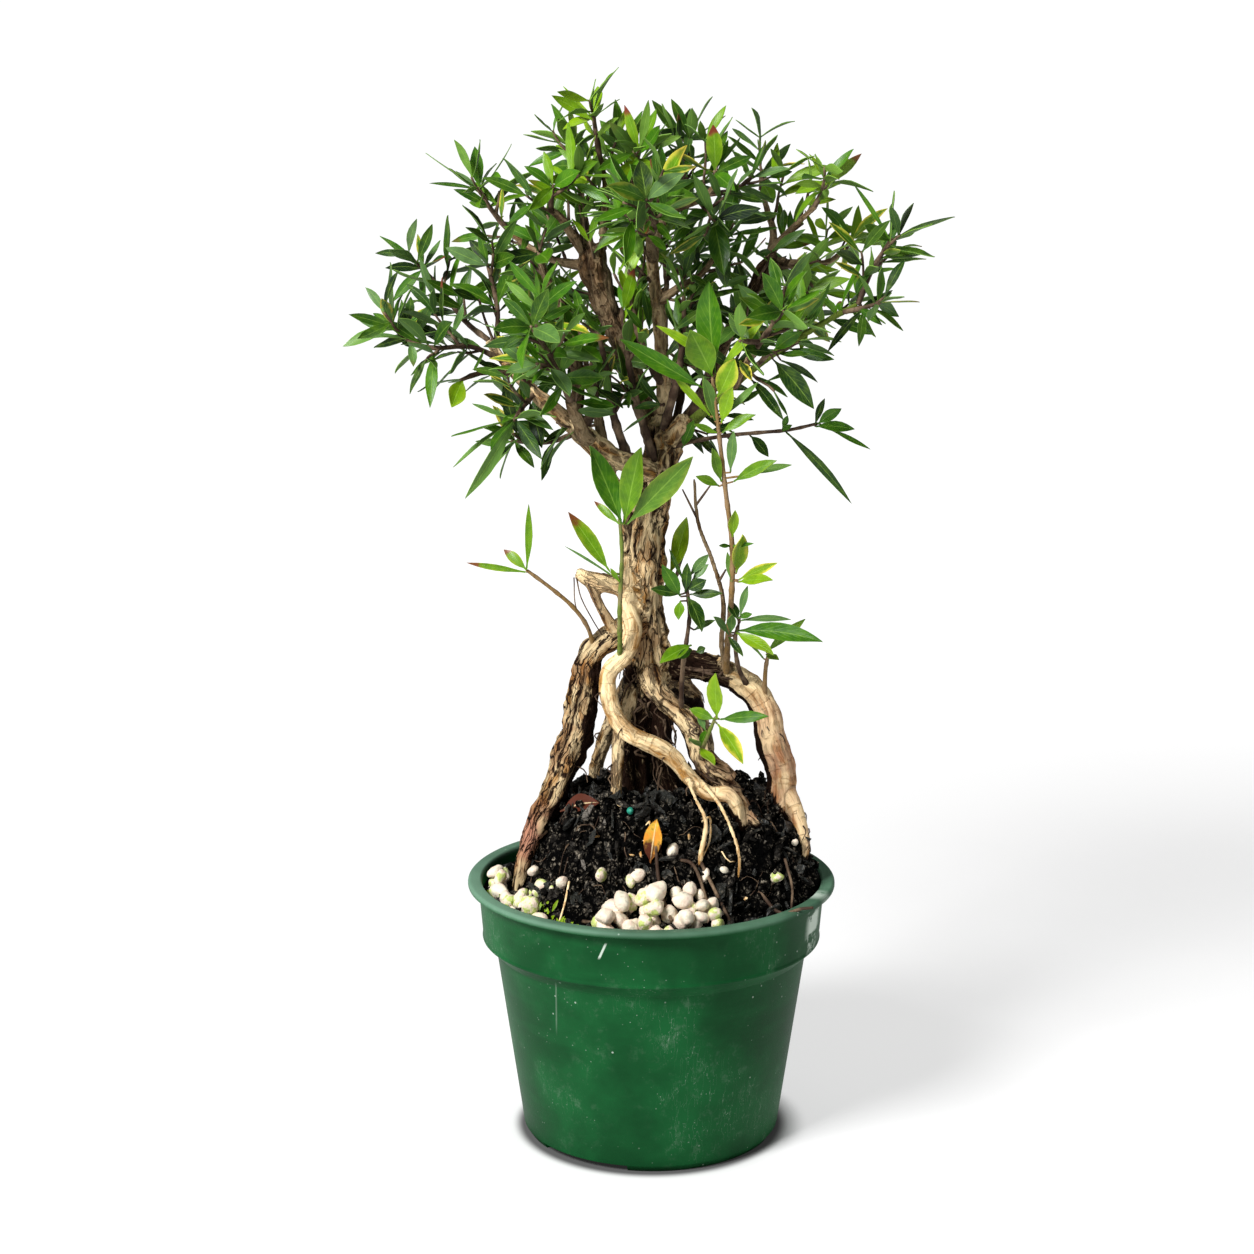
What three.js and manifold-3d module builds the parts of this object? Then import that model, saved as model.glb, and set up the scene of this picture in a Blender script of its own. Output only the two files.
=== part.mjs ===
// A small exposed-root serissa tree in a round plastic nursery pot.
// Millimetres, +Z up. The origin is on the ground under the middle of the pot, and the viewer
// who sees the tree's front looks along +Y.
import * as THREE from 'three';
import * as BufferGeometryUtils from 'three/addons/utils/BufferGeometryUtils.js';
import Module from 'manifold-3d';

const wasm = await Module();
wasm.setup();

// Pot: a thin moulded wall with a wide collar, a rim flange and a foot with three notches.
const POT_HEIGHT = 118;
const RIM_RADIUS = 82.5;
const RIM_THICKNESS = 2.6;
const COLLAR_TOP_RADIUS = 77.8;
const COLLAR_FOOT_RADIUS = 75.8;
const COLLAR_FOOT_HEIGHT = 91.5;
const BODY_TOP_RADIUS = 70;
const BODY_TOP_HEIGHT = 85.5;
const FOOT_RADIUS = 58;
const FOOT_ROUNDING = 3;
const POT_WALL = 1.5;
const POT_FLOOR_UNDERSIDE = 3;
const POT_FLOOR = 1.7;
const FOOT_RING_WIDTH = 5;
const POT_SEGMENTS = 28;
const NOTCH_COUNT = 3;
const NOTCH_SPAN = THREE.MathUtils.degToRad(45.5);
const FIRST_NOTCH_START = THREE.MathUtils.degToRad(-146.4);
const NOTCH_HEIGHT = 3;
const DRAIN_HOLES = 4;
const DRAIN_RADIUS = 6;
const DRAIN_CIRCLE_RADIUS = 36;

// Soil: a level bed near the wall and a steep root ball in the middle.
const SOIL_LEVEL = 111.5;
const ROOT_BALL_HEIGHT = 43;
const ROOT_BALL_CENTRE = [6, 0];
const ROOT_BALL_RADIUS = 61;
const ROOT_BALL_RIGHT_BULGE = 8;
const SOIL_SEGMENTS = 28;
const SOIL_RINGS = [18, 36, 48, 58, 67];

// Clearances.
const GAP = 0.3;
const LEAF_MARGIN = 0.5;

// Leaves.
const BLADE_ROOT = 0.2;
const SMALL_KEEL = 0.8;
const MIDRIB_RISE = 0.45;
const MIDRIB_KEEL = 0.4;
const BLADE_FOLD = 0.16;
const BLADE_DROOP = 0.1;
const LEAF_TRIES = 20;
const NODE_SPACING = 17;
const SEED = 7321;

const vec = (p) => new THREE.Vector3(p[0], p[1], p[2]);

// The same four whole numbers always give the same value between 0 and 1.
function draw(kind, a, b, c) {
  let h = Math.imul(kind + SEED, 374761393) ^ Math.imul(a + 1, 668265263);
  h ^= Math.imul(b + 1, 1274126177) ^ Math.imul(c + 1, 974634777);
  h = Math.imul(h ^ (h >>> 15), 2246822519);
  h = Math.imul(h ^ (h >>> 13), 3266489917);
  return ((h ^ (h >>> 16)) >>> 0) / 4294967296;
}

const smoothStep = (t) => {
  const u = Math.min(Math.max(t, 0), 1);
  return u * u * (3 - 2 * u);
};

// Solids and meshes.
function solidOf(geometry) {
  const bare = geometry.clone();
  bare.deleteAttribute('normal');
  bare.deleteAttribute('uv');
  const merged = BufferGeometryUtils.mergeVertices(bare, 1e-4);
  return new wasm.Manifold(new wasm.Mesh({
    numProp: 3,
    vertProperties: new Float32Array(merged.attributes.position.array),
    triVerts: new Uint32Array(merged.index.array),
  }));
}

function geometryOf(solid) {
  const mesh = solid.getMesh();
  const geometry = new THREE.BufferGeometry();
  geometry.setAttribute('position', new THREE.Float32BufferAttribute(mesh.vertProperties, 3));
  geometry.setIndex(Array.from(mesh.triVerts));
  return geometry;
}

// A cut can leave loose scraps, so the largest body is kept.
function largestBody(solid) {
  return solid.decompose().reduce((best, body) => (body.volume() > best.volume() ? body : best));
}

function closedGeometry(points, triangles) {
  const geometry = new THREE.BufferGeometry();
  const flat = points.flatMap((p) => [p.x, p.y, p.z]);
  geometry.setAttribute('position', new THREE.Float32BufferAttribute(flat, 3));
  geometry.setIndex(triangles);
  return geometry;
}

// Routes: hand-chosen points [x, y, z, radius], rounded into a smooth line.
function smoothRoute(route, step) {
  const knots = route.map(vec);
  const curve = new THREE.CatmullRomCurve3(knots, false, 'centripetal');
  const count = Math.max(2, Math.round(curve.getLength() / step));
  return Array.from({ length: count + 1 }, (_, i) => {
    const t = i / count;
    const span = t * (route.length - 1);
    const k = Math.min(Math.floor(span), route.length - 2);
    const radius = THREE.MathUtils.lerp(route[k][3], route[k + 1][3], span - k);
    return { point: curve.getPoint(t), radius };
  });
}

// A closed tube round a line, with a flat cap at each end. Bumps swell it here and there.
function tubeSolid(line, sides, { grow = 0, bumps = 0, kind = 0 } = {}) {
  const points = [];
  const triangles = [];
  let across = null;
  line.forEach((knot, i) => {
    const before = line[Math.max(i - 1, 0)].point;
    const after = line[Math.min(i + 1, line.length - 1)].point;
    const along = after.clone().sub(before).normalize();
    across = across ?? new THREE.Vector3(0.3, -1, 0.2);
    across.addScaledVector(along, -across.dot(along)).normalize();
    const other = new THREE.Vector3().crossVectors(along, across);
    for (let side = 0; side < sides; side += 1) {
      const angle = (side / sides) * 2 * Math.PI;
      const swell = 1 + bumps * (draw(kind, i, side, 1) - 0.45);
      const reach = knot.radius * swell + grow;
      points.push(knot.point.clone()
        .addScaledVector(across, reach * Math.cos(angle))
        .addScaledVector(other, reach * Math.sin(angle)));
    }
  });
  for (let i = 0; i + 1 < line.length; i += 1) {
    for (let side = 0; side < sides; side += 1) {
      const a = i * sides + side;
      const b = i * sides + ((side + 1) % sides);
      triangles.push(a, b, a + sides, b, b + sides, a + sides);
    }
  }
  const last = (line.length - 1) * sides;
  for (let side = 1; side + 1 < sides; side += 1) {
    triangles.push(0, side + 1, side, last, last + side, last + side + 1);
  }
  return solidOf(closedGeometry(points, triangles));
}

// Wood: the trunk, its bare roots above the soil, the limbs and the cut stubs.
const LIMBS = {
  trunk: [[-1, 3, 209, 10.5], [-2, 2, 226, 8.8], [-3, 0, 244, 8.4], [-3, -1, 262, 9.4],
    [-2, 0, 280, 9.4], [2, 1, 295, 8.6], [5, 3, 308, 8.4], [5, 4, 321, 6.8]],
  leader: [[5, 4, 312, 5], [5, 3, 332, 3.6], [4, 2, 354, 3.2], [2, 1, 375, 2.8], [0, 0, 391, 2.7],
    [0, 0, 401, 3.6], [0, 0, 408, 4.2]],
  innerLeft: [[4, 6, 310, 5], [-3, 8, 327, 5.2], [-9, 9, 344, 4.8], [-15, 9, 362, 5],
    [-21, 8, 376, 5.8], [-25, 7, 389, 6.8], [-26, 7, 398, 6]],
  leftMain: [[2, -1, 299, 5], [-8, -7, 305, 4.8], [-17, -11, 309, 4.4], [-27, -13, 316, 4.8],
    [-35, -14, 324, 4.2], [-43, -15, 331, 3.5], [-51, -14, 338, 3], [-59, -12, 345, 2.5],
    [-65, -11, 352, 2.3], [-70, -10, 359, 2.1]],
  leftSecond: [[-4, -3, 284, 4], [-13, -9, 293, 2.6], [-20, -13, 304, 2.6], [-26, -14, 314, 2.8]],
  leftRise: [[-34, -12, 323, 3.2], [-32, -7, 339, 2.9], [-34, -4, 356, 2.8], [-39, -3, 373, 2.4],
    [-45, -2, 384, 2], [-48, -2, 392, 1.7]],
  leftInner: [[-21, -9, 311, 2.8], [-23, -6, 323, 2.3], [-25, -4, 334, 2], [-28, -2, 345, 1.7]],
  rightMain: [[7, 7, 311, 5], [17, 13, 323, 4], [23, 16, 335, 3.2], [30, 19, 350, 2.9],
    [37, 20, 366, 2.8], [44, 20, 378, 3], [49, 20, 387, 4], [55, 19, 391, 4.4]],
  rightGreen: [[13, 6, 318, 3], [26, -10, 332, 2], [35, -18, 341, 1.7], [49, -24, 353, 1.6],
    [64, -26, 363, 1.5], [76, -26, 370, 1.4], [86, -25, 375, 1.3]],
  rightStub: [[8, 0, 315, 5], [14, -8, 325, 3.6]],
  topRight: [[0, 0, 404, 3], [8, -4, 413, 2], [20, -6, 418, 1.6], [27, -8, 424, 1.3]],
  topLeft: [[0, 0, 404, 3], [-5, 8, 415, 2], [-10, 16, 426, 1.5], [-11, 22, 434, 1.2]],
  stubUp: [[-26, 7, 394, 3], [-29, 13, 408, 1.7], [-31, 21, 420, 1.5], [-33, 28, 431, 1.2]],
  stubMid: [[-23, 7, 390, 3], [-21, 5, 407, 1.8], [-20, 3, 422, 1.5], [-22, 2, 434, 1.2]],
  stubLeft: [[-26, 7, 391, 3], [-34, 2, 402, 2.2], [-39, -2, 410, 1.9], [-44, -5, 414, 1.5]],
  stubFar: [[-26, 7, 389, 3], [-41, 16, 391, 1.8], [-53, 28, 396, 1.5], [-64, 36, 403, 1.2]],
  knobRight: [[51, 20, 389, 3], [65, 22, 390, 1.7], [77, 28, 390, 1.4], [84, 32, 394, 1.2]],
  knobUp: [[50, 20, 387, 3], [53, 21, 402, 1.8], [50, 27, 414, 1.4], [48, 32, 422, 1.2]],
  knobHigh: [[52, 20, 396, 1.9], [63, 9, 408, 1.4], [70, 4, 415, 1.2]],
  midRight: [[2, 1, 374, 2.4], [13, -4, 382, 1.7], [20, -9, 386, 1.5], [26, -13, 394, 1.2]],
  frontLeft: [[-27, -13, 315, 3.6], [-31, -23, 324, 2.9], [-35, -36, 336, 2.3]],
  frontRight: [[35, -18, 340, 1.8], [37, -27, 347, 1.7], [40, -38, 354, 1.6]],
  frontTop: [[0, 0, 393, 2.6], [-1, -14, 399, 2.1], [-1, -30, 404, 1.7]],
  backLeft: [[-9, 9, 343, 4], [-20, 30, 350, 3], [-30, 45, 357, 2.4]],
  backRight: [[23, 16, 334, 3], [38, 36, 342, 2.4], [47, 48, 349, 2]],
  backMiddle: [[4, 2, 355, 2.8], [5, 26, 365, 2.3], [6, 43, 374, 1.9]],
  rootFront: [[-9, -4, 263, 3.6], [-11, -8, 244, 3.6], [-8, -12, 233, 3.7], [-11, -13, 223, 3.7],
    [-19, -13, 214, 3.8], [-19, -14, 203, 3.8], [-15, -18, 194, 3.8], [-8, -22, 188, 3.9],
    [2, -25, 184, 4], [9, -26, 179, 3.6], [17, -27, 170, 3.2], [24, -28, 164, 3.2],
    [34, -28, 162, 3.6], [38, -28, 150, 3], [39, -27, 138, 2]],
  rootKnobby: [[-1, 0, 217, 6.5], [2, -6, 205, 5.2], [9, -10, 198, 4.6], [16, -13, 192, 5],
    [20, -15, 184, 5], [22, -17, 176, 5.2], [28, -19, 168, 5], [36, -20, 160, 4.8],
    [38, -20, 147, 4], [38, -20, 130, 2.5]],
  rootLeft: [[-1, -1, 236, 6], [-16, -4, 229, 5.4], [-26, -5, 222, 5.6], [-29, -4, 210, 6.2],
    [-32, -3, 196, 6.9], [-34, -3, 184, 6.8], [-38, -3, 171, 6.6], [-43, -4, 159, 6],
    [-48, -6, 149, 4.8], [-53, -8, 139, 3.8], [-57, -9, 128, 3], [-60, -10, 112, 2.4],
    [-60, -10, 102, 1.8]],
  rootRight: [[-3, 4, 220, 7], [7, 5, 215, 6.2], [17, 5, 214, 5.6], [27, 3, 213, 5.2], [36, 1, 209, 5],
    [45, -1, 203, 5.2], [50, -2, 194, 5.4], [52, -3, 185, 5.7], [55, -4, 176, 6.2],
    [58, -5, 167, 6], [57, -6, 156, 5.4], [57, -6, 143, 4], [56, -6, 128, 2.6]],
  rootRightToe: [[57, -5, 164, 4], [63, -10, 154, 2.8], [66, -12, 145, 2.4], [68, -13, 136, 1.8],
    [66, -13, 124, 1.2]],
  rootCentre: [[-3, 3, 225, 8], [-6, 5, 202, 8.2], [-8, 7, 183, 7.6], [-8, 8, 167, 8.4],
    [-7, 9, 146, 9.5], [-7, 9, 130, 6]],
  rootCentreRight: [[-1, 8, 213, 7], [2, 12, 194, 5.8], [2, 15, 174, 5.4], [3, 18, 150, 6],
    [4, 19, 132, 4]],
  rootCentreLeft: [[-7, 1, 207, 4], [-14, -4, 186, 3.2], [-15, -8, 171, 2.8], [-16, -12, 154, 2.4],
    [-16, -13, 138, 1.8]],
  rootBack: [[-3, 8, 213, 7], [-3, 30, 192, 5.6], [-1, 43, 167, 5], [1, 52, 138, 4.4],
    [2, 56, 118, 3]],
  rootBackRight: [[3, 8, 211, 6], [18, 30, 193, 5], [24, 41, 170, 4.6], [28, 49, 144, 4],
    [29, 53, 122, 3]],
  rootBackLeft: [[-6, 8, 211, 6], [-13, 32, 189, 4.8], [-21, 46, 171, 3.6], [-26, 56, 149, 3.4],
    [-28, 61, 122, 2.6]],
  deadStub: [[-5, -3, 249, 5], [-17, -7, 252, 4.2], [-27, -9, 255, 3.6], [-33, -10, 258, 2.4]],
  deadLimb: [[-27, -9, 254, 2.4], [-23, -9, 244, 2.1], [-17, -7, 233, 2.8], [-15, -5, 229, 3]],
  fineRootLow: [[14, -27, 173, 1.5], [19, -36, 163, 1.2], [23, -42, 155, 1.4], [21, -47, 142, 1.6],
    [20, -46, 132, 1.2]],
  fineRootLong: [[20, -27, 170, 1.3], [28, -38, 163, 1.1], [33, -46, 155, 1], [37, -50, 143, 1],
    [37, -50, 132, 0.9]],
  deadTwig: [[36, 1, 208, 2], [31, -6, 222, 1.3], [31, -9, 246, 1.2], [26, -11, 264, 1.1],
    [20, -11, 280, 1], [18, -11, 300, 0.8]],
};

const LIMB_STEP = { trunk: 12, rootLeft: 12, rootRight: 12, rootFront: 9, rootKnobby: 11, leftMain: 12 };
const USUAL_LIMB_STEP = 18;
const limbSides = (route) => {
  const widest = Math.max(...route.map((p) => p[3]));
  if (widest > 7.5) return 8;
  if (widest > 5) return 6;
  return widest > 3.4 ? 5 : 4;
};

function woodSolid(grow) {
  const tubes = Object.entries(LIMBS).map(([name, route], kind) => {
    const line = smoothRoute(route, LIMB_STEP[name] ?? USUAL_LIMB_STEP);
    const widest = Math.max(...route.map((p) => p[3]));
    return tubeSolid(line, limbSides(route), { grow, bumps: widest > 4 ? 0.22 : 0.08, kind });
  });
  return tubes.reduce((whole, tube) => whole.add(tube));
}

// Leafy sprays. A twig is a route of points from the wood outwards, with its thickest radius
// first. A reach is the tip of one leaf [x, y, z], with its width where it isn't the usual one.
const SPRAYS = {
  left_end: { twigs: [[[-63, -12, 350], [-77, -20, 357], [-92, -26, 357], [-102, -28, 360],
      [-109, -28, 366]]],
    reach: [[-130, -30, 358, 6], [-127, -36, 370, 4.5], [-118, -20, 371, 3], [-105, -24, 379, 5],
      [-100, -36, 350], [-83, -40, 369, 9]] },
  left_crook: { twigs: [[[-70, -10, 359], [-81, -3, 367], [-90, 4, 378], [-99, 9, 388]]],
    reach: [[-118, 14, 402, 4], [-101, 6, 403, 4], [-92, 18, 400, 3], [-115, 10, 392, 4.5],
      [-114, 0, 379, 5], [-90, -4, 396, 9]] },
  left_mast: { twigs: [[[-67, -11, 355], [-66, -9, 371], [-68, -8, 382], [-70, -8, 390]]],
    reach: [[-88, -8, 398, 6.5], [-76, -12, 406], [-58, -20, 395, 7], [-80, -24, 369, 7]] },
  left_low: { bare: true, twigs: [[[-59, -12, 345], [-74, -24, 346], [-80, -28, 344]]],
    reach: [[-99, -30, 339, 5], [-93, -37, 332, 8]] },
  left_droop: { twigs: [[[-50, -13, 337], [-55, -28, 332], [-58, -36, 328]]],
    reach: [[-84, -46, 322, 5], [-76, -30, 334, 4], [-84, -38, 308, 3], [-78, -54, 297, 6],
      [-40, -52, 331, 8], [-67, -58, 318, 6]] },
  left_under: { twigs: [[[-31, -13, 320], [-40, -17, 317], [-49, -20, 316], [-59, -22, 317]]],
    reach: [[-65, -22, 301, 5.5], [-76, -14, 316, 4], [-50, -32, 307, 5]] },
  mast_far: { twigs: [[[-62, 35, 402], [-69, 38, 411], [-74, 40, 416], [-76, 40, 421]]],
    reach: [[-78, 40, 440, 6.5], [-100, 44, 437, 2], [-98, 34, 424, 2], [-62, 45, 441, 2],
      [-66, 28, 427, 9], [-54, 36, 419, 4], [-60, 48, 424, 6]] },
  shoulder_left: { twigs: [[[-43, -5, 413], [-43, -9, 418], [-42, -12, 423]]],
    reach: [[-58, -8, 424, 4], [-54, -14, 432, 4.5], [-46, -4, 438, 5], [-30, -26, 430, 7],
      [-52, -28, 414, 6]] },
  crown_left: { twigs: [[[-33, 27, 430], [-34, 29, 439]]],
    reach: [[-44, 28, 458, 5.5], [-52, 32, 449, 5], [-54, 36, 433, 5], [-36, 42, 456, 5],
      [-26, 18, 449]] },
  crown_top: { twigs: [[[-22, 2, 433], [-24, 0, 445], [-25, -1, 452]]],
    reach: [[-24, 0, 468, 6], [-38, 4, 465, 2.4], [-17, 6, 462, 2.2], [-21, -16, 460, 8],
      [-38, -8, 447]] },
  crown_split: { twigs: [[[-11, 21, 433], [-14, 24, 440]]],
    reach: [[-16, 24, 460, 5], [-23, 32, 452, 5], [-17, 10, 452, 6], [-4, 32, 455]] },
  crown_fan: { twigs: [[[-6, 11, 419], [-7, 0, 430], [-6, -9, 438]]],
    reach: [[-12, -10, 457, 5], [1, -2, 456], [-2, -20, 459, 4], [6, -20, 449], [-16, -24, 442, 7]] },
  crown_right: { twigs: [[[8, -3, 412], [13, 5, 425], [16, 12, 436], [16, 16, 443]]],
    reach: [[8, 14, 460, 5], [26, 20, 461, 6.5], [15, 2, 457, 6], [32, 28, 453, 2.2], [2, 8, 446, 6]] },
  crown_torn: { twigs: [[[27, -8, 423], [26, -12, 429]]],
    reach: [[25, -15, 449, 7.5], [17, -26, 442, 7], [42, -8, 436], [34, -32, 422, 7]] },
  heart_high: { twigs: [[[0, 0, 406], [1, -17, 413], [2, -28, 418]]],
    reach: [[-10, -36, 433, 8], [3, -22, 441, 7], [13, -38, 443, 8], [-16, -46, 416, 8],
      [17, -50, 420, 8], [-14, -34, 401, 7]] },
  heart_right: { twigs: [[[20, -6, 417], [23, -24, 413], [25, -32, 410]]],
    reach: [[16, -48, 429, 7], [30, -42, 432, 7], [44, -38, 418, 7], [29, -42, 388, 9],
      [12, -56, 403, 7]] },
  right_bow: { twigs: [[[23, -7, 420], [35, -3, 422], [42, 0, 427]]],
    reach: [[48, 6, 441], [58, -8, 431, 4], [34, 8, 438, 3], [42, -20, 430, 6]] },
  right_whorl: { twigs: [[[48, 31, 421], [48, 31, 429]]],
    reach: [[35, 30, 438, 3.5], [61, 36, 441, 5], [67, 32, 432, 3.5], [52, 12, 416, 7], [47, 44, 443, 5],
      [54, 50, 424, 6]] },
  right_shoulder: { twigs: [[[69, 5, 414], [73, 2, 422], [74, 1, 425]]],
    reach: [[69, 0, 437, 7], [84, 6, 437, 6], [60, -8, 431, 5], [94, 0, 421, 6.5], [60, -16, 409, 7]] },
  right_reach: { twigs: [[[83, 31, 393], [88, 32, 399]]],
    reach: [[104, 34, 413, 5], [106, 40, 397], [74, 24, 414, 6], [82, 10, 388], [94, 52, 388]] },
  right_tip: { twigs: [[[86, -25, 375], [89, -23, 384], [95, -20, 394], [100, -17, 401]]],
    reach: [[84, -12, 425, 2.2], [127, -16, 411, 3.6], [101, -30, 390, 3], [84, -36, 380],
      [112, 0, 404, 4], [87, -32, 408, 6]] },
  right_elbow: { twigs: [[[80, -26, 372], [88, -30, 374], [94, -30, 376]]],
    reach: [[112, -24, 376, 2.4], [104, -38, 379, 4], [94, -24, 394, 5], [86, -32, 358, 4],
      [76, -38, 352, 3.6]] },
  right_dark: { twigs: [[[63, 18, 389], [66, 4, 384], [66, -6, 379]]],
    reach: [[84, -10, 385], [49, -20, 383, 7], [63, -26, 365, 6], [76, -22, 371, 6], [59, -24, 395, 6]] },
  right_drop: { twigs: [[[44, -22, 349], [48, -34, 355], [50, -38, 356]]],
    reach: [[66, -46, 333, 9], [72, -30, 343, 3.5], [55, -30, 331, 6], [36, -56, 358, 7],
      [62, -54, 367, 7]] },
  low_twig: { bare: true, twigs: [[[9, -2, 312], [21, -8, 316], [42, -9, 319], [56, -10, 320],
      [70, -10, 323]]],
    reach: [[87, -12, 322, 6], [72, -8, 336, 5], [82, -4, 328, 5], [93, -10, 312, 3],
      [86, -14, 289, 4], [57, -11, 331, 3.5], [50, -17, 307, 6], [38, -10, 303, 6], [28, -22, 315, 6]] },
  inner_left: { twigs: [[[-28, -2, 344], [-29, -8, 352], [-31, -12, 357]]],
    reach: [[-42, -26, 369, 8], [-17, -24, 366], [-33, -12, 376], [-47, -26, 352, 7],
      [-21, -36, 352, 7]] },
  mid_left: { twigs: [[[-34, -4, 356], [-41, -22, 364], [-44, -32, 368]]],
    reach: [[-59, -42, 378], [-41, -44, 386, 8], [-29, -48, 371, 8], [-62, -40, 362, 7],
      [-46, -54, 357, 7]] },
  rise_tip: { twigs: [[[-48, -2, 391], [-49, 4, 399]]],
    reach: [[-64, 6, 406, 7], [-38, 0, 415], [-53, 16, 414], [-44, -22, 392, 9], [-66, -8, 391, 7],
      [-46, 24, 394, 6]] },
  mid_right: { twigs: [[[26, -13, 393], [29, -18, 398]]],
    reach: [[18, -28, 406, 6], [44, -24, 403], [28, -26, 417, 7], [30, -38, 383, 7], [46, -22, 388, 6]] },
  right_inner: { twigs: [[[35, 20, 360], [38, 4, 364], [40, -6, 367]]],
    reach: [[56, -16, 373], [35, -18, 384, 7], [28, -22, 358], [47, -22, 355, 7], [22, -12, 372]] },
  front_left: { thick: 1.7, twigs: [[[-34, -35, 335], [-40, -50, 350], [-46, -64, 364], [-49, -72, 369]],
    [[-40, -50, 350], [-47, -57, 353]]],
    reach: [[-64, -84, 369, 7], [-42, -80, 385, 7], [-37, -96, 365, 8], [-61, -70, 381],
      [-52, -88, 355, 7], [-60, -64, 350, 7], [-34, -70, 341, 8], [-20, -62, 348, 7]] },
  front_right: { thick: 1.5, twigs: [[[40, -37, 353], [44, -46, 361], [50, -56, 371], [52, -66, 375]],
    [[44, -46, 361], [36, -52, 362]]],
    reach: [[67, -76, 384], [43, -74, 391, 7], [60, -91, 370, 7], [36, -84, 377, 7], [60, -56, 391],
      [21, -58, 362, 7], [50, -62, 352, 6]] },
  front_top: { thick: 1.4, twigs: [[[-1, -29, 404], [1, -42, 409], [-2, -56, 415], [-3, -67, 419]],
    [[1, -42, 409], [-9, -52, 411]]],
    reach: [[-19, -80, 425, 7], [12, -76, 430, 7], [-2, -70, 439, 8], [-7, -96, 409, 8],
      [14, -86, 414, 7], [-28, -60, 413, 8], [-12, -66, 394, 7]] },
  back_left: { thick: 1.7, twigs: [[[-29, 44, 356], [-38, 56, 363], [-47, 68, 371], [-52, 77, 375]],
    [[-38, 56, 363], [-47, 54, 375]]],
    reach: [[-70, 82, 373], [-42, 88, 384], [-59, 74, 391], [-55, 90, 359], [-66, 52, 373],
      [-47, 46, 392], [-32, 66, 385], [-60, 68, 358]] },
  back_right: { thick: 1.7, twigs: [[[46, 47, 348], [55, 58, 356], [65, 70, 367], [70, 78, 373]],
    [[55, 58, 356], [69, 50, 363]]],
    reach: [[89, 80, 374], [62, 88, 384], [77, 74, 391], [75, 91, 360], [88, 46, 366],
      [72, 40, 379], [82, 62, 352], [67, 38, 350]] },
  back_top: { thick: 1.4, twigs: [[[6, 42, 373], [7, 52, 381], [5, 68, 394], [4, 78, 401]],
    [[7, 52, 381], [21, 54, 392]]],
    reach: [[-12, 82, 409], [19, 86, 409], [4, 74, 420], [6, 92, 388], [38, 52, 399],
      [24, 46, 411], [32, 68, 386], [12, 62, 408]] },
  back_crown: { twigs: [[[-5, 6, 413], [-6, 24, 415], [-8, 40, 419]]],
    reach: [[-22, 46, 428], [5, 46, 432], [-10, 38, 438], [-6, 62, 414], [-25, 54, 412],
      [8, 24, 408]] },
  tall_sprout: { bare: true, thick: 1.7, twigs: [[[33, 0, 208], [33, -15, 229], [34, -24, 249],
      [34, -28, 273],
    [31, -30, 296], [28, -32, 320], [25, -34, 344]]],
    reach: [[21, -40, 386, 12.5], [15, -50, 366, 13], [48, -38, 362, 6.5], [-12, -42, 362, 8],
      [5, -60, 352, 6], [39, -54, 355, 9], [33, -50, 326, 9], [18, -22, 326, 6], [46, -28, 336, 4],
      [49, -34, 305, 7], [19, -34, 308, 5], [41, -38, 286, 6], [46, -26, 262, 8], [56, -34, 255, 5]] },
  left_twig: { bare: true, twigs: [[[-25, -6, 222], [-30, -16, 239], [-40, -20, 250], [-53, -24, 261]]],
    reach: [[-82, -24, 266, 3.5], [-65, -18, 269, 5.5], [-53, -22, 290, 4]] },
  front_shoot: { bare: true, twigs: [[[-14, -13, 219], [-14, -22, 236], [-14, -24, 250],
      [-13, -25, 266], [-14, -26, 284]]],
    reach: [[-27, -28, 315, 9.5], [-6, -34, 315, 10], [18, -36, 311, 11.5], [-29, -18, 296, 4],
      [-38, -22, 286, 8]] },
  dark_cluster: { bare: true, twigs: [[[13, -11, 194], [13, -22, 214], [14, -24, 226], [16, -26, 240],
      [15, -28, 253]]],
    reach: [[-2, -28, 257, 6], [6, -36, 273, 7], [19, -24, 275, 5], [32, -34, 257, 6], [25, -18, 268, 6],
      [20, -42, 236, 7], [0, -36, 226, 9], [3, -26, 241]] },
  right_cluster: { bare: true, thick: 1.5, twigs: [[[44, -1, 203], [38, -12, 216], [36, -20, 231],
      [37, -24, 237]]],
    reach: [[73, -32, 233, 9.5], [64, -18, 238, 4.5], [53, -36, 226, 7], [42, -16, 256, 5],
      [24, -34, 244, 7], [37, -40, 222, 6]] },
  right_sprout: { bare: true, twigs: [[[50, -2, 195], [50, -9, 215], [51, -11, 222]]],
    reach: [[66, -10, 239, 5], [41, -2, 234, 4], [54, -24, 219, 6]] },
  front_sprout: { bare: true, twigs: [[[21, -18, 178], [24, -30, 190], [27, -32, 198]]],
    reach: [[27, -34, 219, 7], [14, -26, 203, 5], [51, -34, 203, 6], [40, -44, 184, 7],
      [19, -40, 184, 6]] },
  trunk_leaf: { bare: true, twigs: [[[4, 3, 247], [11, 6, 254], [12, 4, 259]]],
    reach: [[19, 0, 283, 8], [20, 14, 276, 5]] },
};

const THICKEST_TWIG = 1.3;
const TWIG_TIP = 0.9;
const TWIG_SIDES = 3;
const BUD_LENGTH = 1.4;
const TWIG_STEP = 13;
const FIRST_NODE = 1.9;
const LEAFY_SHARE = 0.74;
const RULE_LEAF_LENGTH = 19;
const LARGE_BLADE = 8;

// Every place that a later leaf keeps clear of: a ball, and the sprays' own number.
const taken = [];

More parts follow.
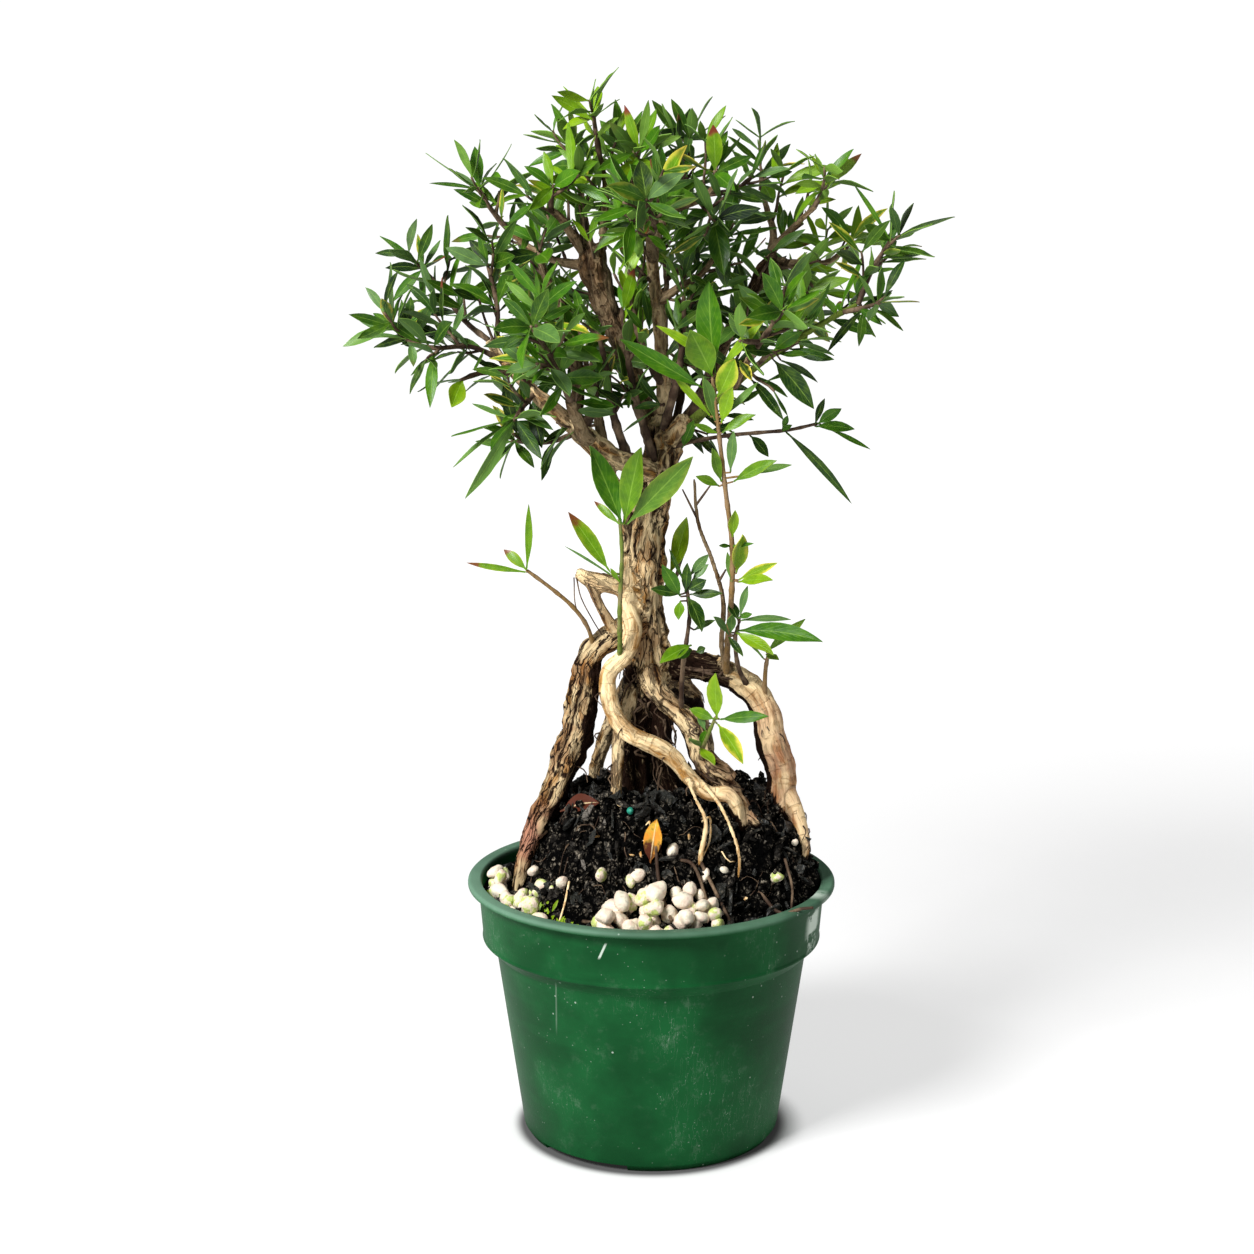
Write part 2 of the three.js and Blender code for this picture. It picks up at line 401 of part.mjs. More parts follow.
function noteLine(line, owner) {
  line.forEach((knot, i) => {
    taken.push({ point: knot.point, radius: knot.radius, owner, share: 0 });
    const next = line[i + 1];
    if (!next) return;
    const gap = knot.point.distanceTo(next.point);
    const extra = Math.floor(gap / Math.max(2, knot.radius));
    for (let k = 1; k <= extra; k += 1) {
      const t = k / (extra + 1);
      const point = knot.point.clone().lerp(next.point, t);
      const radius = THREE.MathUtils.lerp(knot.radius, next.radius, t);
      taken.push({ point, radius, owner, share: 0 });
    }
  });
}

const halfWidthAt = (t, width) => 0.5 * width * Math.sin(Math.PI * t ** 0.9);

// A point on the leaf's midrib, which droops more and more towards the tip.
function midribPoint(leaf, t) {
  const run = leaf.tip.clone().sub(leaf.base);
  const sag = BLADE_DROOP * run.length() * (t - t * t);
  return leaf.base.clone().addScaledVector(run, t).add(new THREE.Vector3(0, 0, sag));
}

const LEAF_SAMPLES = [0.14, 0.28, 0.42, 0.56, 0.7, 0.84, 0.98];

function isClear(leaf, owner) {
  return LEAF_SAMPLES.every((t) => {
    const point = midribPoint(leaf, t);
    const reach = halfWidthAt(t, leaf.width) + LEAF_MARGIN;
    return taken.every((ball) => {
      if (ball.owner === owner && Math.min(t, ball.share) < 0.4) return true;
      if (ball.owner === 'wood' && t < 0.3) return true;
      return point.distanceTo(ball.point) > reach + ball.radius;
    });
  });
}

function keepLeaf(leaf, owner, leaves) {
  LEAF_SAMPLES.forEach((t) => {
    const radius = halfWidthAt(t, leaf.width) + LEAF_MARGIN;
    taken.push({ point: midribPoint(leaf, t), radius, owner, share: t });
  });
  leaves.push(leaf);
}

// Turns a direction by up to a given angle, by a seeded draw.
function nudge(direction, angle, kind, a, b, c) {
  const side = new THREE.Vector3(
    draw(kind, a, b, c * 3) - 0.5,
    draw(kind, a, b, c * 3 + 1) - 0.5,
    draw(kind, a, b, c * 3 + 2) - 0.5,
  );
  return direction.clone().normalize().addScaledVector(side, 2 * angle).normalize();
}

const usualWidth = (length) => Math.min(Math.max(0.29 * length, 4), 7);

function sprayLines(spray) {
  const thick = spray.thick ?? THICKEST_TWIG;
  return spray.twigs.map((twig) => {
    const route = twig.map((p, i) => {
      const share = i / (twig.length - 1);
      return [...p, THREE.MathUtils.lerp(thick, TWIG_TIP, share)];
    });
    const line = smoothRoute(route, TWIG_STEP);
    const [last, before] = [line[line.length - 1], line[line.length - 2]];
    const onward = last.point.clone().sub(before.point).normalize();
    line.push({ point: last.point.clone().addScaledVector(onward, BUD_LENGTH), radius: 0.6 * TWIG_TIP });
    return line;
  });
}

// The leaves whose tips are given: each grows from the nearest stretch of its own twigs.
function growReaches(spray, lines, number, leaves) {
  const seats = lines.flatMap((line) => line.slice(1, -1).map((knot) => knot.point));
  spray.reach.forEach(([x, y, z, width], k) => {
    const tip = new THREE.Vector3(x, y, z);
    const seat = seats.reduce((best, p) => (p.distanceTo(tip) < best.distanceTo(tip) ? p : best));
    const run = tip.clone().sub(seat);
    for (let attempt = 0; attempt < LEAF_TRIES; attempt += 1) {
      const length = run.length() * (attempt > 9 ? 0.8 : 1);
      const way = nudge(run, 0.045 * attempt, 11, number, k, attempt);
      const leaf = {
        base: seat,
        tip: seat.clone().addScaledVector(way, length),
        width: width ?? usualWidth(length),
        turn: draw(12, number, k, 0) - 0.5,
      };
      if (isClear(leaf, number)) {
        keepLeaf(leaf, number, leaves);
        return;
      }
    }
  });
}

// The leaves between: opposite pairs at the nodes of each twig, each pair a quarter turn on.
function growPairs(lines, number, leaves) {
  lines.forEach((line, twig) => {
    const length = line.slice(1).reduce((sum, knot, i) => sum + knot.point.distanceTo(line[i].point), 0);
    for (let node = 0; FIRST_NODE + NODE_SPACING * node < LEAFY_SHARE * length; node += 1) {
      const { seat, along } = placeBack(line, FIRST_NODE + NODE_SPACING * node);
      const first = new THREE.Vector3(0, 0, 1).cross(along).normalize();
      const second = along.clone().cross(first);
      for (let side = 0; side < 2; side += 1) {
        growPairLeaf({ seat, along, first, second, node, side, twig }, number, leaves);
      }
    }
  });
}

// The place on a line at a distance back from its end, with the line's direction there.
function placeBack(line, distance) {
  let left = distance;
  for (let i = line.length - 1; i > 0; i -= 1) {
    const along = line[i].point.clone().sub(line[i - 1].point);
    const span = along.length();
    along.normalize();
    if (left <= span || i === 1) {
      return { seat: line[i].point.clone().addScaledVector(along, -left), along };
    }
    left -= span;
  }
  return null;
}

function growPairLeaf({ seat, along, first, second, node, side, twig }, number, leaves) {
  const key = node * 2 + side + 40 * twig;
  for (let attempt = 0; attempt < LEAF_TRIES; attempt += 1) {
    const turn = Math.PI * (0.5 * node + side) + 2.2 * (draw(21, number, key, attempt) - 0.5);
    const lean = 0.7 + 0.5 * (draw(22, number, key, attempt) - 0.5);
    const outward = first.clone().multiplyScalar(Math.cos(turn)).addScaledVector(second, Math.sin(turn));
    const way = along.clone().multiplyScalar(1 - lean * 0.6).addScaledVector(outward, lean).normalize();
    const length = RULE_LEAF_LENGTH * (0.8 + 0.5 * draw(23, number, key, 0));
    const leaf = {
      base: seat,
      tip: seat.clone().addScaledVector(way, length),
      width: usualWidth(length),
      turn: draw(24, number, key, 0) - 0.5,
    };
    if (isClear(leaf, number)) {
      keepLeaf(leaf, number, leaves);
      return;
    }
  }
}

// Blades turn their faces up, outwards and a little towards the light at the front.
function bladeNormal(leaf, along) {
  const outward = new THREE.Vector3(leaf.base.x, leaf.base.y, 0).normalize();
  const face = new THREE.Vector3(0.5 * leaf.turn, -0.5, 0.8).addScaledVector(outward, 0.3);
  face.addScaledVector(along, -face.dot(along)).normalize();
  const side = new THREE.Vector3().crossVectors(along, face);
  return face.addScaledVector(side, 0.7 * leaf.turn).normalize();
}

// A blade: rings of a few corners along the midrib, closed to a point at both ends. A small
// blade is flat above with a keel below, and a large one is folded along its midrib.
function bladeSolid(leaf) {
  const large = leaf.width >= LARGE_BLADE;
  const shares = large ? [0.24, 0.5, 0.78] : [0.36, 0.72];
  const along = leaf.tip.clone().sub(leaf.base).normalize();
  const up = bladeNormal(leaf, along);
  const side = new THREE.Vector3().crossVectors(along, up).normalize();
  const points = [leaf.base.clone().addScaledVector(along, -BLADE_ROOT)];
  shares.forEach((t) => {
    const middle = midribPoint(leaf, t);
    const half = halfWidthAt(t, leaf.width);
    const corners = large
      ? [[-half, BLADE_FOLD * half], [0, MIDRIB_RISE], [half, BLADE_FOLD * half], [0, -MIDRIB_KEEL]]
      : [[-half, 0], [half, 0], [0, -SMALL_KEEL]];
    corners.forEach(([across, above]) => {
      points.push(middle.clone().addScaledVector(side, across).addScaledVector(up, above));
    });
  });
  points.push(leaf.tip.clone());
  return solidOf(closedGeometry(points, spindleTriangles(shares.length, large ? 4 : 3)));
}

// Triangles of a closed spindle: a point, rings of corners, and a point. The diagonals lie
// alike above and below, so the two faces of a thin blade never cross.
function spindleTriangles(rings, corners) {
  const triangles = [];
  const end = 1 + (rings - 1) * corners;
  for (let k = 0; k < corners; k += 1) {
    const next = (k + 1) % corners;
    triangles.push(0, 1 + next, 1 + k);
    for (let a = 1; a < end; a += corners) {
      const [farHere, farNext] = [a + corners + k, a + corners + next];
      if (k % 2 === 0) triangles.push(a + k, a + next, farHere, a + next, farNext, farHere);
      else triangles.push(a + k, a + next, farNext, a + k, farNext, farHere);
    }
    triangles.push(end + k, end + next, end + corners);
  }
  return triangles;
}

// Soil surface: the level bed, the root ball and a crumbled relief.
function soilHeight(x, y) {
  const dx = x - ROOT_BALL_CENTRE[0];
  const dy = y - ROOT_BALL_CENTRE[1];
  const away = Math.hypot(dx, dy);
  const rightwards = Math.max(dx, 0) / Math.max(away, 1);
  const radius = ROOT_BALL_RADIUS + ROOT_BALL_RIGHT_BULGE * rightwards ** 2;
  const forwards = (Math.max(-dy, 0) / Math.max(away, 1)) ** 2;
  const edge = 1.12 + 0.08 * forwards;
  const slope = 0.42 + 0.33 * forwards;
  const ball = smoothStep((edge - away / radius) / slope);
  const crumbs = Math.sin(0.31 * x + 1.3) * Math.sin(0.27 * y + 0.4);
  const grains = Math.sin(0.63 * x + 0.41 * y) * Math.sin(0.52 * y - 0.35 * x + 2);
  return SOIL_LEVEL + ROOT_BALL_HEIGHT * ball + (0.9 + 2.2 * ball) * crumbs + (0.5 + ball) * grains;
}

// The pot's inner wall, as the radius at a height.
const INNER_PROFILE = [
  [0, POT_FLOOR_UNDERSIDE + POT_FLOOR],
  [FOOT_RADIUS - 1.2, POT_FLOOR_UNDERSIDE + POT_FLOOR],
  [BODY_TOP_RADIUS - POT_WALL, BODY_TOP_HEIGHT + 0.6],
  [COLLAR_FOOT_RADIUS - POT_WALL, COLLAR_FOOT_HEIGHT + 0.8],
  [COLLAR_TOP_RADIUS - POT_WALL, POT_HEIGHT - 1],
];

function innerRadius(height) {
  const k = INNER_PROFILE.findIndex((p) => p[1] >= height && p[0] > FOOT_RADIUS);
  const [r1, z1] = INNER_PROFILE[k];
  const [r0, z0] = INNER_PROFILE[k - 1];
  return r0 + ((r1 - r0) * (height - z0)) / (z1 - z0);
}

function lathe(profile, segments) {
  const geometry = new THREE.LatheGeometry(profile.map((p) => new THREE.Vector2(...p)), segments);
  return geometry.rotateX(Math.PI / 2);
}

function potSolid() {
  const foot = FOOT_RADIUS - FOOT_ROUNDING;
  const profile = [
    [0, POT_FLOOR_UNDERSIDE],
    [foot - FOOT_RING_WIDTH, POT_FLOOR_UNDERSIDE],
    [foot - FOOT_RING_WIDTH + 1, 0],
    [foot + 1, 0],
    [FOOT_RADIUS, FOOT_ROUNDING],
    [BODY_TOP_RADIUS, BODY_TOP_HEIGHT],
    [COLLAR_FOOT_RADIUS, COLLAR_FOOT_HEIGHT],
    [COLLAR_TOP_RADIUS, POT_HEIGHT - RIM_THICKNESS],
    [RIM_RADIUS, POT_HEIGHT - RIM_THICKNESS],
    [RIM_RADIUS, POT_HEIGHT - 1],
    [RIM_RADIUS - 1, POT_HEIGHT],
    [COLLAR_TOP_RADIUS - POT_WALL + 0.6, POT_HEIGHT],
    ...INNER_PROFILE.slice().reverse(),
  ];
  let pot = solidOf(lathe(profile, POT_SEGMENTS));
  for (let k = 0; k < NOTCH_COUNT; k += 1) {
    const start = FIRST_NOTCH_START + (k * 2 * Math.PI) / NOTCH_COUNT;
    pot = pot.subtract(notchSolid(start));
  }
  for (let k = 0; k < DRAIN_HOLES; k += 1) {
    const angle = ((k + 0.5) / DRAIN_HOLES) * 2 * Math.PI;
    const hole = new THREE.CylinderGeometry(DRAIN_RADIUS, DRAIN_RADIUS, 4 * POT_FLOOR, 16);
    hole.rotateX(Math.PI / 2);
    const away = DRAIN_CIRCLE_RADIUS;
    hole.translate(away * Math.cos(angle), away * Math.sin(angle), POT_FLOOR_UNDERSIDE + POT_FLOOR / 2);
    pot = pot.subtract(solidOf(hole));
  }
  return pot;
}

// A low sector of a ring that cuts one notch in the foot.
function notchSolid(start) {
  const shape = new THREE.Shape();
  shape.absarc(0, 0, FOOT_RADIUS + 4, start, start + NOTCH_SPAN, false);
  shape.absarc(0, 0, FOOT_RADIUS - FOOT_ROUNDING - FOOT_RING_WIDTH - 3, start + NOTCH_SPAN, start, true);
  const settings = { depth: NOTCH_HEIGHT + 1, bevelEnabled: false, curveSegments: 8 };
  const block = new THREE.ExtrudeGeometry(shape, settings);
  block.translate(0, 0, -1);
  return solidOf(block);
}

// The soil fills the pot to the gap at its wall, with rings of points on its surface.
function soilSolid(lift) {
  const rings = [];
  const wallTop = innerRadius(SOIL_LEVEL) - GAP;
  SOIL_RINGS.forEach((radius) => rings.push(ringPoints(radius, (x, y) => soilHeight(x, y) + lift)));
  rings.push(ringPoints(wallTop, () => SOIL_LEVEL + lift));
  const down = INNER_PROFILE.slice(1, 4).reverse();
  down.forEach(([radius, height]) => {
    const raise = height < BODY_TOP_HEIGHT ? GAP : 0;
    rings.push(ringPoints(radius - GAP, () => height + raise + lift));
  });
  const points = [new THREE.Vector3(0, 0, soilHeight(0, 0) + lift)];
  rings.forEach((ring) => points.push(...ring));
  points.push(new THREE.Vector3(0, 0, POT_FLOOR_UNDERSIDE + POT_FLOOR + GAP + lift));
  const triangles = [];
  const n = SOIL_SEGMENTS;
  for (let k = 0; k < n; k += 1) {
    triangles.push(0, 1 + k, 1 + ((k + 1) % n));
    for (let row = 0; row + 1 < rings.length; row += 1) {
      const a = 1 + row * n + k;
      const b = 1 + row * n + ((k + 1) % n);
      triangles.push(a, a + n, b, b, a + n, b + n);
    }
    const end = 1 + (rings.length - 1) * n;
    triangles.push(points.length - 1, end + ((k + 1) % n), end + k);
  }
  return solidOf(closedGeometry(points, triangles));
}

function ringPoints(radius, heightAt) {
  return Array.from({ length: SOIL_SEGMENTS }, (_, k) => {
    const angle = (k / SOIL_SEGMENTS) * 2 * Math.PI;
    const x = radius * Math.sin(angle);
    const y = -radius * Math.cos(angle);
    return new THREE.Vector3(x, y, heightAt(x, y));
  });
}

// The height of the faceted soil under a place, for what lies on it.
const ground = new THREE.Mesh(geometryOf(soilSolid(0)));
const plumb = new THREE.Raycaster();

function groundHeight(x, y) {
  plumb.set(new THREE.Vector3(x, y, 2 * POT_HEIGHT), new THREE.Vector3(0, 0, -1));
  return plumb.intersectObject(ground)[0].point.z;
}

// Fertiliser pellets: flattened balls on the soil, in two heaps along the wall and singly.
const PELLET_RADIUS = 3.1;
const HEAPS = {
  pellet_heap_front: { from: -101, to: -73, rows: [69.5, 64.5], step: 5.6 },
  pellet_heap_left: { from: -176, to: -150, rows: [69.5], step: 5.4 },
};
const SINGLE_PELLETS = {
  pellet_left: [-22, -46.5, 3],
  pellet_middle: [8.5, -43, 3.4],
  pellet_right: [54, -37, 3.2],
  pellet_far_left: [-52, -15.5, 3.2],
};
const PRILL = { place: [-9.6, -32], radius: 2.2 };

function pelletSolid(x, y, z, radius, a, b) {
  const ball = new THREE.IcosahedronGeometry(radius);
  ball.scale(1 + 0.2 * draw(31, a, b, 0), 1, 0.86);
  ball.rotateZ(Math.PI * draw(31, a, b, 1));
  ball.translate(x, y, z);
  return solidOf(ball);
}

// Each row of a heap lies half a pellet on from the one before, and every pellet touches the next.
function heapSolid(heap, number) {
  let whole = null;
  heap.rows.forEach((radius, row) => {
    const turn = THREE.MathUtils.radToDeg(heap.step / radius);
    for (let angle = heap.from + 0.5 * turn * (row % 2); angle < heap.to; angle += turn) {
      const x = radius * Math.cos(THREE.MathUtils.degToRad(angle));
      const y = radius * Math.sin(THREE.MathUtils.degToRad(angle));
      const size = PELLET_RADIUS * (0.96 + 0.14 * draw(32, number, row, Math.round(angle)));
      const z = groundHeight(x, y) + 0.5 * size;
      const pellet = pelletSolid(x, y, z, size, number * 10 + row, Math.round(-angle));
      whole = whole ? whole.add(pellet) : pellet;
    }
  });
  return whole;
}

// Fallen leaves: one stands on the slope and one lies on its shoulder. Base and tip are places
// [x, y] with the height above the soil there.
const FALLEN_LEAVES = {
  fallen_leaf: { base: [-1, -45.5, -1], tip: [2, -48, 19], width: 7, turn: -0.2 },
  dry_leaf: { base: [-40.5, -14.5, 2.5], tip: [-25, -17, 1.2], width: 8, turn: 0.3 },
};

// Materials.
const material = (color, roughness) => new THREE.MeshStandardMaterial({ color, roughness, metalness: 0 });
const POT_PLASTIC = material(0x24603f, 0.5);
const BARK = material(0xc4a274, 0.85);
const LEAF = material(0x2f7d1e, 0.45);
const LEAF_BRIGHT = material(0x4f9a14, 0.45);
const SOIL_MIX = material(0x17120f, 0.95);
const PELLET = material(0xe3d3c3, 0.7);
const PRILL_SHELL = material(0x1f7a6a, 0.4);
const DRY_LEAF = material(0xc98a2c, 0.7);

const BRIGHT_SPRAYS = new Set(['tall_sprout', 'left_twig', 'front_shoot', 'right_sprout', 'front_sprout']);

const plant = new THREE.Group();

function addPiece(name, solid, finish) {
  const mesh = new THREE.Mesh(geometryOf(solid), finish.clone());
  mesh.name = name;
  plant.add(mesh);
}

const woodRoom = woodSolid(GAP);
addPiece('pot', potSolid(), POT_PLASTIC);
addPiece('soil', largestBody(soilSolid(0).subtract(woodRoom)), SOIL_MIX);
addPiece('wood', woodSolid(0), BARK);

Object.values(LIMBS).forEach((route) => noteLine(smoothRoute(route, 4), 'wood'));
const sprays = Object.entries(SPRAYS).map(([name, spray], number) => {
  const lines = sprayLines(spray);
  lines.forEach((line) => noteLine(line, number));
  return { name, spray, number, lines, leaves: [] };
});
sprays.forEach(({ spray, lines, number, leaves }) => growReaches(spray, lines, number, leaves));
sprays.filter(({ spray }) => !spray.bare)
  .forEach(({ lines, number, leaves }) => growPairs(lines, number, leaves));
sprays.forEach(({ name, lines, leaves }) => {
  const pieces = [...lines.map((line) => tubeSolid(line, TWIG_SIDES)), ...leaves.map(bladeSolid)];
  const whole = pieces.reduce((sum, piece) => sum.add(piece));
  addPiece(name, largestBody(whole.subtract(woodRoom)), BRIGHT_SPRAYS.has(name) ? LEAF_BRIGHT : LEAF);
});

const soilRoom = soilSolid(GAP).add(woodRoom);
Object.entries(HEAPS).forEach(([name, heap], number) => {
  addPiece(name, largestBody(heapSolid(heap, number).subtract(soilRoom)), PELLET);
});
Object.entries(SINGLE_PELLETS).forEach(([name, [x, y, radius]], number) => {
  const pellet = pelletSolid(x, y, groundHeight(x, y) + 0.6 * radius, radius, 40, number);
  addPiece(name, largestBody(pellet.subtract(soilRoom)), PELLET);
});
const [prillX, prillY] = PRILL.place;
const prillHeight = groundHeight(prillX, prillY) + 0.5 * PRILL.radius;
const prill = pelletSolid(prillX, prillY, prillHeight, PRILL.radius, 50, 0);
addPiece('green_prill', largestBody(prill.subtract(soilRoom)), PRILL_SHELL);
Object.entries(FALLEN_LEAVES).forEach(([name, leaf]) => {
  const [base, tip] = [leaf.base, leaf.tip]
    .map(([x, y, above]) => new THREE.Vector3(x, y, groundHeight(x, y) + above));
  const blade = bladeSolid({ ...leaf, base, tip });
  addPiece(name, largestBody(blade.subtract(soilRoom)), DRY_LEAF);
});

export default plant;
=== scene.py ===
"""A small exposed-root serissa tree in a round green nursery pot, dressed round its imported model."""

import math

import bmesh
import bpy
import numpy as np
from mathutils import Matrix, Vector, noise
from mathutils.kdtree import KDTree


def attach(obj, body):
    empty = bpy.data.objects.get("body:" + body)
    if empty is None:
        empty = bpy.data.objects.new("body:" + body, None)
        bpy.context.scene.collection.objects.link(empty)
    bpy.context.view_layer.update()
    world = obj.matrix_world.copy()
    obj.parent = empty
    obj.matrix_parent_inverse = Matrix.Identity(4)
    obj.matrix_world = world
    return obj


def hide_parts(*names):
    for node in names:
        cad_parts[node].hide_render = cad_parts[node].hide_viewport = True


bl_info = {
    "name": "Exposed-root serissa bonsai",
    "version": (1, 0, 0),
    "blender": (4, 5, 0),
    "location": "View3D > Sidebar > Bonsai",
    "description": "Builds the bark, leaves, soil, pellets and pot of a small potted tree",
    "category": "Object",
}

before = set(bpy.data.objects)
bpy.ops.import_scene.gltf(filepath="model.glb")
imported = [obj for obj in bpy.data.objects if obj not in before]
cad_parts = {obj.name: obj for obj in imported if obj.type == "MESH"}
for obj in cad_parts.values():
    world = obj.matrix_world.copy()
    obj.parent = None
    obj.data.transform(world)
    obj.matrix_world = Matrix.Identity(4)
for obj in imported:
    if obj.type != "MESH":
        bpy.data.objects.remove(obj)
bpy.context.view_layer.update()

# Routes and sizes of the tree are in millimetres, and meshes are in metres.
MM = 0.001
UP = Vector((0, 0, 1))

# How furrowed and how dark each limb's bark is, and how far soil and painted shade darken it, most on the
# roots that lie in shade among the others. The rest are as USUAL_BARK says.
BARK = {
    "trunk": (1.0, 0.15, 0.0), "leader": (0.5, 0.35, 0.0), "inner_left": (0.8, 0.82, 0.0),
    "left_main": (0.8, 0.12, 0.0), "left_second": (0.5, 0.2, 0.0), "left_rise": (0.7, 0.84, 0.0),
    "right_main": (0.8, 0.9, 0.0), "right_green": (0.1, 0.5, 0.0), "right_stub": (0.7, 0.3, 0.0),
    "root_front": (0.3, 0.0, 0.0), "root_knobby": (0.9, 0.3, 0.4), "root_left": (1.2, 0.4, 0.0),
    "root_right": (0.3, 0.0, 0.0), "root_right_toe": (0.3, 0.0, 0.0), "root_centre": (1.0, 0.6, 0.7),
    "root_centre_right": (0.9, 0.6, 0.65), "root_centre_left": (0.8, 0.3, 0.3), "root_back": (0.9, 0.4, 0.3),
    "root_back_right": (0.9, 0.4, 0.3), "root_back_left": (0.9, 0.4, 0.3), "dead_stub": (0.7, 0.05, 0.0),
    "dead_limb": (0.7, 0.4, 0.0), "fine_root_low": (0.1, 0.1, 0.0), "fine_root_long": (0.1, 0.05, 0.0),
    "inner_root": (0.9, 0.8, 0.8), "dead_twig": (0.3, 0.8, 0.0), "knobby_toes": (0.9, 0.3, 0.25),
    "knobby_heel": (0.9, 0.4, 0.4), "right_arch": (0.9, 0.7, 0.72),
}
GREEN_LIMBS = ("right_green",)
USUAL_BARK = (0.5, 0.8, 0.0)

# The bark stands SKIN off the cores of the source part, in millimetres, and THICKER more on some roots.
THICKER = {"root_right": 1.2, "root_left": 0.7, "root_front": 0.2, "root_right_toe": 0.8,
           "fine_root_low": -0.3, "fine_root_long": -0.1}
SKIN = 0.1

# Bark is splashed with soil below the first of these heights, and given painted shade where a root faces the
# others below the second.
SPLASHED_BELOW = 175
SHADED_BELOW = 226

# Pink patches of bark: centre, radius, where the tint starts to fade, and strength.
PINK_PLACES = ((Vector((-52, -8, 138)), 22, 1.0, 1.0), (Vector((60, -6, 165)), 40, 1.3, 0.45))

# Knuckles of the knobby root, a root in the dark between the others, darkened with soil and painted shade,
# and the top of the arch, darkened with soil and painted shade on its underside.
KNUCKLES = {
    "knobby_toes": [(34, -21, 162, 4.2), (39, -23, 156, 4.6), (44, -25, 151, 4.0), (48, -25, 149, 3.2)],
    "inner_root": [(1, 1, 206, 5), (5, 2, 190, 4.6), (5, 3, 173, 4.8), (8, 2, 158, 4.6), (9, 2, 144, 4)],
    "knobby_heel": [(24, -17, 176, 5.0), (31, -22, 172, 4.0), (36, -23, 169, 3.0)],
    "right_arch": [(9, 5, 215, 6.3), (17, 4, 213.5, 6), (27, 2.5, 212.5, 5.8), (34, 1.5, 209.5, 5.6)],
}

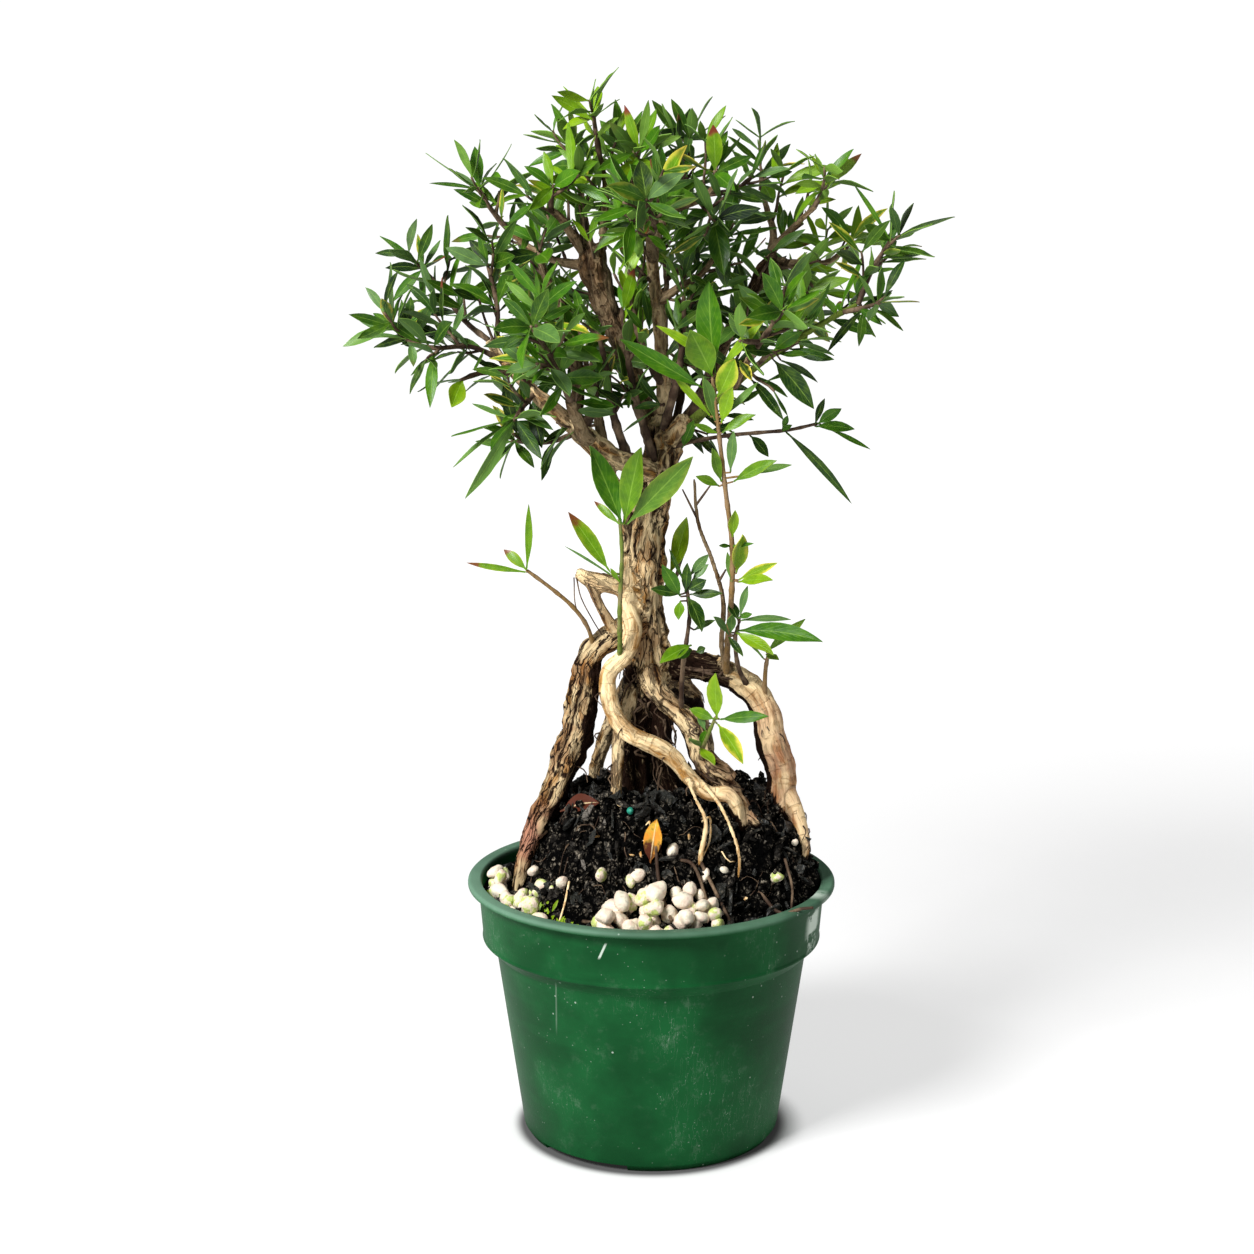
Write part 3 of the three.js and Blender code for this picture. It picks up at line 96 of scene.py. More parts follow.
# Wood: each limb is a route of points (x, y, z, radius).
LIMBS = {
    "trunk": [(-1, 3, 209, 10.5), (-2, 2, 226, 8.8), (-3, 0, 244, 8.4), (-3, -1, 262, 9.4),
        (-2, 0, 280, 9.4), (2, 1, 295, 8.6), (5, 3, 308, 8.4), (5, 4, 321, 6.8)],
    "leader": [(5, 4, 312, 5), (5, 3, 332, 3.6), (4, 2, 354, 3.2), (2, 1, 375, 2.8), (0, 0, 391, 2.7),
        (0, 0, 401, 3.6), (0, 0, 408, 4.2)],
    "inner_left": [(4, 6, 310, 5), (-3, 8, 327, 5.2), (-9, 9, 344, 4.8), (-15, 9, 362, 5),
        (-21, 8, 376, 5.8), (-25, 7, 389, 6.8), (-26, 7, 398, 6)],
    "left_main": [(2, -1, 299, 5), (-8, -7, 305, 4.8), (-17, -11, 309, 4.4), (-27, -13, 316, 4.8),
        (-35, -14, 324, 4.2), (-43, -15, 331, 3.5), (-51, -14, 338, 3), (-59, -12, 345, 2.5),
        (-65, -11, 352, 2.3), (-70, -10, 359, 2.1)],
    "left_second": [(-4, -3, 284, 4), (-13, -9, 293, 2.6), (-20, -13, 304, 2.6), (-26, -14, 314, 2.8)],
    "left_rise": [(-34, -12, 323, 3.2), (-32, -7, 339, 2.9), (-34, -4, 356, 2.8), (-39, -3, 373, 2.4),
        (-45, -2, 384, 2), (-48, -2, 392, 1.7)],
    "left_inner": [(-21, -9, 311, 2.8), (-23, -6, 323, 2.3), (-25, -4, 334, 2), (-28, -2, 345, 1.7)],
    "right_main": [(7, 7, 311, 5), (17, 13, 323, 4), (23, 16, 335, 3.2), (30, 19, 350, 2.9),
        (37, 20, 366, 2.8), (44, 20, 378, 3), (49, 20, 387, 4), (55, 19, 391, 4.4)],
    "right_green": [(13, 6, 318, 3), (26, -10, 332, 2), (35, -18, 341, 1.7), (49, -24, 353, 1.6),
        (64, -26, 363, 1.5), (76, -26, 370, 1.4), (86, -25, 375, 1.3)],
    "right_stub": [(8, 0, 315, 5), (14, -8, 325, 3.6)],
    "top_right": [(0, 0, 404, 3), (8, -4, 413, 2), (20, -6, 418, 1.6), (27, -8, 424, 1.3)],
    "top_left": [(0, 0, 404, 3), (-5, 8, 415, 2), (-10, 16, 426, 1.5), (-11, 22, 434, 1.2)],
    "stub_up": [(-26, 7, 394, 3), (-29, 13, 408, 1.7), (-31, 21, 420, 1.5), (-33, 28, 431, 1.2)],
    "stub_mid": [(-23, 7, 390, 3), (-21, 5, 407, 1.8), (-20, 3, 422, 1.5), (-22, 2, 434, 1.2)],
    "stub_left": [(-26, 7, 391, 3), (-34, 2, 402, 2.2), (-39, -2, 410, 1.9), (-44, -5, 414, 1.5)],
    "stub_far": [(-26, 7, 389, 3), (-41, 16, 391, 1.8), (-53, 28, 396, 1.5), (-64, 36, 403, 1.2)],
    "knob_right": [(51, 20, 389, 3), (65, 22, 390, 1.7), (77, 28, 390, 1.4), (84, 32, 394, 1.2)],
    "knob_up": [(50, 20, 387, 3), (53, 21, 402, 1.8), (50, 27, 414, 1.4), (48, 32, 422, 1.2)],
    "knob_high": [(52, 20, 396, 1.9), (63, 9, 408, 1.4), (70, 4, 415, 1.2)],
    "mid_right": [(2, 1, 374, 2.4), (13, -4, 382, 1.7), (20, -9, 386, 1.5), (26, -13, 394, 1.2)],
    "front_left": [(-27, -13, 315, 3.6), (-31, -23, 324, 2.9), (-35, -36, 336, 2.3)],
    "front_right": [(35, -18, 340, 1.8), (37, -27, 347, 1.7), (40, -38, 354, 1.6)],
    "front_top": [(0, 0, 393, 2.6), (-1, -14, 399, 2.1), (-1, -30, 404, 1.7)],
    "back_left": [(-9, 9, 343, 4), (-20, 30, 350, 3), (-30, 45, 357, 2.4)],
    "back_right": [(23, 16, 334, 3), (38, 36, 342, 2.4), (47, 48, 349, 2)],
    "back_middle": [(4, 2, 355, 2.8), (5, 26, 365, 2.3), (6, 43, 374, 1.9)],
    "root_front": [(-9, -4, 263, 3.6), (-11, -8, 244, 3.6), (-8, -12, 233, 3.7), (-11, -13, 223, 3.7),
        (-19, -13, 214, 3.8), (-19, -14, 203, 3.8), (-15, -18, 194, 3.8), (-8, -22, 188, 3.9),
        (2, -25, 184, 4), (9, -26, 179, 3.6), (17, -27, 170, 3.2), (24, -28, 164, 3.2),
        (34, -28, 162, 3.6), (38, -28, 150, 3), (39, -27, 138, 2)],
    "root_knobby": [(-1, 0, 217, 6.5), (2, -6, 205, 5.2), (9, -10, 198, 4.6), (16, -13, 192, 5),
        (20, -15, 184, 5), (22, -17, 176, 5.2), (28, -19, 168, 5), (36, -20, 160, 4.8), (38, -20, 147, 4),
        (38, -20, 130, 2.5)],
    "root_left": [(-1, -1, 236, 6), (-16, -4, 229, 5.4), (-26, -5, 222, 5.6), (-29, -4, 210, 6.2),
        (-32, -3, 196, 6.9), (-34, -3, 184, 6.8), (-38, -3, 171, 6.6), (-43, -4, 159, 6),
        (-48, -6, 149, 4.8), (-53, -8, 139, 3.8), (-57, -9, 128, 3), (-60, -10, 112, 2.4),
        (-60, -10, 102, 1.8)],
    "root_right": [(-3, 4, 220, 7), (7, 5, 215, 6.2), (17, 5, 214, 5.6), (27, 3, 213, 5.2),
        (36, 1, 209, 5), (45, -1, 203, 5.2), (50, -2, 194, 5.4), (52, -3, 185, 5.7), (55, -4, 176, 6.2),
        (58, -5, 167, 6), (57, -6, 156, 5.4), (57, -6, 143, 4), (56, -6, 128, 2.6)],
    "root_right_toe": [(57, -5, 164, 4), (63, -10, 154, 2.8), (66, -12, 145, 2.4), (68, -13, 136, 1.8),
        (66, -13, 124, 1.2)],
    "root_centre": [(-3, 3, 225, 8), (-6, 5, 202, 8.2), (-8, 7, 183, 7.6), (-8, 8, 167, 8.4),
        (-7, 9, 146, 9.5), (-7, 9, 130, 6)],
    "root_centre_right": [(-1, 8, 213, 7), (2, 12, 194, 5.8), (2, 15, 174, 5.4), (3, 18, 150, 6),
        (4, 19, 132, 4)],
    "root_centre_left": [(-7, 1, 207, 4), (-14, -4, 186, 3.2), (-15, -8, 171, 2.8), (-16, -12, 154, 2.4),
        (-16, -13, 138, 1.8)],
    "root_back": [(-3, 8, 213, 7), (-3, 30, 192, 5.6), (-1, 43, 167, 5), (1, 52, 138, 4.4),
        (2, 56, 118, 3)],
    "root_back_right": [(3, 8, 211, 6), (18, 30, 193, 5), (24, 41, 170, 4.6), (28, 49, 144, 4),
        (29, 53, 122, 3)],
    "root_back_left": [(-6, 8, 211, 6), (-13, 32, 189, 4.8), (-21, 46, 171, 3.6), (-26, 56, 149, 3.4),
        (-28, 61, 122, 2.6)],
    "dead_stub": [(-5, -3, 249, 5), (-17, -7, 252, 4.2), (-27, -9, 255, 3.6), (-33, -10, 258, 2.4)],
    "dead_limb": [(-27, -9, 254, 2.4), (-23, -9, 244, 2.1), (-17, -7, 233, 2.8), (-15, -5, 229, 3)],
    "fine_root_low": [(14, -27, 173, 1.5), (19, -36, 163, 1.2), (23, -42, 155, 1.4), (21, -47, 142, 1.6),
        (20, -46, 132, 1.2)],
    "fine_root_long": [(20, -27, 170, 1.3), (28, -38, 163, 1.1), (33, -46, 155, 1), (37, -50, 143, 1),
        (37, -50, 132, 0.9)],
    "dead_twig": [(36, 1, 208, 2), (31, -6, 222, 1.3), (31, -9, 246, 1.2), (26, -11, 264, 1.1),
        (20, -11, 280, 1), (18, -11, 300, 0.8)],
}

# Sprays: a twig is a route of points from the wood outwards, and a reach is the tip of one leaf,
# with its width where it isn't the usual one. A bare spray has no other leaves, and thick is the
# radius at the foot of its twigs.
SPRAYS = {
    "left_end": {"twigs": [[(-63, -12, 350), (-77, -20, 357), (-92, -26, 357), (-102, -28, 360),
        (-109, -28, 366)]],
        "reach": [(-130, -30, 358, 6), (-127, -36, 370, 4.5), (-118, -20, 371, 3), (-105, -24, 379, 5),
            (-100, -36, 350), (-83, -40, 369, 9)]},
    "left_crook": {"twigs": [[(-70, -10, 359), (-81, -3, 367), (-90, 4, 378), (-99, 9, 388)]],
        "reach": [(-118, 14, 402, 4), (-101, 6, 403, 4), (-92, 18, 400, 3), (-115, 10, 392, 4.5),
            (-114, 0, 379, 5), (-90, -4, 396, 9)]},
    "left_mast": {"twigs": [[(-67, -11, 355), (-66, -9, 371), (-68, -8, 382), (-70, -8, 390)]],
        "reach": [(-88, -8, 398, 6.5), (-76, -12, 406), (-58, -20, 395, 7), (-80, -24, 369, 7)]},
    "left_low": {"bare": True, "twigs": [[(-59, -12, 345), (-74, -24, 346), (-80, -28, 344)]],
        "reach": [(-99, -30, 339, 5), (-93, -37, 332, 8)]},
    "left_droop": {"twigs": [[(-50, -13, 337), (-55, -28, 332), (-58, -36, 328)]],
        "reach": [(-84, -46, 322, 5), (-76, -30, 334, 4), (-84, -38, 308, 3), (-78, -54, 297, 6),
            (-40, -52, 331, 8), (-67, -58, 318, 6)]},
    "left_under": {"twigs": [[(-31, -13, 320), (-40, -17, 317), (-49, -20, 316), (-59, -22, 317)]],
        "reach": [(-65, -22, 301, 5.5), (-76, -14, 316, 4), (-50, -32, 307, 5)]},
    "mast_far": {"twigs": [[(-62, 35, 402), (-69, 38, 411), (-74, 40, 416), (-76, 40, 421)]],
        "reach": [(-78, 40, 440, 6.5), (-100, 44, 437, 2), (-98, 34, 424, 2), (-62, 45, 441, 2),
            (-66, 28, 427, 9), (-54, 36, 419, 4), (-60, 48, 424, 6)]},
    "shoulder_left": {"twigs": [[(-43, -5, 413), (-43, -9, 418), (-42, -12, 423)]],
        "reach": [(-58, -8, 424, 4), (-54, -14, 432, 4.5), (-46, -4, 438, 5), (-30, -26, 430, 7),
            (-52, -28, 414, 6)]},
    "crown_left": {"twigs": [[(-33, 27, 430), (-34, 29, 439)]],
        "reach": [(-44, 28, 458, 5.5), (-52, 32, 449, 5), (-54, 36, 433, 5), (-36, 42, 456, 5),
            (-26, 18, 449)]},
    "crown_top": {"twigs": [[(-22, 2, 433), (-24, 0, 445), (-25, -1, 452)]],
        "reach": [(-24, 0, 468, 6), (-38, 4, 465, 2.4), (-17, 6, 462, 2.2), (-21, -16, 460, 8),
            (-38, -8, 447)]},
    "crown_split": {"twigs": [[(-11, 21, 433), (-14, 24, 440)]],
        "reach": [(-16, 24, 460, 5), (-23, 32, 452, 5), (-17, 10, 452, 6), (-4, 32, 455)]},
    "crown_fan": {"twigs": [[(-6, 11, 419), (-7, 0, 430), (-6, -9, 438)]],
        "reach": [(-12, -10, 457, 5), (1, -2, 456), (-2, -20, 459, 4), (6, -20, 449), (-16, -24, 442, 7)]},
    "crown_right": {"twigs": [[(8, -3, 412), (13, 5, 425), (16, 12, 436), (16, 16, 443)]],
        "reach": [(8, 14, 460, 5), (26, 20, 461, 6.5), (15, 2, 457, 6), (32, 28, 453, 2.2),
            (2, 8, 446, 6)]},
    "crown_torn": {"twigs": [[(27, -8, 423), (26, -12, 429)]],
        "reach": [(25, -15, 449, 7.5), (17, -26, 442, 7), (42, -8, 436), (34, -32, 422, 7)]},
    "heart_high": {"twigs": [[(0, 0, 406), (1, -17, 413), (2, -28, 418)]],
        "reach": [(-10, -36, 433, 8), (3, -22, 441, 7), (13, -38, 443, 8), (-16, -46, 416, 8),
            (17, -50, 420, 8), (-14, -34, 401, 7)]},
    "heart_right": {"twigs": [[(20, -6, 417), (23, -24, 413), (25, -32, 410)]],
        "reach": [(16, -48, 429, 7), (30, -42, 432, 7), (44, -38, 418, 7), (29, -42, 388, 9),
            (12, -56, 403, 7)]},
    "right_bow": {"twigs": [[(23, -7, 420), (35, -3, 422), (42, 0, 427)]],
        "reach": [(48, 6, 441), (58, -8, 431, 4), (34, 8, 438, 3), (42, -20, 430, 6)]},
    "right_whorl": {"twigs": [[(48, 31, 421), (48, 31, 429)]],
        "reach": [(35, 30, 438, 3.5), (61, 36, 441, 5), (67, 32, 432, 3.5), (52, 12, 416, 7),
            (47, 44, 443, 5), (54, 50, 424, 6)]},
    "right_shoulder": {"twigs": [[(69, 5, 414), (73, 2, 422), (74, 1, 425)]],
        "reach": [(69, 0, 437, 7), (84, 6, 437, 6), (60, -8, 431, 5), (94, 0, 421, 6.5),
            (60, -16, 409, 7)]},
    "right_reach": {"twigs": [[(83, 31, 393), (88, 32, 399)]],
        "reach": [(104, 34, 413, 5), (106, 40, 397), (74, 24, 414, 6), (82, 10, 388), (94, 52, 388)]},
    "right_tip": {"twigs": [[(86, -25, 375), (89, -23, 384), (95, -20, 394), (100, -17, 401)]],
        "reach": [(84, -12, 425, 2.2), (127, -16, 411, 3.6), (101, -30, 390, 3), (84, -36, 380),
            (112, 0, 404, 4), (87, -32, 408, 6)]},
    "right_elbow": {"twigs": [[(80, -26, 372), (88, -30, 374), (94, -30, 376)]],
        "reach": [(112, -24, 376, 2.4), (104, -38, 379, 4), (94, -24, 394, 5), (86, -32, 358, 4),
            (76, -38, 352, 3.6)]},
    "right_dark": {"twigs": [[(63, 18, 389), (66, 4, 384), (66, -6, 379)]],
        "reach": [(84, -10, 385), (49, -20, 383, 7), (63, -26, 365, 6), (76, -22, 371, 6),
            (59, -24, 395, 6)]},
    "right_drop": {"twigs": [[(44, -22, 349), (48, -34, 355), (50, -38, 356)]],
        "reach": [(66, -46, 333, 9), (72, -30, 343, 3.5), (55, -30, 331, 6), (36, -56, 358, 7),
            (62, -54, 367, 7)]},
    "low_twig": {"bare": True, "twigs": [[(9, -2, 312), (21, -8, 316), (42, -9, 319), (56, -10, 320),
        (70, -10, 323)]],
        "reach": [(87, -12, 322, 6), (72, -8, 336, 5), (82, -4, 328, 5), (93, -10, 312, 3),
            (86, -14, 289, 4), (57, -11, 331, 3.5), (50, -17, 307, 6), (38, -10, 303, 6),
            (28, -22, 315, 6)]},
    "inner_left": {"twigs": [[(-28, -2, 344), (-29, -8, 352), (-31, -12, 357)]],
        "reach": [(-42, -26, 369, 8), (-17, -24, 366), (-33, -12, 376), (-47, -26, 352, 7),
            (-21, -36, 352, 7)]},
    "mid_left": {"twigs": [[(-34, -4, 356), (-41, -22, 364), (-44, -32, 368)]],
        "reach": [(-59, -42, 378), (-41, -44, 386, 8), (-29, -48, 371, 8), (-62, -40, 362, 7),
            (-46, -54, 357, 7)]},
    "rise_tip": {"twigs": [[(-48, -2, 391), (-49, 4, 399)]],
        "reach": [(-64, 6, 406, 7), (-38, 0, 415), (-53, 16, 414), (-44, -22, 392, 9), (-66, -8, 391, 7),
            (-46, 24, 394, 6)]},
    "mid_right": {"twigs": [[(26, -13, 393), (29, -18, 398)]],
        "reach": [(18, -28, 406, 6), (44, -24, 403), (28, -26, 417, 7), (30, -38, 383, 7),
            (46, -22, 388, 6)]},
    "right_inner": {"twigs": [[(35, 20, 360), (38, 4, 364), (40, -6, 367)]],
        "reach": [(56, -16, 373), (35, -18, 384, 7), (28, -22, 358), (47, -22, 355, 7), (22, -12, 372)]},
    "front_left": {"thick": 1.7, "twigs": [[(-34, -35, 335), (-40, -50, 350), (-46, -64, 364),
        (-49, -72, 369)], [(-40, -50, 350), (-47, -57, 353)]],
        "reach": [(-64, -84, 369, 7), (-42, -80, 385, 7), (-37, -96, 365, 8), (-61, -70, 381),
            (-52, -88, 355, 7), (-60, -64, 350, 7), (-34, -70, 341, 8), (-20, -62, 348, 7)]},
    "front_right": {"thick": 1.5, "twigs": [[(40, -37, 353), (44, -46, 361), (50, -56, 371),
        (52, -66, 375)], [(44, -46, 361), (36, -52, 362)]],
        "reach": [(67, -76, 384), (43, -74, 391, 7), (60, -91, 370, 7), (36, -84, 377, 7), (60, -56, 391),
            (21, -58, 362, 7), (50, -62, 352, 6)]},
    "front_top": {"thick": 1.4, "twigs": [[(-1, -29, 404), (1, -42, 409), (-2, -56, 415), (-3, -67, 419)],
        [(1, -42, 409), (-9, -52, 411)]],
        "reach": [(-19, -80, 425, 7), (12, -76, 430, 7), (-2, -70, 439, 8), (-7, -96, 409, 8),
            (14, -86, 414, 7), (-28, -60, 413, 8), (-12, -66, 394, 7)]},
    "back_left": {"thick": 1.7, "twigs": [[(-29, 44, 356), (-38, 56, 363), (-47, 68, 371), (-52, 77, 375)],
        [(-38, 56, 363), (-47, 54, 375)]],
        "reach": [(-70, 82, 373), (-42, 88, 384), (-59, 74, 391), (-55, 90, 359), (-66, 52, 373),
            (-47, 46, 392), (-32, 66, 385), (-60, 68, 358)]},
    "back_right": {"thick": 1.7, "twigs": [[(46, 47, 348), (55, 58, 356), (65, 70, 367), (70, 78, 373)],
        [(55, 58, 356), (69, 50, 363)]],
        "reach": [(89, 80, 374), (62, 88, 384), (77, 74, 391), (75, 91, 360), (88, 46, 366), (72, 40, 379),
            (82, 62, 352), (67, 38, 350)]},
    "back_top": {"thick": 1.4, "twigs": [[(6, 42, 373), (7, 52, 381), (5, 68, 394), (4, 78, 401)],
        [(7, 52, 381), (21, 54, 392)]],
        "reach": [(-12, 82, 409), (19, 86, 409), (4, 74, 420), (6, 92, 388), (38, 52, 399), (24, 46, 411),
            (32, 68, 386), (12, 62, 408)]},
    "back_crown": {"twigs": [[(-5, 6, 413), (-6, 24, 415), (-8, 40, 419)]],
        "reach": [(-22, 46, 428), (5, 46, 432), (-10, 38, 438), (-6, 62, 414), (-25, 54, 412),
            (8, 24, 408)]},
    "tall_sprout": {"bare": True, "thick": 1.7, "twigs": [[(33, 0, 208), (33, -15, 229), (34, -24, 249),
        (34, -28, 273), (31, -30, 296), (28, -32, 320), (25, -34, 344)]],
        "reach": [(21, -40, 386, 12.5), (15, -50, 366, 13), (48, -38, 362, 6.5), (-12, -42, 362, 8),
            (5, -60, 352, 6), (39, -54, 355, 9), (33, -50, 326, 9), (18, -22, 326, 6), (46, -28, 336, 4),
            (49, -34, 305, 7), (19, -34, 308, 5), (41, -38, 286, 6), (46, -26, 262, 8),
            (56, -34, 255, 5)]},
    "left_twig": {"bare": True, "twigs": [[(-25, -6, 222), (-30, -16, 239), (-40, -20, 250),
        (-53, -24, 261)]],
        "reach": [(-82, -24, 266, 3.5), (-65, -18, 269, 5.5), (-53, -22, 290, 4)]},
    "front_shoot": {"bare": True, "twigs": [[(-14, -13, 219), (-14, -22, 236), (-14, -24, 250),
        (-13, -25, 266), (-14, -26, 284)]],
        "reach": [(-27, -28, 315, 9.5), (-6, -34, 315, 10), (18, -36, 311, 11.5), (-29, -18, 296, 4),
            (-38, -22, 286, 8)]},
    "dark_cluster": {"bare": True, "twigs": [[(13, -11, 194), (13, -22, 214), (14, -24, 226),
        (16, -26, 240), (15, -28, 253)]],
        "reach": [(-2, -28, 257, 6), (6, -36, 273, 7), (19, -24, 275, 5), (32, -34, 257, 6),
            (25, -18, 268, 6), (20, -42, 236, 7), (0, -36, 226, 9), (3, -26, 241)]},
    "right_cluster": {"bare": True, "thick": 1.5, "twigs": [[(44, -1, 203), (38, -12, 216), (36, -20, 231),
        (37, -24, 237)]],
        "reach": [(73, -32, 233, 9.5), (64, -18, 238, 4.5), (53, -36, 226, 7), (42, -16, 256, 5),
            (24, -34, 244, 7), (37, -40, 222, 6)]},
    "right_sprout": {"bare": True, "twigs": [[(50, -2, 195), (50, -9, 215), (51, -11, 222)]],
        "reach": [(66, -10, 239, 5), (41, -2, 234, 4), (54, -24, 219, 6)]},
    "front_sprout": {"bare": True, "twigs": [[(21, -18, 178), (24, -30, 190), (27, -32, 198)]],
        "reach": [(27, -34, 219, 7), (14, -26, 203, 5), (51, -34, 203, 6), (40, -44, 184, 7),
            (19, -40, 184, 6)]},
    "trunk_leaf": {"bare": True, "twigs": [[(4, 3, 247), (11, 6, 254), (12, 4, 259)]],
        "reach": [(19, 0, 283, 8), (20, 14, 276, 5)]},
}

# How leaves grow on the twigs. The rule and its draws are the source part's own.
SEED = 7321
THICKEST_TWIG = 1.3
TWIG_TIP = 0.9
TWIG_STEP = 13
BUD_LENGTH = 1.4
BUD_SHARE = 0.6
LENGTH_SAMPLES = 200
FIRST_NODE = 1.9
NODE_SPACING = 17
LEAFY_SHARE = 0.74
RULE_LEAF_LENGTH = 19
LEAF_MARGIN = 0.5
LEAF_TRIES = 20
LEAF_SAMPLES = (0.14, 0.28, 0.42, 0.56, 0.7, 0.84, 0.98)
LARGE_BLADE = 8
WIDEST_REACH = 7.3
LEAF_SLIMNESS = 0.29
LEAF_WIDTHS = (4, 7)
LEAF_ARCH = 0.1

# Pairs of leaves on a short shoot, from its tip down.
SHOOT_TIP = 0.8
PAIR_SPACING = 5.5
SHOOT_LEAF_SIZES = (0.85, 1.05, 0.9)

# How far in front of a place that stays in view later leaves keep away, and in what steps.
VIEW_DEPTH = 36
VIEW_STEP = 6

# Soil in the pot, as the source part has it.
SOIL_LEVEL = 111.5
ROOT_BALL_HEIGHT = 43
ROOT_BALL_CENTRE = (6, 0)
ROOT_BALL_RADIUS = 61
ROOT_BALL_RIGHT_BULGE = 8
POT_INSIDE = [(0, 4.7), (56.8, 4.7), (68.5, 86.1), (74.3, 92.3), (76.3, 117)]

# The soil's mesh keeps a little off the wall, and its crumbs fade out near it.
WALL_GAP = 0.1
SOIL_RINGS = 68
SOIL_STEPS = 210
CRUMBS_END = 75.4
CRUMBS_FADE = 4

# Chips and flakes on the soil: their least and greatest size, and how far out they lie.
CHIP_SIZES = (0.7, 4.4)
FLAKE_SIZES = (2.4, 8)
FLAKES = 420
SOIL_EDGE = 74

# The pot's foot with its notches, and the drain holes in its floor.
POT_STEPS = 144
FOOT_RADIUS = 58
NOTCHES = 3
NOTCH_START = math.radians(-146.4)
NOTCH_SPAN = math.radians(45.5)
NOTCH_TOP = 3
DRAIN_HOLES = 4
DRAIN_RADIUS = 6
DRAIN_RING = 36

# Marks on the plastic, in metres: a slanting nick (x, z) and a seam (x) at the front, and a scuff at the
# right, whose height is halved because it is drawn out upwards.
NICK_PLACE = (-0.0213, 0.1075)
NICK_SLANT = 0.41
SEAM_ASIDE = -0.0415
SCUFF_PLACE = (0.0715, -0.029, 0.0525)


def draw(kind, first, second, third):
    """The same four whole numbers always give the same value between 0 and 1."""
    def times(one, other):
        return (one * other) & 0xFFFFFFFF
    mixed = times(kind + SEED, 374761393) ^ times(first + 1, 668265263)
    mixed ^= times(second + 1, 1274126177) ^ times(third + 1, 974634777)
    mixed = times(mixed ^ (mixed >> 15), 2246822519)
    mixed = times(mixed ^ (mixed >> 13), 3266489917)
    return (mixed ^ (mixed >> 16)) / 4294967296


def smooth_step(value):
    """0 below 0, 1 above 1, and a smooth rise between."""
    share = min(max(value, 0.0), 1.0)
    return share * share * (3 - 2 * share)


def blend_of(start, end, share):
    """The value a share of the way from start to end."""
    return start + (end - start) * share


def curve_point(knots, share):
    """A point on the rounded curve through the knots."""
    place = (len(knots) - 1) * share
    k = min(int(place), len(knots) - 2)
    before = knots[k - 1] if k else 2 * knots[0] - knots[1]
    after = knots[k + 2] if k + 2 < len(knots) else 2 * knots[-1] - knots[-2]
    four = (before, knots[k], knots[k + 1], after)
    gaps = [max((b - a).length, 1e-6) ** 0.5 for a, b in zip(four, four[1:])]
    steps = [b - a for a, b in zip(four, four[1:])]
    leaving = steps[0] / gaps[0] - (steps[0] + steps[1]) / (gaps[0] + gaps[1]) + steps[1] / gaps[1]
    arriving = steps[1] / gaps[1] - (steps[1] + steps[2]) / (gaps[1] + gaps[2]) + steps[2] / gaps[2]
    leaving, arriving = leaving * gaps[1], arriving * gaps[1]
    t = place - k
    bend = 3 * steps[1] - 2 * leaving - arriving
    swing = leaving + arriving - 2 * steps[1]
    return four[1] + leaving * t + bend * t ** 2 + swing * t ** 3


def smooth_route(route, step):
    """A route as a smooth line of (point, radius), with about one point for each step."""
    knots = [Vector(place[:3]) for place in route]
    fine = [curve_point(knots, i / LENGTH_SAMPLES) for i in range(LENGTH_SAMPLES + 1)]
    length = sum((b - a).length for a, b in zip(fine, fine[1:]))
    count = max(2, int(length / step + 0.5))
    line = []
    for i in range(count + 1):
        span = i / count * (len(route) - 1)
        k = min(int(span), len(route) - 2)
        radius = blend_of(route[k][3], route[k + 1][3], span - k)
        line.append((curve_point(knots, i / count), radius))
    return line


def spray_lines(spray):
    """The twigs of a spray as lines, each with a bud at its end."""
    thick = spray.get("thick", THICKEST_TWIG)
    lines = []
    for twig in spray["twigs"]:
        last = len(twig) - 1
        route = [(*place, blend_of(thick, TWIG_TIP, i / last)) for i, place in enumerate(twig)]
        line = smooth_route(route, TWIG_STEP)
        onward = (line[-1][0] - line[-2][0]).normalized()
        line.append((line[-1][0] + onward * BUD_LENGTH, BUD_SHARE * TWIG_TIP))
        lines.append(line)
    return lines


def usual_width(length):
    return min(max(LEAF_SLIMNESS * length, LEAF_WIDTHS[0]), LEAF_WIDTHS[1])


def nudge(direction, angle, kind, first, second, third):
    """Turns a direction by up to a given angle, by a seeded draw."""
    side = Vector([draw(kind, first, second, third * 3 + i) - 0.5 for i in range(3)])
    return (direction.normalized() + side * (2 * angle)).normalized()


def soil_height(x, y):
    """The soil's surface: the level bed, the steep root ball and a crumbled relief."""
    dx, dy = x - ROOT_BALL_CENTRE[0], y - ROOT_BALL_CENTRE[1]
    away = math.hypot(dx, dy)
    radius = ROOT_BALL_RADIUS + ROOT_BALL_RIGHT_BULGE * (max(dx, 0) / max(away, 1)) ** 2
    forwards = (max(-dy, 0) / max(away, 1)) ** 2
    ball = smooth_step((1.12 + 0.08 * forwards - away / radius) / (0.42 + 0.33 * forwards))
    crumbs = math.sin(0.31 * x + 1.3) * math.sin(0.27 * y + 0.4)
    grains = math.sin(0.63 * x + 0.41 * y) * math.sin(0.52 * y - 0.35 * x + 2)
    height = SOIL_LEVEL + ROOT_BALL_HEIGHT * ball
    return height + (0.9 + 2.2 * ball) * crumbs + (0.5 + ball) * grains


def across_twig(along):
    """Two directions across a twig, at right angles."""
    first = UP.cross(along).normalized()
    return first, along.cross(first)


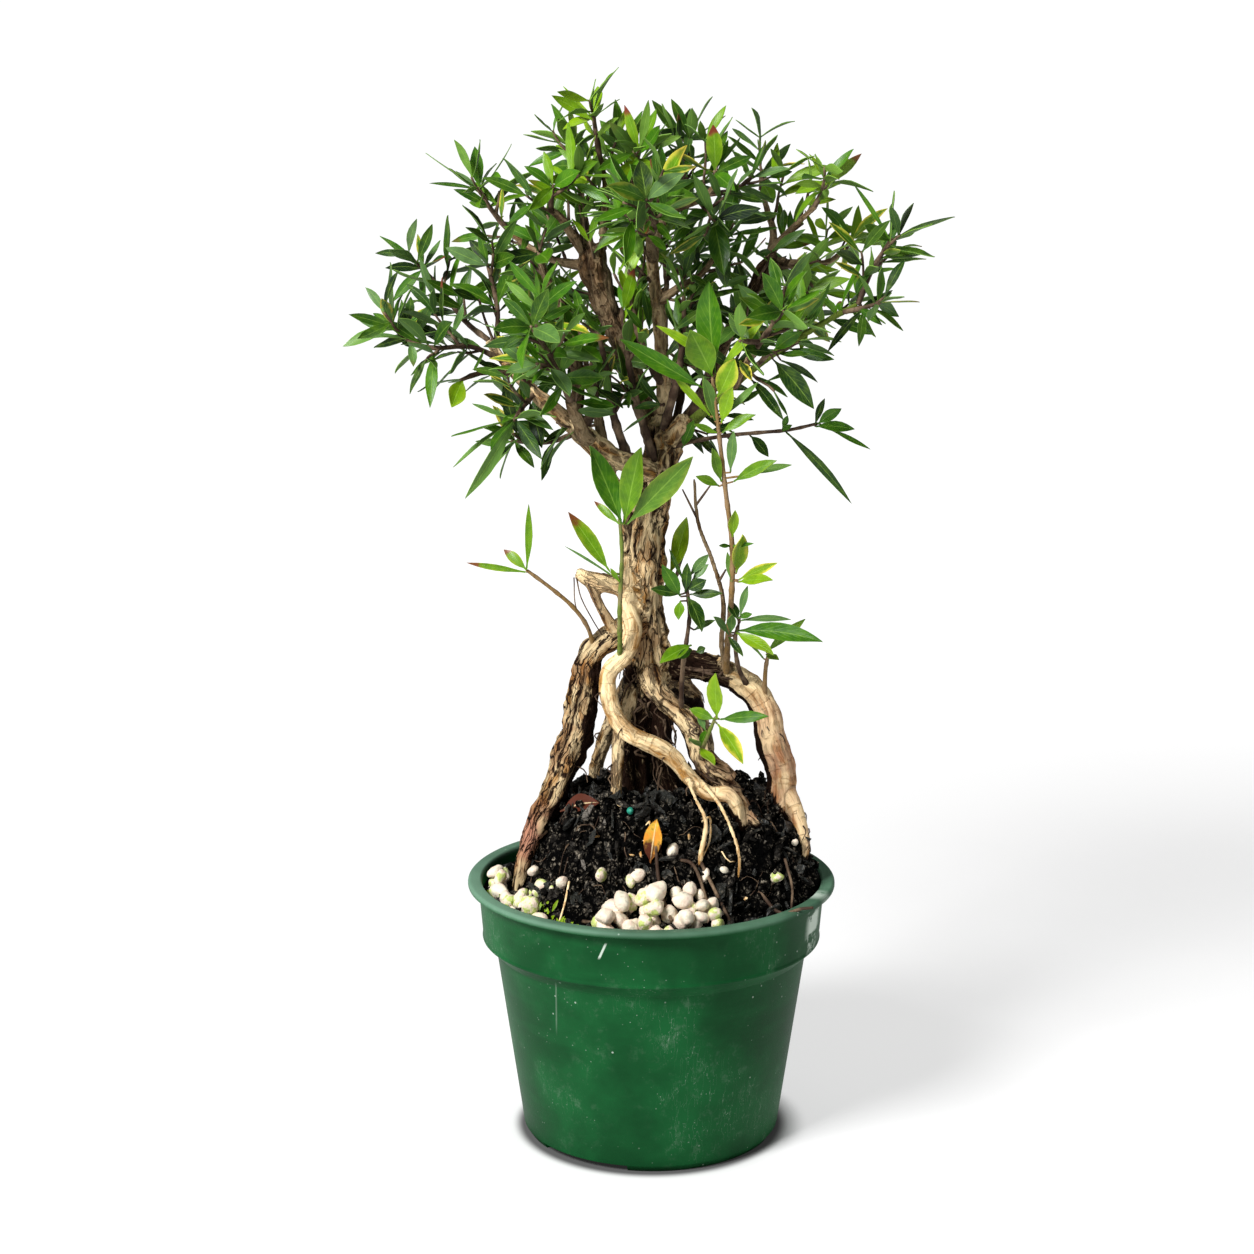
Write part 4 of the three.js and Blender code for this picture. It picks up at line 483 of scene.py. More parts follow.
class Leaf:
    """One leaf, from where it leaves its twig to its tip.

    Its tone says how young, yellowed and brown-tipped it is, with a chance value. Bend, twist, roll and
    curl shape its blade, and aim is where its face looks, if that is given. Reach is its number among
    the tips that its spray is given.
    """

    def __init__(self, base, tip, width, turn):
        self.base = base
        self.tip = tip
        self.width = width
        self.turn = turn
        self.tone = (0.5, 0.0, 0.0, 0.5)
        self.bend = 0.0
        self.twist = 0.0
        self.roll = 0.0
        self.curl = 0.0
        self.aim = None
        self.reach = None

    def half_width(self, share):
        return 0.5 * self.width * math.sin(math.pi * share ** 0.9)

    def midrib(self, share):
        run = self.tip - self.base
        return self.base + run * share + UP * (LEAF_ARCH * run.length * (share - share * share))

    def face(self):
        """Blades turn their faces up, outwards and a little towards the light at the front."""
        along = (self.tip - self.base).normalized()
        outward = Vector((self.base.x, self.base.y, 0)).normalized()
        face = self.aim or Vector((0.5 * self.turn, -0.5, 0.8)) + outward * 0.3
        face = (face - along * face.dot(along)).normalized()
        return (face + along.cross(face) * (0.7 * self.turn + self.roll)).normalized()


class Room:
    """Every place that a later leaf keeps clear of, as balls noted in the cells they reach."""

    CELL = 12
    # Leaves of one twig may touch near their feet, and a leaf may grow out of the wood.
    FREE_ON_TWIG = 0.4
    FREE_IN_WOOD = 0.3

    def __init__(self):
        self.cells = {}

    def note(self, point, radius, owner, share=0.0):
        reach = radius + WIDEST_REACH
        spans = [range(int((axis - reach) // self.CELL), int((axis + reach) // self.CELL) + 1)
                 for axis in point]
        ball = (*point, radius, owner, share)
        for cell in ((i, j, k) for i in spans[0] for j in spans[1] for k in spans[2]):
            self.cells.setdefault(cell, []).append(ball)

    def note_line(self, line, owner):
        for (point, radius), (after, after_radius) in zip(line, line[1:]):
            steps = int((after - point).length / max(2, radius)) + 1
            for k in range(steps):
                self.note(point.lerp(after, k / steps), blend_of(radius, after_radius, k / steps), owner)
        self.note(*line[-1], owner)

    def is_clear(self, leaf, owner, margin):
        for share in LEAF_SAMPLES:
            point = leaf.midrib(share)
            reach = leaf.half_width(share) + margin
            cell = tuple(int(axis // self.CELL) for axis in point)
            for x, y, z, radius, other, other_share in self.cells.get(cell, ()):
                if other == owner and min(share, other_share) < self.FREE_ON_TWIG:
                    continue
                if other == "wood" and share < self.FREE_IN_WOOD:
                    continue
                gap = (point.x - x) ** 2 + (point.y - y) ** 2 + (point.z - z) ** 2
                if gap <= (reach + radius) ** 2:
                    return False
        return True

    def keep(self, leaf, owner, margin):
        for share in LEAF_SAMPLES:
            self.note(leaf.midrib(share), leaf.half_width(share) + margin, owner, share)

    def keep_view(self, point, radius, owner, share=0.0):
        """Notes a place and the places in front of it, so that later leaves don't hide it."""
        for ahead in range(0, VIEW_DEPTH, VIEW_STEP):
            self.note(point - Vector((0, ahead, 0)), radius, owner, share)


class Spray:
    """A twig or two with their leaves."""

    def __init__(self, name, number, lines, room, margin=LEAF_MARGIN):
        self.name = name
        self.number = number
        self.lines = lines
        self.room = room
        self.margin = margin
        self.slim = 1.0
        self.leaves = []
        for line in lines:
            room.note_line(line, number)

    def grow(self, base, ways, lengths, width, turn):
        """Keeps the first leaf of these ways and lengths that is clear of everything before it."""
        for way, length in zip(ways, lengths):
            leaf = Leaf(base, base + way * length, width or self.slim * usual_width(length), turn)
            if self.room.is_clear(leaf, self.number, self.margin):
                self.room.keep(leaf, self.number, self.margin)
                self.leaves.append(leaf)
                return leaf
        return None

    def grow_reaches(self, reaches):
        """The leaves whose tips are given: each grows from the nearest stretch of its own twigs."""
        seats = [point for line in self.lines for point, _ in line[1:-1]]
        for k, (x, y, z, *width) in enumerate(reaches):
            tip = Vector((x, y, z))
            seat = min(seats, key=lambda point: (point - tip).length)
            run = tip - seat
            ways = (nudge(run, 0.045 * i, 11, self.number, k, i) for i in range(LEAF_TRIES))
            lengths = (run.length * (1 if 2 * i < LEAF_TRIES else 0.8) for i in range(LEAF_TRIES))
            wide = width[0] if width else 0
            leaf = self.grow(seat, ways, lengths, wide, draw(12, self.number, k, 0) - 0.5)
            if leaf:
                leaf.reach = k

    def grow_pairs(self, first_node=FIRST_NODE, offset=0, size=1.0):
        """The leaves between: opposite pairs at the nodes of each twig, each pair a quarter turn on."""
        for twig, line in enumerate(self.lines):
            length = line_length(line)
            node = 0
            while first_node + NODE_SPACING * node < LEAFY_SHARE * length:
                seat, along = place_back(line, first_node + NODE_SPACING * node)
                self.grow_pair(seat, along, node, node * 2 + 40 * twig + offset, size)
                node += 1

    def grow_pair(self, seat, along, node, key, size):
        for side in range(2):
            angle = math.pi * (0.5 * node + side)
            self.grow_pair_leaf(seat, along, across_twig(along), angle, key + side, size)

    def grow_pair_leaf(self, seat, along, cross, angle, key, size):
        def way(attempt):
            turn = angle + 2.2 * (draw(21, self.number, key, attempt) - 0.5)
            lean = 0.7 + 0.5 * (draw(22, self.number, key, attempt) - 0.5)
            outward = cross[0] * math.cos(turn) + cross[1] * math.sin(turn)
            return (along * (1 - lean * 0.6) + outward * lean).normalized()
        length = size * RULE_LEAF_LENGTH * (0.8 + 0.5 * draw(23, self.number, key, 0))
        ways = (way(attempt) for attempt in range(LEAF_TRIES))
        turn = draw(24, self.number, key, 0) - 0.5
        self.grow(seat, ways, (length for _ in range(LEAF_TRIES)), 0, turn)

    def grow_shoots(self, shoots):
        """Keeps the shoots that have room for leaves: a pair at the tip and pairs below it."""
        for number, line in enumerate(shoots):
            before = len(self.leaves)
            for pair, size in enumerate(SHOOT_LEAF_SIZES):
                seat, along = place_back(line, SHOOT_TIP + PAIR_SPACING * pair)
                self.grow_pair(seat, along, pair, 1000 + 10 * number + 2 * pair, size)
            if len(self.leaves) - before > 1:
                self.room.note_line(line, self.number)
                self.lines.append(line)


def line_length(line):
    return sum((after[0] - before[0]).length for before, after in zip(line, line[1:]))


def place_back(line, distance):
    """The place on a line at a distance back from its end, with the line's direction there."""
    for i in range(len(line) - 1, 0, -1):
        along = line[i][0] - line[i - 1][0]
        span = along.length
        along.normalize()
        if distance <= span or i == 1:
            return line[i][0] - along * distance, along
        distance -= span
    return None


def grow_crown():
    """All the sprays of the source part, grown in its order, and the room that they leave."""
    room = Room()
    for route in LIMBS.values():
        room.note_line(smooth_route(route, 4), "wood")
    sprays = [Spray(name, number, spray_lines(spray), room)
              for number, (name, spray) in enumerate(SPRAYS.items())]
    for spray in sprays:
        spray.grow_reaches(SPRAYS[spray.name]["reach"])
    for spray in sprays:
        if not SPRAYS[spray.name].get("bare"):
            spray.grow_pairs()
    return sprays, room


def colour(code):
    """A finish's colour from its usual six-figure code."""
    parts = [int(code[i:i + 2], 16) / 255 for i in (0, 2, 4)]
    return (*(p / 12.92 if p <= 0.04045 else ((p + 0.055) / 1.055) ** 2.4 for p in parts), 1.0)


class Value:
    """A socket of a finish's nodes, with the arithmetic that the finishes use."""

    def __init__(self, finish, socket):
        self.finish = finish
        self.socket = socket

    def math(self, operation, *inputs, clamp=False):
        settings = {"operation": operation, "use_clamp": clamp}
        return self.finish.node("ShaderNodeMath", settings, dict(enumerate(inputs)))

    def __add__(self, other):
        return self.math("ADD", self, other)

    __radd__ = __add__

    def __sub__(self, other):
        return self.math("SUBTRACT", self, other)

    def __rsub__(self, other):
        return self.math("SUBTRACT", other, self)

    def __mul__(self, other):
        return self.math("MULTIPLY", self, other)

    __rmul__ = __mul__

    def __abs__(self):
        return self.math("ABSOLUTE", self)

    def fraction(self):
        return self.math("FRACT", self)

    def above(self, limit):
        return self.math("GREATER_THAN", self, limit)

    def capped(self):
        return self.math("MULTIPLY", self, 1.0, clamp=True)

    def rise(self, low, high):
        """0 below low, 1 above high, and a smooth rise between."""
        inputs = {"Value": self, "From Min": low, "From Max": high}
        return self.finish.node("ShaderNodeMapRange", {"interpolation_type": "SMOOTHSTEP"}, inputs)


class Finish:
    """A material made of nodes, with the few kinds of node that the finishes use."""

    def __init__(self, name, specular):
        self.material = bpy.data.materials.new(name)
        self.material.use_nodes = True
        self.tree = self.material.node_tree
        self.shader = self.tree.nodes["Principled BSDF"]
        self.shader.inputs["Specular IOR Level"].default_value = specular

    def feed(self, socket, value):
        if isinstance(value, Value):
            self.tree.links.new(value.socket, socket)
        else:
            socket.default_value = value

    def node(self, kind, settings=None, inputs=None, output=0):
        """Adds a node, its settings first and then the values or links of its sockets."""
        node = self.tree.nodes.new(kind)
        for name, value in (settings or {}).items():
            setattr(node, name, value)
        for name, value in (inputs or {}).items():
            self.feed(node.inputs[name], value)
        return Value(self, node.outputs[output])

    def wear(self, **sockets):
        """Feeds the shader's own sockets."""
        for name, value in sockets.items():
            self.feed(self.shader.inputs[name.replace("_", " ").title()], value)
        return self.material

    def place(self):
        return self.node("ShaderNodeTexCoord", output="Object")

    def blade_place(self):
        """Across and along a blade, from its own map."""
        across, along, _ = self.axes(self.node("ShaderNodeUVMap", {"uv_map": "blade"}))
        return across, along

    def axes(self, place):
        parts = self.node("ShaderNodeSeparateXYZ", inputs={0: place})
        return [Value(self, socket) for socket in parts.socket.node.outputs]

    def stretched(self, place, scale):
        return self.node("ShaderNodeVectorMath", {"operation": "MULTIPLY"}, {0: place, 1: scale})

    def offset(self, place, by):
        return self.node("ShaderNodeVectorMath", {"operation": "ADD"}, {0: place, 1: by})

    def distance(self, place, centre):
        return self.node("ShaderNodeVectorMath", {"operation": "DISTANCE"}, {0: place, 1: centre}, "Value")

    def noise(self, place, scale, detail=3.0, rough=0.55):
        inputs = {"Vector": place, "Scale": scale, "Detail": detail, "Roughness": rough}
        return self.node("ShaderNodeTexNoise", inputs=inputs)

    def noise_colour(self, place, scale):
        return self.node("ShaderNodeTexNoise", inputs={"Vector": place, "Scale": scale}, output="Color")

    def cells(self, place, scale):
        """How far a place is from the middle of the nearest of many irregular cells."""
        return self.node("ShaderNodeTexVoronoi", None, {"Vector": place, "Scale": scale}, "Distance")

    def edges(self, place, scale):
        """How far a place is from the nearest seam between irregular cells."""
        settings = {"feature": "DISTANCE_TO_EDGE"}
        return self.node("ShaderNodeTexVoronoi", settings, {"Vector": place, "Scale": scale}, "Distance")

    def mix(self, factor, start, end):
        """A blend of two colours."""
        return self.node("ShaderNodeMix", {"data_type": "RGBA"}, {0: factor, 6: start, 7: end}, 2)

    def tone(self, name):
        """The four parts of a colour that a piece's points carry."""
        tone = self.node("ShaderNodeAttribute", {"attribute_name": name}, output="Color")
        parts = self.node("ShaderNodeSeparateColor", inputs={0: tone})
        alpha = Value(self, tone.socket.node.outputs["Alpha"])
        return [*(Value(self, socket) for socket in parts.socket.node.outputs), alpha]

    def carried(self, name):
        return self.node("ShaderNodeAttribute", {"attribute_name": name}, output="Vector")

    def bump(self, height, depth, strength=1.0):
        """A relief whose full height stands for depth, in metres."""
        return self.node("ShaderNodeBump", inputs={"Strength": strength, "Distance": depth, "Height": height})


def placed(name, data):
    """A new object in the scene."""
    holder = bpy.data.objects.new(name, data)
    bpy.context.scene.collection.objects.link(holder)
    return holder


def modify(holder, kind, **settings):
    """Gives an object a modifier with its settings."""
    modifier = holder.modifiers.new(kind, kind)
    for name, value in settings.items():
        setattr(modifier, name, value)


def settled(holder):
    """A new mesh of an object as its modifiers leave it. The object itself is let go."""
    graph = bpy.context.evaluated_depsgraph_get()
    mesh = bpy.data.meshes.new_from_object(
        holder.evaluated_get(graph), preserve_all_data_layers=True, depsgraph=graph)
    bpy.data.objects.remove(holder)
    return mesh


def repeated(name, template, count):
    """That many copies of a mesh in one, all in the same place."""
    holder = placed(name, template)
    modify(holder, "ARRAY", use_relative_offset=False, count=count)
    return settled(holder)


def finished(name, mesh, materials, slot, *nodes):
    """A finished piece that rides on the tree's one body, and stands for the CAD nodes named."""
    mesh.name = name
    for k, material in enumerate(materials):
        if k < len(mesh.materials):
            mesh.materials[k] = material
        else:
            mesh.materials.append(material)
    piece = placed(name, mesh)
    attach(piece, "root")
    if nodes:
        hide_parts(*nodes)


def mesh_of(shape, name):
    """Turns a bmesh into a mesh and lets it go."""
    mesh = bpy.data.meshes.new(name)
    shape.to_mesh(mesh)
    shape.free()
    return mesh


def joined(name, *meshes):
    """Several meshes as one, each with its own material slot in their order."""
    holders = []
    for k, mesh in enumerate(meshes):
        stand_in = bpy.data.materials.get(f"slot_{k}") or bpy.data.materials.new(f"slot_{k}")
        mesh.materials.clear()
        mesh.materials.append(stand_in)
        holders.append(placed(name, mesh))
    first = holders[0]
    with bpy.context.temp_override(active_object=first, object=first, selected_editable_objects=holders,
                                   selected_objects=holders):
        bpy.ops.object.join()
    mesh = first.data
    bpy.data.objects.remove(first)
    return mesh


def tubes(name, lines, smoothness=1):
    """Closed round tubes along lines of (point, radius) in millimetres."""
    curve = bpy.data.curves.new(name, "CURVE")
    curve.dimensions = "3D"
    curve.bevel_depth = 1.0
    curve.bevel_resolution = smoothness
    curve.use_fill_caps = True
    for line in lines:
        spline = curve.splines.new("POLY")
        spline.points.add(len(line) - 1)
        for knot, (point, radius) in zip(spline.points, line):
            knot.co = (*(point * MM), 1)
            knot.radius = radius * MM
    mesh = settled(placed(name, curve))
    bpy.data.curves.remove(curve)
    shape = bmesh.new()
    shape.from_mesh(mesh)
    bmesh.ops.remove_doubles(shape, verts=shape.verts, dist=0.01 * MM)
    bmesh.ops.recalc_face_normals(shape, faces=shape.faces)
    for face in shape.faces:
        face.smooth = len(face.verts) < 5
    bpy.data.meshes.remove(mesh)
    return mesh_of(shape, name)


def coordinates(mesh):
    """A mesh's points as an array in metres."""
    places = np.empty(3 * len(mesh.vertices), dtype=np.float32)
    mesh.vertices.foreach_get("co", places)
    return places.reshape(-1, 3)


def carry(mesh, name, values, kind="FLOAT_COLOR"):
    """Gives each point of a mesh a value under a name."""
    layer = mesh.attributes.new(name, kind, "POINT")
    field = "color" if kind == "FLOAT_COLOR" else "vector"
    layer.data.foreach_set(field, np.asarray(values, dtype=np.float32).ravel())


def blade_template(columns, rows):
    """A flat leaf: x runs across it, y along it, and z is 0 above and -1 below."""
    blade = bmesh.new()
    bmesh.ops.create_grid(blade, x_segments=columns, y_segments=rows, size=1)
    for end in (-1, 1):
        row = [v for v in blade.verts if abs(v.co.y - end) < 0.01]
        bmesh.ops.pointmerge(blade, verts=row, merge_co=(0, end, 0))
    bmesh.ops.solidify(blade, geom=blade.faces[:], thickness=1)
    bmesh.ops.recalc_face_normals(blade, faces=blade.faces)
    lowest = min(v.co.z for v in blade.verts)
    layer = blade.loops.layers.uv.new("blade")
    for v in blade.verts:
        v.co.z = 0 if v.co.z > 0.5 * lowest else -1
    for face in blade.faces:
        face.smooth = True
        face.normal_update()
        shift = 0 if face.normal.z > 0.5 else 2
        for loop in face.loops:
            along = 0.5 - 0.5 * math.cos(math.pi * (0.5 * loop.vert.co.y + 0.5))
            loop[layer].uv = (0.5 * loop.vert.co.x + 0.5 + shift, along)
    for edge in blade.edges:
        edge.smooth = edge.calc_face_angle(0) < 1
    return mesh_of(blade, "blade_template")


def leaf_mesh(name, leaves, columns, rows, thickness):
    """The leaves of a piece, each a bent copy of the flat one."""
    template = blade_template(columns, rows)
    flat = coordinates(template)
    across, layer = flat[:, 0], flat[:, 2]
    share = 0.5 - 0.5 * np.cos(np.pi * (0.5 * flat[:, 1] + 0.5))
    places = np.empty((len(leaves), len(flat), 3), dtype=np.float32)
    for k, leaf in enumerate(leaves):
        run = np.array(leaf.tip - leaf.base)
        up = np.array(leaf.face())
        length = np.linalg.norm(run)
        side = np.cross(run, up) / length
        stalk = np.clip((share - 0.03) / 0.2, 0.12, 1)
        half = 0.5 * leaf.width * np.abs(np.sin(np.pi * share ** 1.08)) ** 0.95 * stalk ** 0.6
        half = np.maximum(half, 0.4 * (share < 0.25))
        angle = leaf.twist * (share - 0.3)
        wave = 0.05 * leaf.width * np.sin(9 * share + 40 * leaf.tone[3]) * across ** 2
        lift = 0.22 * np.abs(across) * half * (1.3 - leaf.bend) + wave + thickness * (layer + 0.5)
        offset = across * half
        sway = leaf.bend * length * 0.35 * (share - share ** 2)
        arch = LEAF_ARCH * length * (share - share ** 2)
        places[k] = np.array(leaf.base) + share[:, None] * run + arch[:, None] * np.array((0, 0, 1))
        places[k] += (offset * np.cos(angle) - lift * np.sin(angle) + sway)[:, None] * side
        curl = leaf.curl * length * (share - share ** 2)
        places[k] += (offset * np.sin(angle) + lift * np.cos(angle) + curl)[:, None] * up
    mesh = repeated(name, template, len(leaves))
    mesh.vertices.foreach_set("co", (places * MM).ravel())
    carry(mesh, "leaf_tone", np.repeat([leaf.tone for leaf in leaves], len(flat), axis=0))
    mesh.update()
    bpy.data.meshes.remove(template)
    return mesh


def leaf_finish(name, colours):
    """Glossy leaves: dark to young green above, greyer below, with a pale midrib, and a painted sheen of
    paler blue-green on some.
    """
    finish = Finish(name, 0.2)
    across, along = finish.blade_place()
    young, yellowed, browned, chance = finish.tone("leaf_tone")
    place = finish.place()
    under = across.above(1.5)
    middle = abs(across - 0.5 - under * 2)
    mottle = finish.noise(place, 260, 4)
    green = finish.mix((young * 2).capped(), colours.dark_leaf, colours.middle_leaf)
    green = finish.mix((young * 2 - 1).capped(), green, colours.young_leaf)
    green = finish.mix((mottle - 0.5) * 0.5 + chance * 0.1, green, colours.young_leaf)
    green = finish.mix((0.6 - mottle - along * 0.1).capped(), green, colours.dark_leaf)
    # Painted sheen: some leaves are paled towards a blue-green that stands in for glossy reflections.
    waxy = chance.rise(0.8, 0.92) * (mottle * 0.8 + 0.25) * (1 - young * 0.5)
    green = finish.mix(waxy, green, colours.painted_sheen_leaf)
    below = finish.mix(young, colours.underside, colours.young_underside)
    skin = finish.mix(under, green, below)
    branch = (along * 9 - middle * 5.5).fraction()
    veins = (1 - abs(branch - 0.5).rise(0.0, 0.13)) * (1 - middle.rise(0.3, 0.48)) * 0.14
    rib = 1 - middle.rise(0.012, 0.045)
    margin = middle.rise(0.44, 0.5) * (chance * 0.25 + 0.05)
    skin = finish.mix(rib * 0.26 + veins * 0.7 + margin, skin, colours.leaf_rib)
    edge = (middle * 2 + along * 0.6 + (mottle - 0.5) * 1.1).rise(0.75, 1.35)
    skin = finish.mix(edge * yellowed, skin, colours.yellow_leaf)
    tip = (along + (mottle - 0.5) * 0.35).rise(0.72, 0.86)
    skin = finish.mix(tip * browned, skin, colours.brown_leaf)
    gloss = 0.28 + under * 0.2 + mottle * 0.16
    relief = rib * -0.6 - veins * 1.8 + mottle * 0.3
    return finish.wear(base_color=skin, roughness=gloss, normal=finish.bump(relief, 0.0002, 0.6))


def twig_finish(name, dark, pale, crevice):
    """Young bark: ringed and flecked."""
    finish = Finish(name, 0.2)
    place = finish.place()
    patches = finish.noise(place, 120, 4)
    flecks = finish.noise(finish.stretched(place, (900, 900, 300)), 1, 3)
    bark = finish.mix(patches.rise(0.4, 0.7) * 0.7, dark, pale)
    bark = finish.mix(flecks.rise(0.5, 0.7) * 0.5, bark, crevice)
    return finish.wear(base_color=bark, roughness=flecks * 0.3 + 0.6, normal=finish.bump(flecks, 0.0002))


def bark_finish(colours):
    """Old bark: cream plates between thin dark cracks, browner on the limbs, stained by the soil and darkened
    with painted shade between the roots.
    """
    finish = Finish("bark_finish", 0.06)
    shade, crack, stain_and_shade, pink = finish.tone("bark_tone")
    furrow, green, _ = finish.axes(finish.carried("bark_kind"))
    place = finish.place()
    grain = finish.carried("grain")
    bent = finish.offset(grain, finish.stretched(finish.noise_colour(grain, 110), (0.005, 0.005, 0.012)))
    fibres = finish.noise(finish.stretched(bent, (1500, 1500, 160)), 1, 5, 0.65)
    plates = finish.noise(finish.stretched(bent, (260, 260, 60)), 1, 4)
    seams = finish.edges(finish.stretched(bent, (330, 330, 40)), 1)
    splits = finish.edges(finish.stretched(bent, (700, 700, 90)), 1)
    rings = finish.noise(finish.stretched(grain, (90, 90, 620)), 1, 2)
    patches = finish.noise(place, 70, 3)
    rough = (1 - seams.rise(0.01, 0.055)) * patches.rise(0.4, 0.55) * 0.85
    thin = (1 - splits.rise(0.01, 0.07)) * plates.rise(0.4, 0.6) * 0.6
    ring = rings.rise(0.58, 0.68) * (1 - furrow).capped() * 0.45
    pits = finish.noise(finish.stretched(bent, (430, 430, 140)), 1, 3).rise(0.57, 0.62)
    net = finish.edges(finish.stretched(bent, (300, 300, 190)), 1)
    high = finish.axes(place)[2].rise(0.285, 0.3)
    net = net.rise(0.08, 0.2) * high * plates.rise(0.35, 0.5) * furrow
    lines = (rough + thin + pits * 0.8).capped() * furrow * (1 - high * 0.5)
    tan = finish.mix(plates.rise(0.42, 0.68), colours.light_bark, colours.middle_bark)
    tan = finish.mix(fibres.rise(0.52, 0.75) * 0.5 + ring, tan, colours.middle_bark)
    tan = finish.mix(patches.rise(0.46, 0.62) * furrow * 0.55, tan, colours.brown_bark)
    tan = finish.mix(pink * patches.rise(0.3, 0.6), tan, colours.pink_bark)
    brown = finish.mix(fibres.rise(0.45, 0.7), colours.limb_bark, colours.pale_bark)
    bark = finish.mix(shade, tan, brown)
    bark = finish.mix(net * 0.85, bark, colours.limb_bark)
    bark = finish.mix(lines, bark, colours.crevice)
    bark = finish.mix(crack, bark, colours.crevice)
    # Soil stains and painted shade between the roots, broken up by the fibres and plates, darken the bark to
    # the crevice colour.
    soil_and_shade = (stain_and_shade + (fibres - 0.5) * 1.3 + (plates - 0.5) * 1.1).rise(0.32, 0.66)
    bark = finish.mix(soil_and_shade, bark, colours.crevice)
    bark = finish.mix(green, bark, colours.green_stem)
    relief = fibres * 0.7 + plates * 0.6 - lines * 1.4 - net - ring * 2
    return finish.wear(base_color=bark, roughness=fibres * 0.2 + 0.7, normal=finish.bump(relief, 0.0008))


def soil_finish(name, specular, colours):
    """Moist black potting mix: painted highlights on the edges of crumbs, black gaps and hollows left as
    painted shade, brown chips and pale grit.
    """
    finish = Finish(name, specular)
    pale, brown, depth, flake = finish.tone("soil_tone")
    place = finish.place()
    crumbs = finish.noise(place, 700, 5, 0.7)
    lumps = finish.noise(place, 240, 4)
    gaps = finish.edges(place, 330).rise(0.02, 0.2)
    # Painted highlights on the raised crumbs, kept out of the gaps and the hollows, which stay black as
    # painted shade.
    lit = (crumbs.rise(0.45, 0.66) * lumps.rise(0.44, 0.6) * gaps * (1 - depth)).capped()
    mix = finish.mix(lit, colours.soil, colours.crumb_highlight)
    mix = finish.mix(brown * crumbs.rise(0.3, 0.7), mix, colours.soil_chip)
    mix = finish.mix(pale, mix, colours.soil_grit)
    mix = finish.mix(flake.above(0.9) * 0.5, mix, colours.soil_flake)
    gloss = 0.95 - lit * 0.5 - flake.above(0.9) * 0.5
    relief = crumbs + lumps + gaps * 0.6
    return finish.wear(base_color=mix, roughness=gloss, normal=finish.bump(relief, 0.002))


def pot_finish(colours):
    """Moulded green plastic: faint flow streaks, scratches, specks, dust, and a pale rim, worn and with a
    painted highlight that is brighter on the left.
    """
    finish = Finish("pot_finish", 0.06)
    place = finish.place()
    aside, ahead, height = finish.axes(place)
    front = 1 - ahead.rise(-0.03, 0)
    streaks = finish.noise(finish.stretched(place, (26, 26, 160)), 1, 4, 0.6)
    clouds = finish.noise(place, 22, 4)
    grain = finish.noise(place, 1400, 3)
    mottle = finish.noise(place, 130, 6, 0.75)
    specks = (1 - finish.cells(place, 170).rise(0.05, 0.1)) * finish.noise(place, 60, 2).rise(0.5, 0.6)
    dots = (1 - finish.cells(place, 400).rise(0.05, 0.14)) * finish.noise(place, 90, 3).rise(0.5, 0.62)
    scratch = finish.noise(finish.stretched(place, (420, 420, 60)), 1, 2)
    scratches = (1 - abs(scratch - 0.5).rise(0.0, 0.006)) * clouds.rise(0.52, 0.62)
    plastic = finish.mix(clouds.rise(0.35, 0.7), colours.pot, colours.pot_light)
    plastic = finish.mix(streaks.rise(0.5, 0.75) * 0.25, plastic, colours.pot_light)
    worn = mottle.rise(0.52, 0.7) * clouds.rise(0.4, 0.6) * 0.07
    marks = specks * 0.6 + dots * 0.35 + scratches * 0.25 + worn
    nick_aside, nick_height = NICK_PLACE
    slant = abs(aside - nick_aside - (height - nick_height) * NICK_SLANT)
    nick = (1 - slant.rise(0.0003, 0.0007)) * (1 - abs(height - nick_height).rise(0.0025, 0.0042))
    seam = (1 - abs(aside - SEAM_ASIDE).rise(0.0001, 0.0005)) * height.rise(0.06, 0.07)
    seam = seam * (1 - height.rise(0.086, 0.09))
    marks = marks + (nick * 0.9 + seam * 0.14) * front
    plastic = finish.mix((marks * 0.8).capped(), plastic, colours.pot_scuff)
    # The pale rim: worn plastic, with a painted highlight that is brighter on the left, where the light
    # falls.
    fading = clouds.rise(0.3, 0.6) * 0.2 + 0.36 - aside.rise(-0.08, 0.05) * 0.16
    rim = height.rise(0.1152, 0.1174) * fading
    plastic = finish.mix(rim, plastic, colours.rim_wear_and_highlight)
    near = finish.distance(finish.stretched(place, (1, 1, 0.5)), SCUFF_PLACE)
    scuff = (1 - near.rise(0.004, 0.011)) * (streaks + mottle * 0.9).rise(0.85, 1.0)
    plastic = finish.mix(scuff * 0.85, plastic, colours.pot_scuff)
    gloss = 0.42 + clouds * 0.1 + scuff * 0.3 + rim * 0.1 + worn * 0.6
    relief = finish.bump(streaks + grain * 0.5, 0.00012)
    return finish.wear(base_color=plastic, roughness=gloss, normal=relief)


def pellet_finish(colours):
    """Fertiliser pellets: pale, slightly waxy, some greenish, with fine pits."""
    finish = Finish("pellet_finish", 0.35)
    green, darkening, *_ = finish.tone("pellet_tone")
    place = finish.place()
    pits = finish.noise(place, 1300, 4)
    clouds = finish.noise(place, 300, 3)
    shell = finish.mix(clouds.rise(0.35, 0.65), colours.pellet, colours.pellet_light)
    shell = finish.mix(green * clouds.rise(0.46, 0.6), shell, colours.pellet_green)
    grime = (darkening * 0.8 + (clouds - 0.5) * 0.9).rise(0.35, 0.8)
    shell = finish.mix(grime * 0.7, shell, colours.soil_chip)
    relief = finish.bump(pits + clouds, 0.0004)
    return finish.wear(base_color=shell, roughness=0.45 + pits * 0.3, normal=relief)


def prill_finish(colours):
    """A coated green prill: smooth and waxy with a paler bloom."""
    finish = Finish("prill_finish", 0.5)
    place = finish.place()
    bloom = finish.noise(place, 500, 4)
    shell = finish.mix(bloom.rise(0.4, 0.7), colours.prill, colours.prill_light)
    return finish.wear(base_color=shell, roughness=0.25 + bloom * 0.25, normal=finish.bump(bloom, 0.0002))


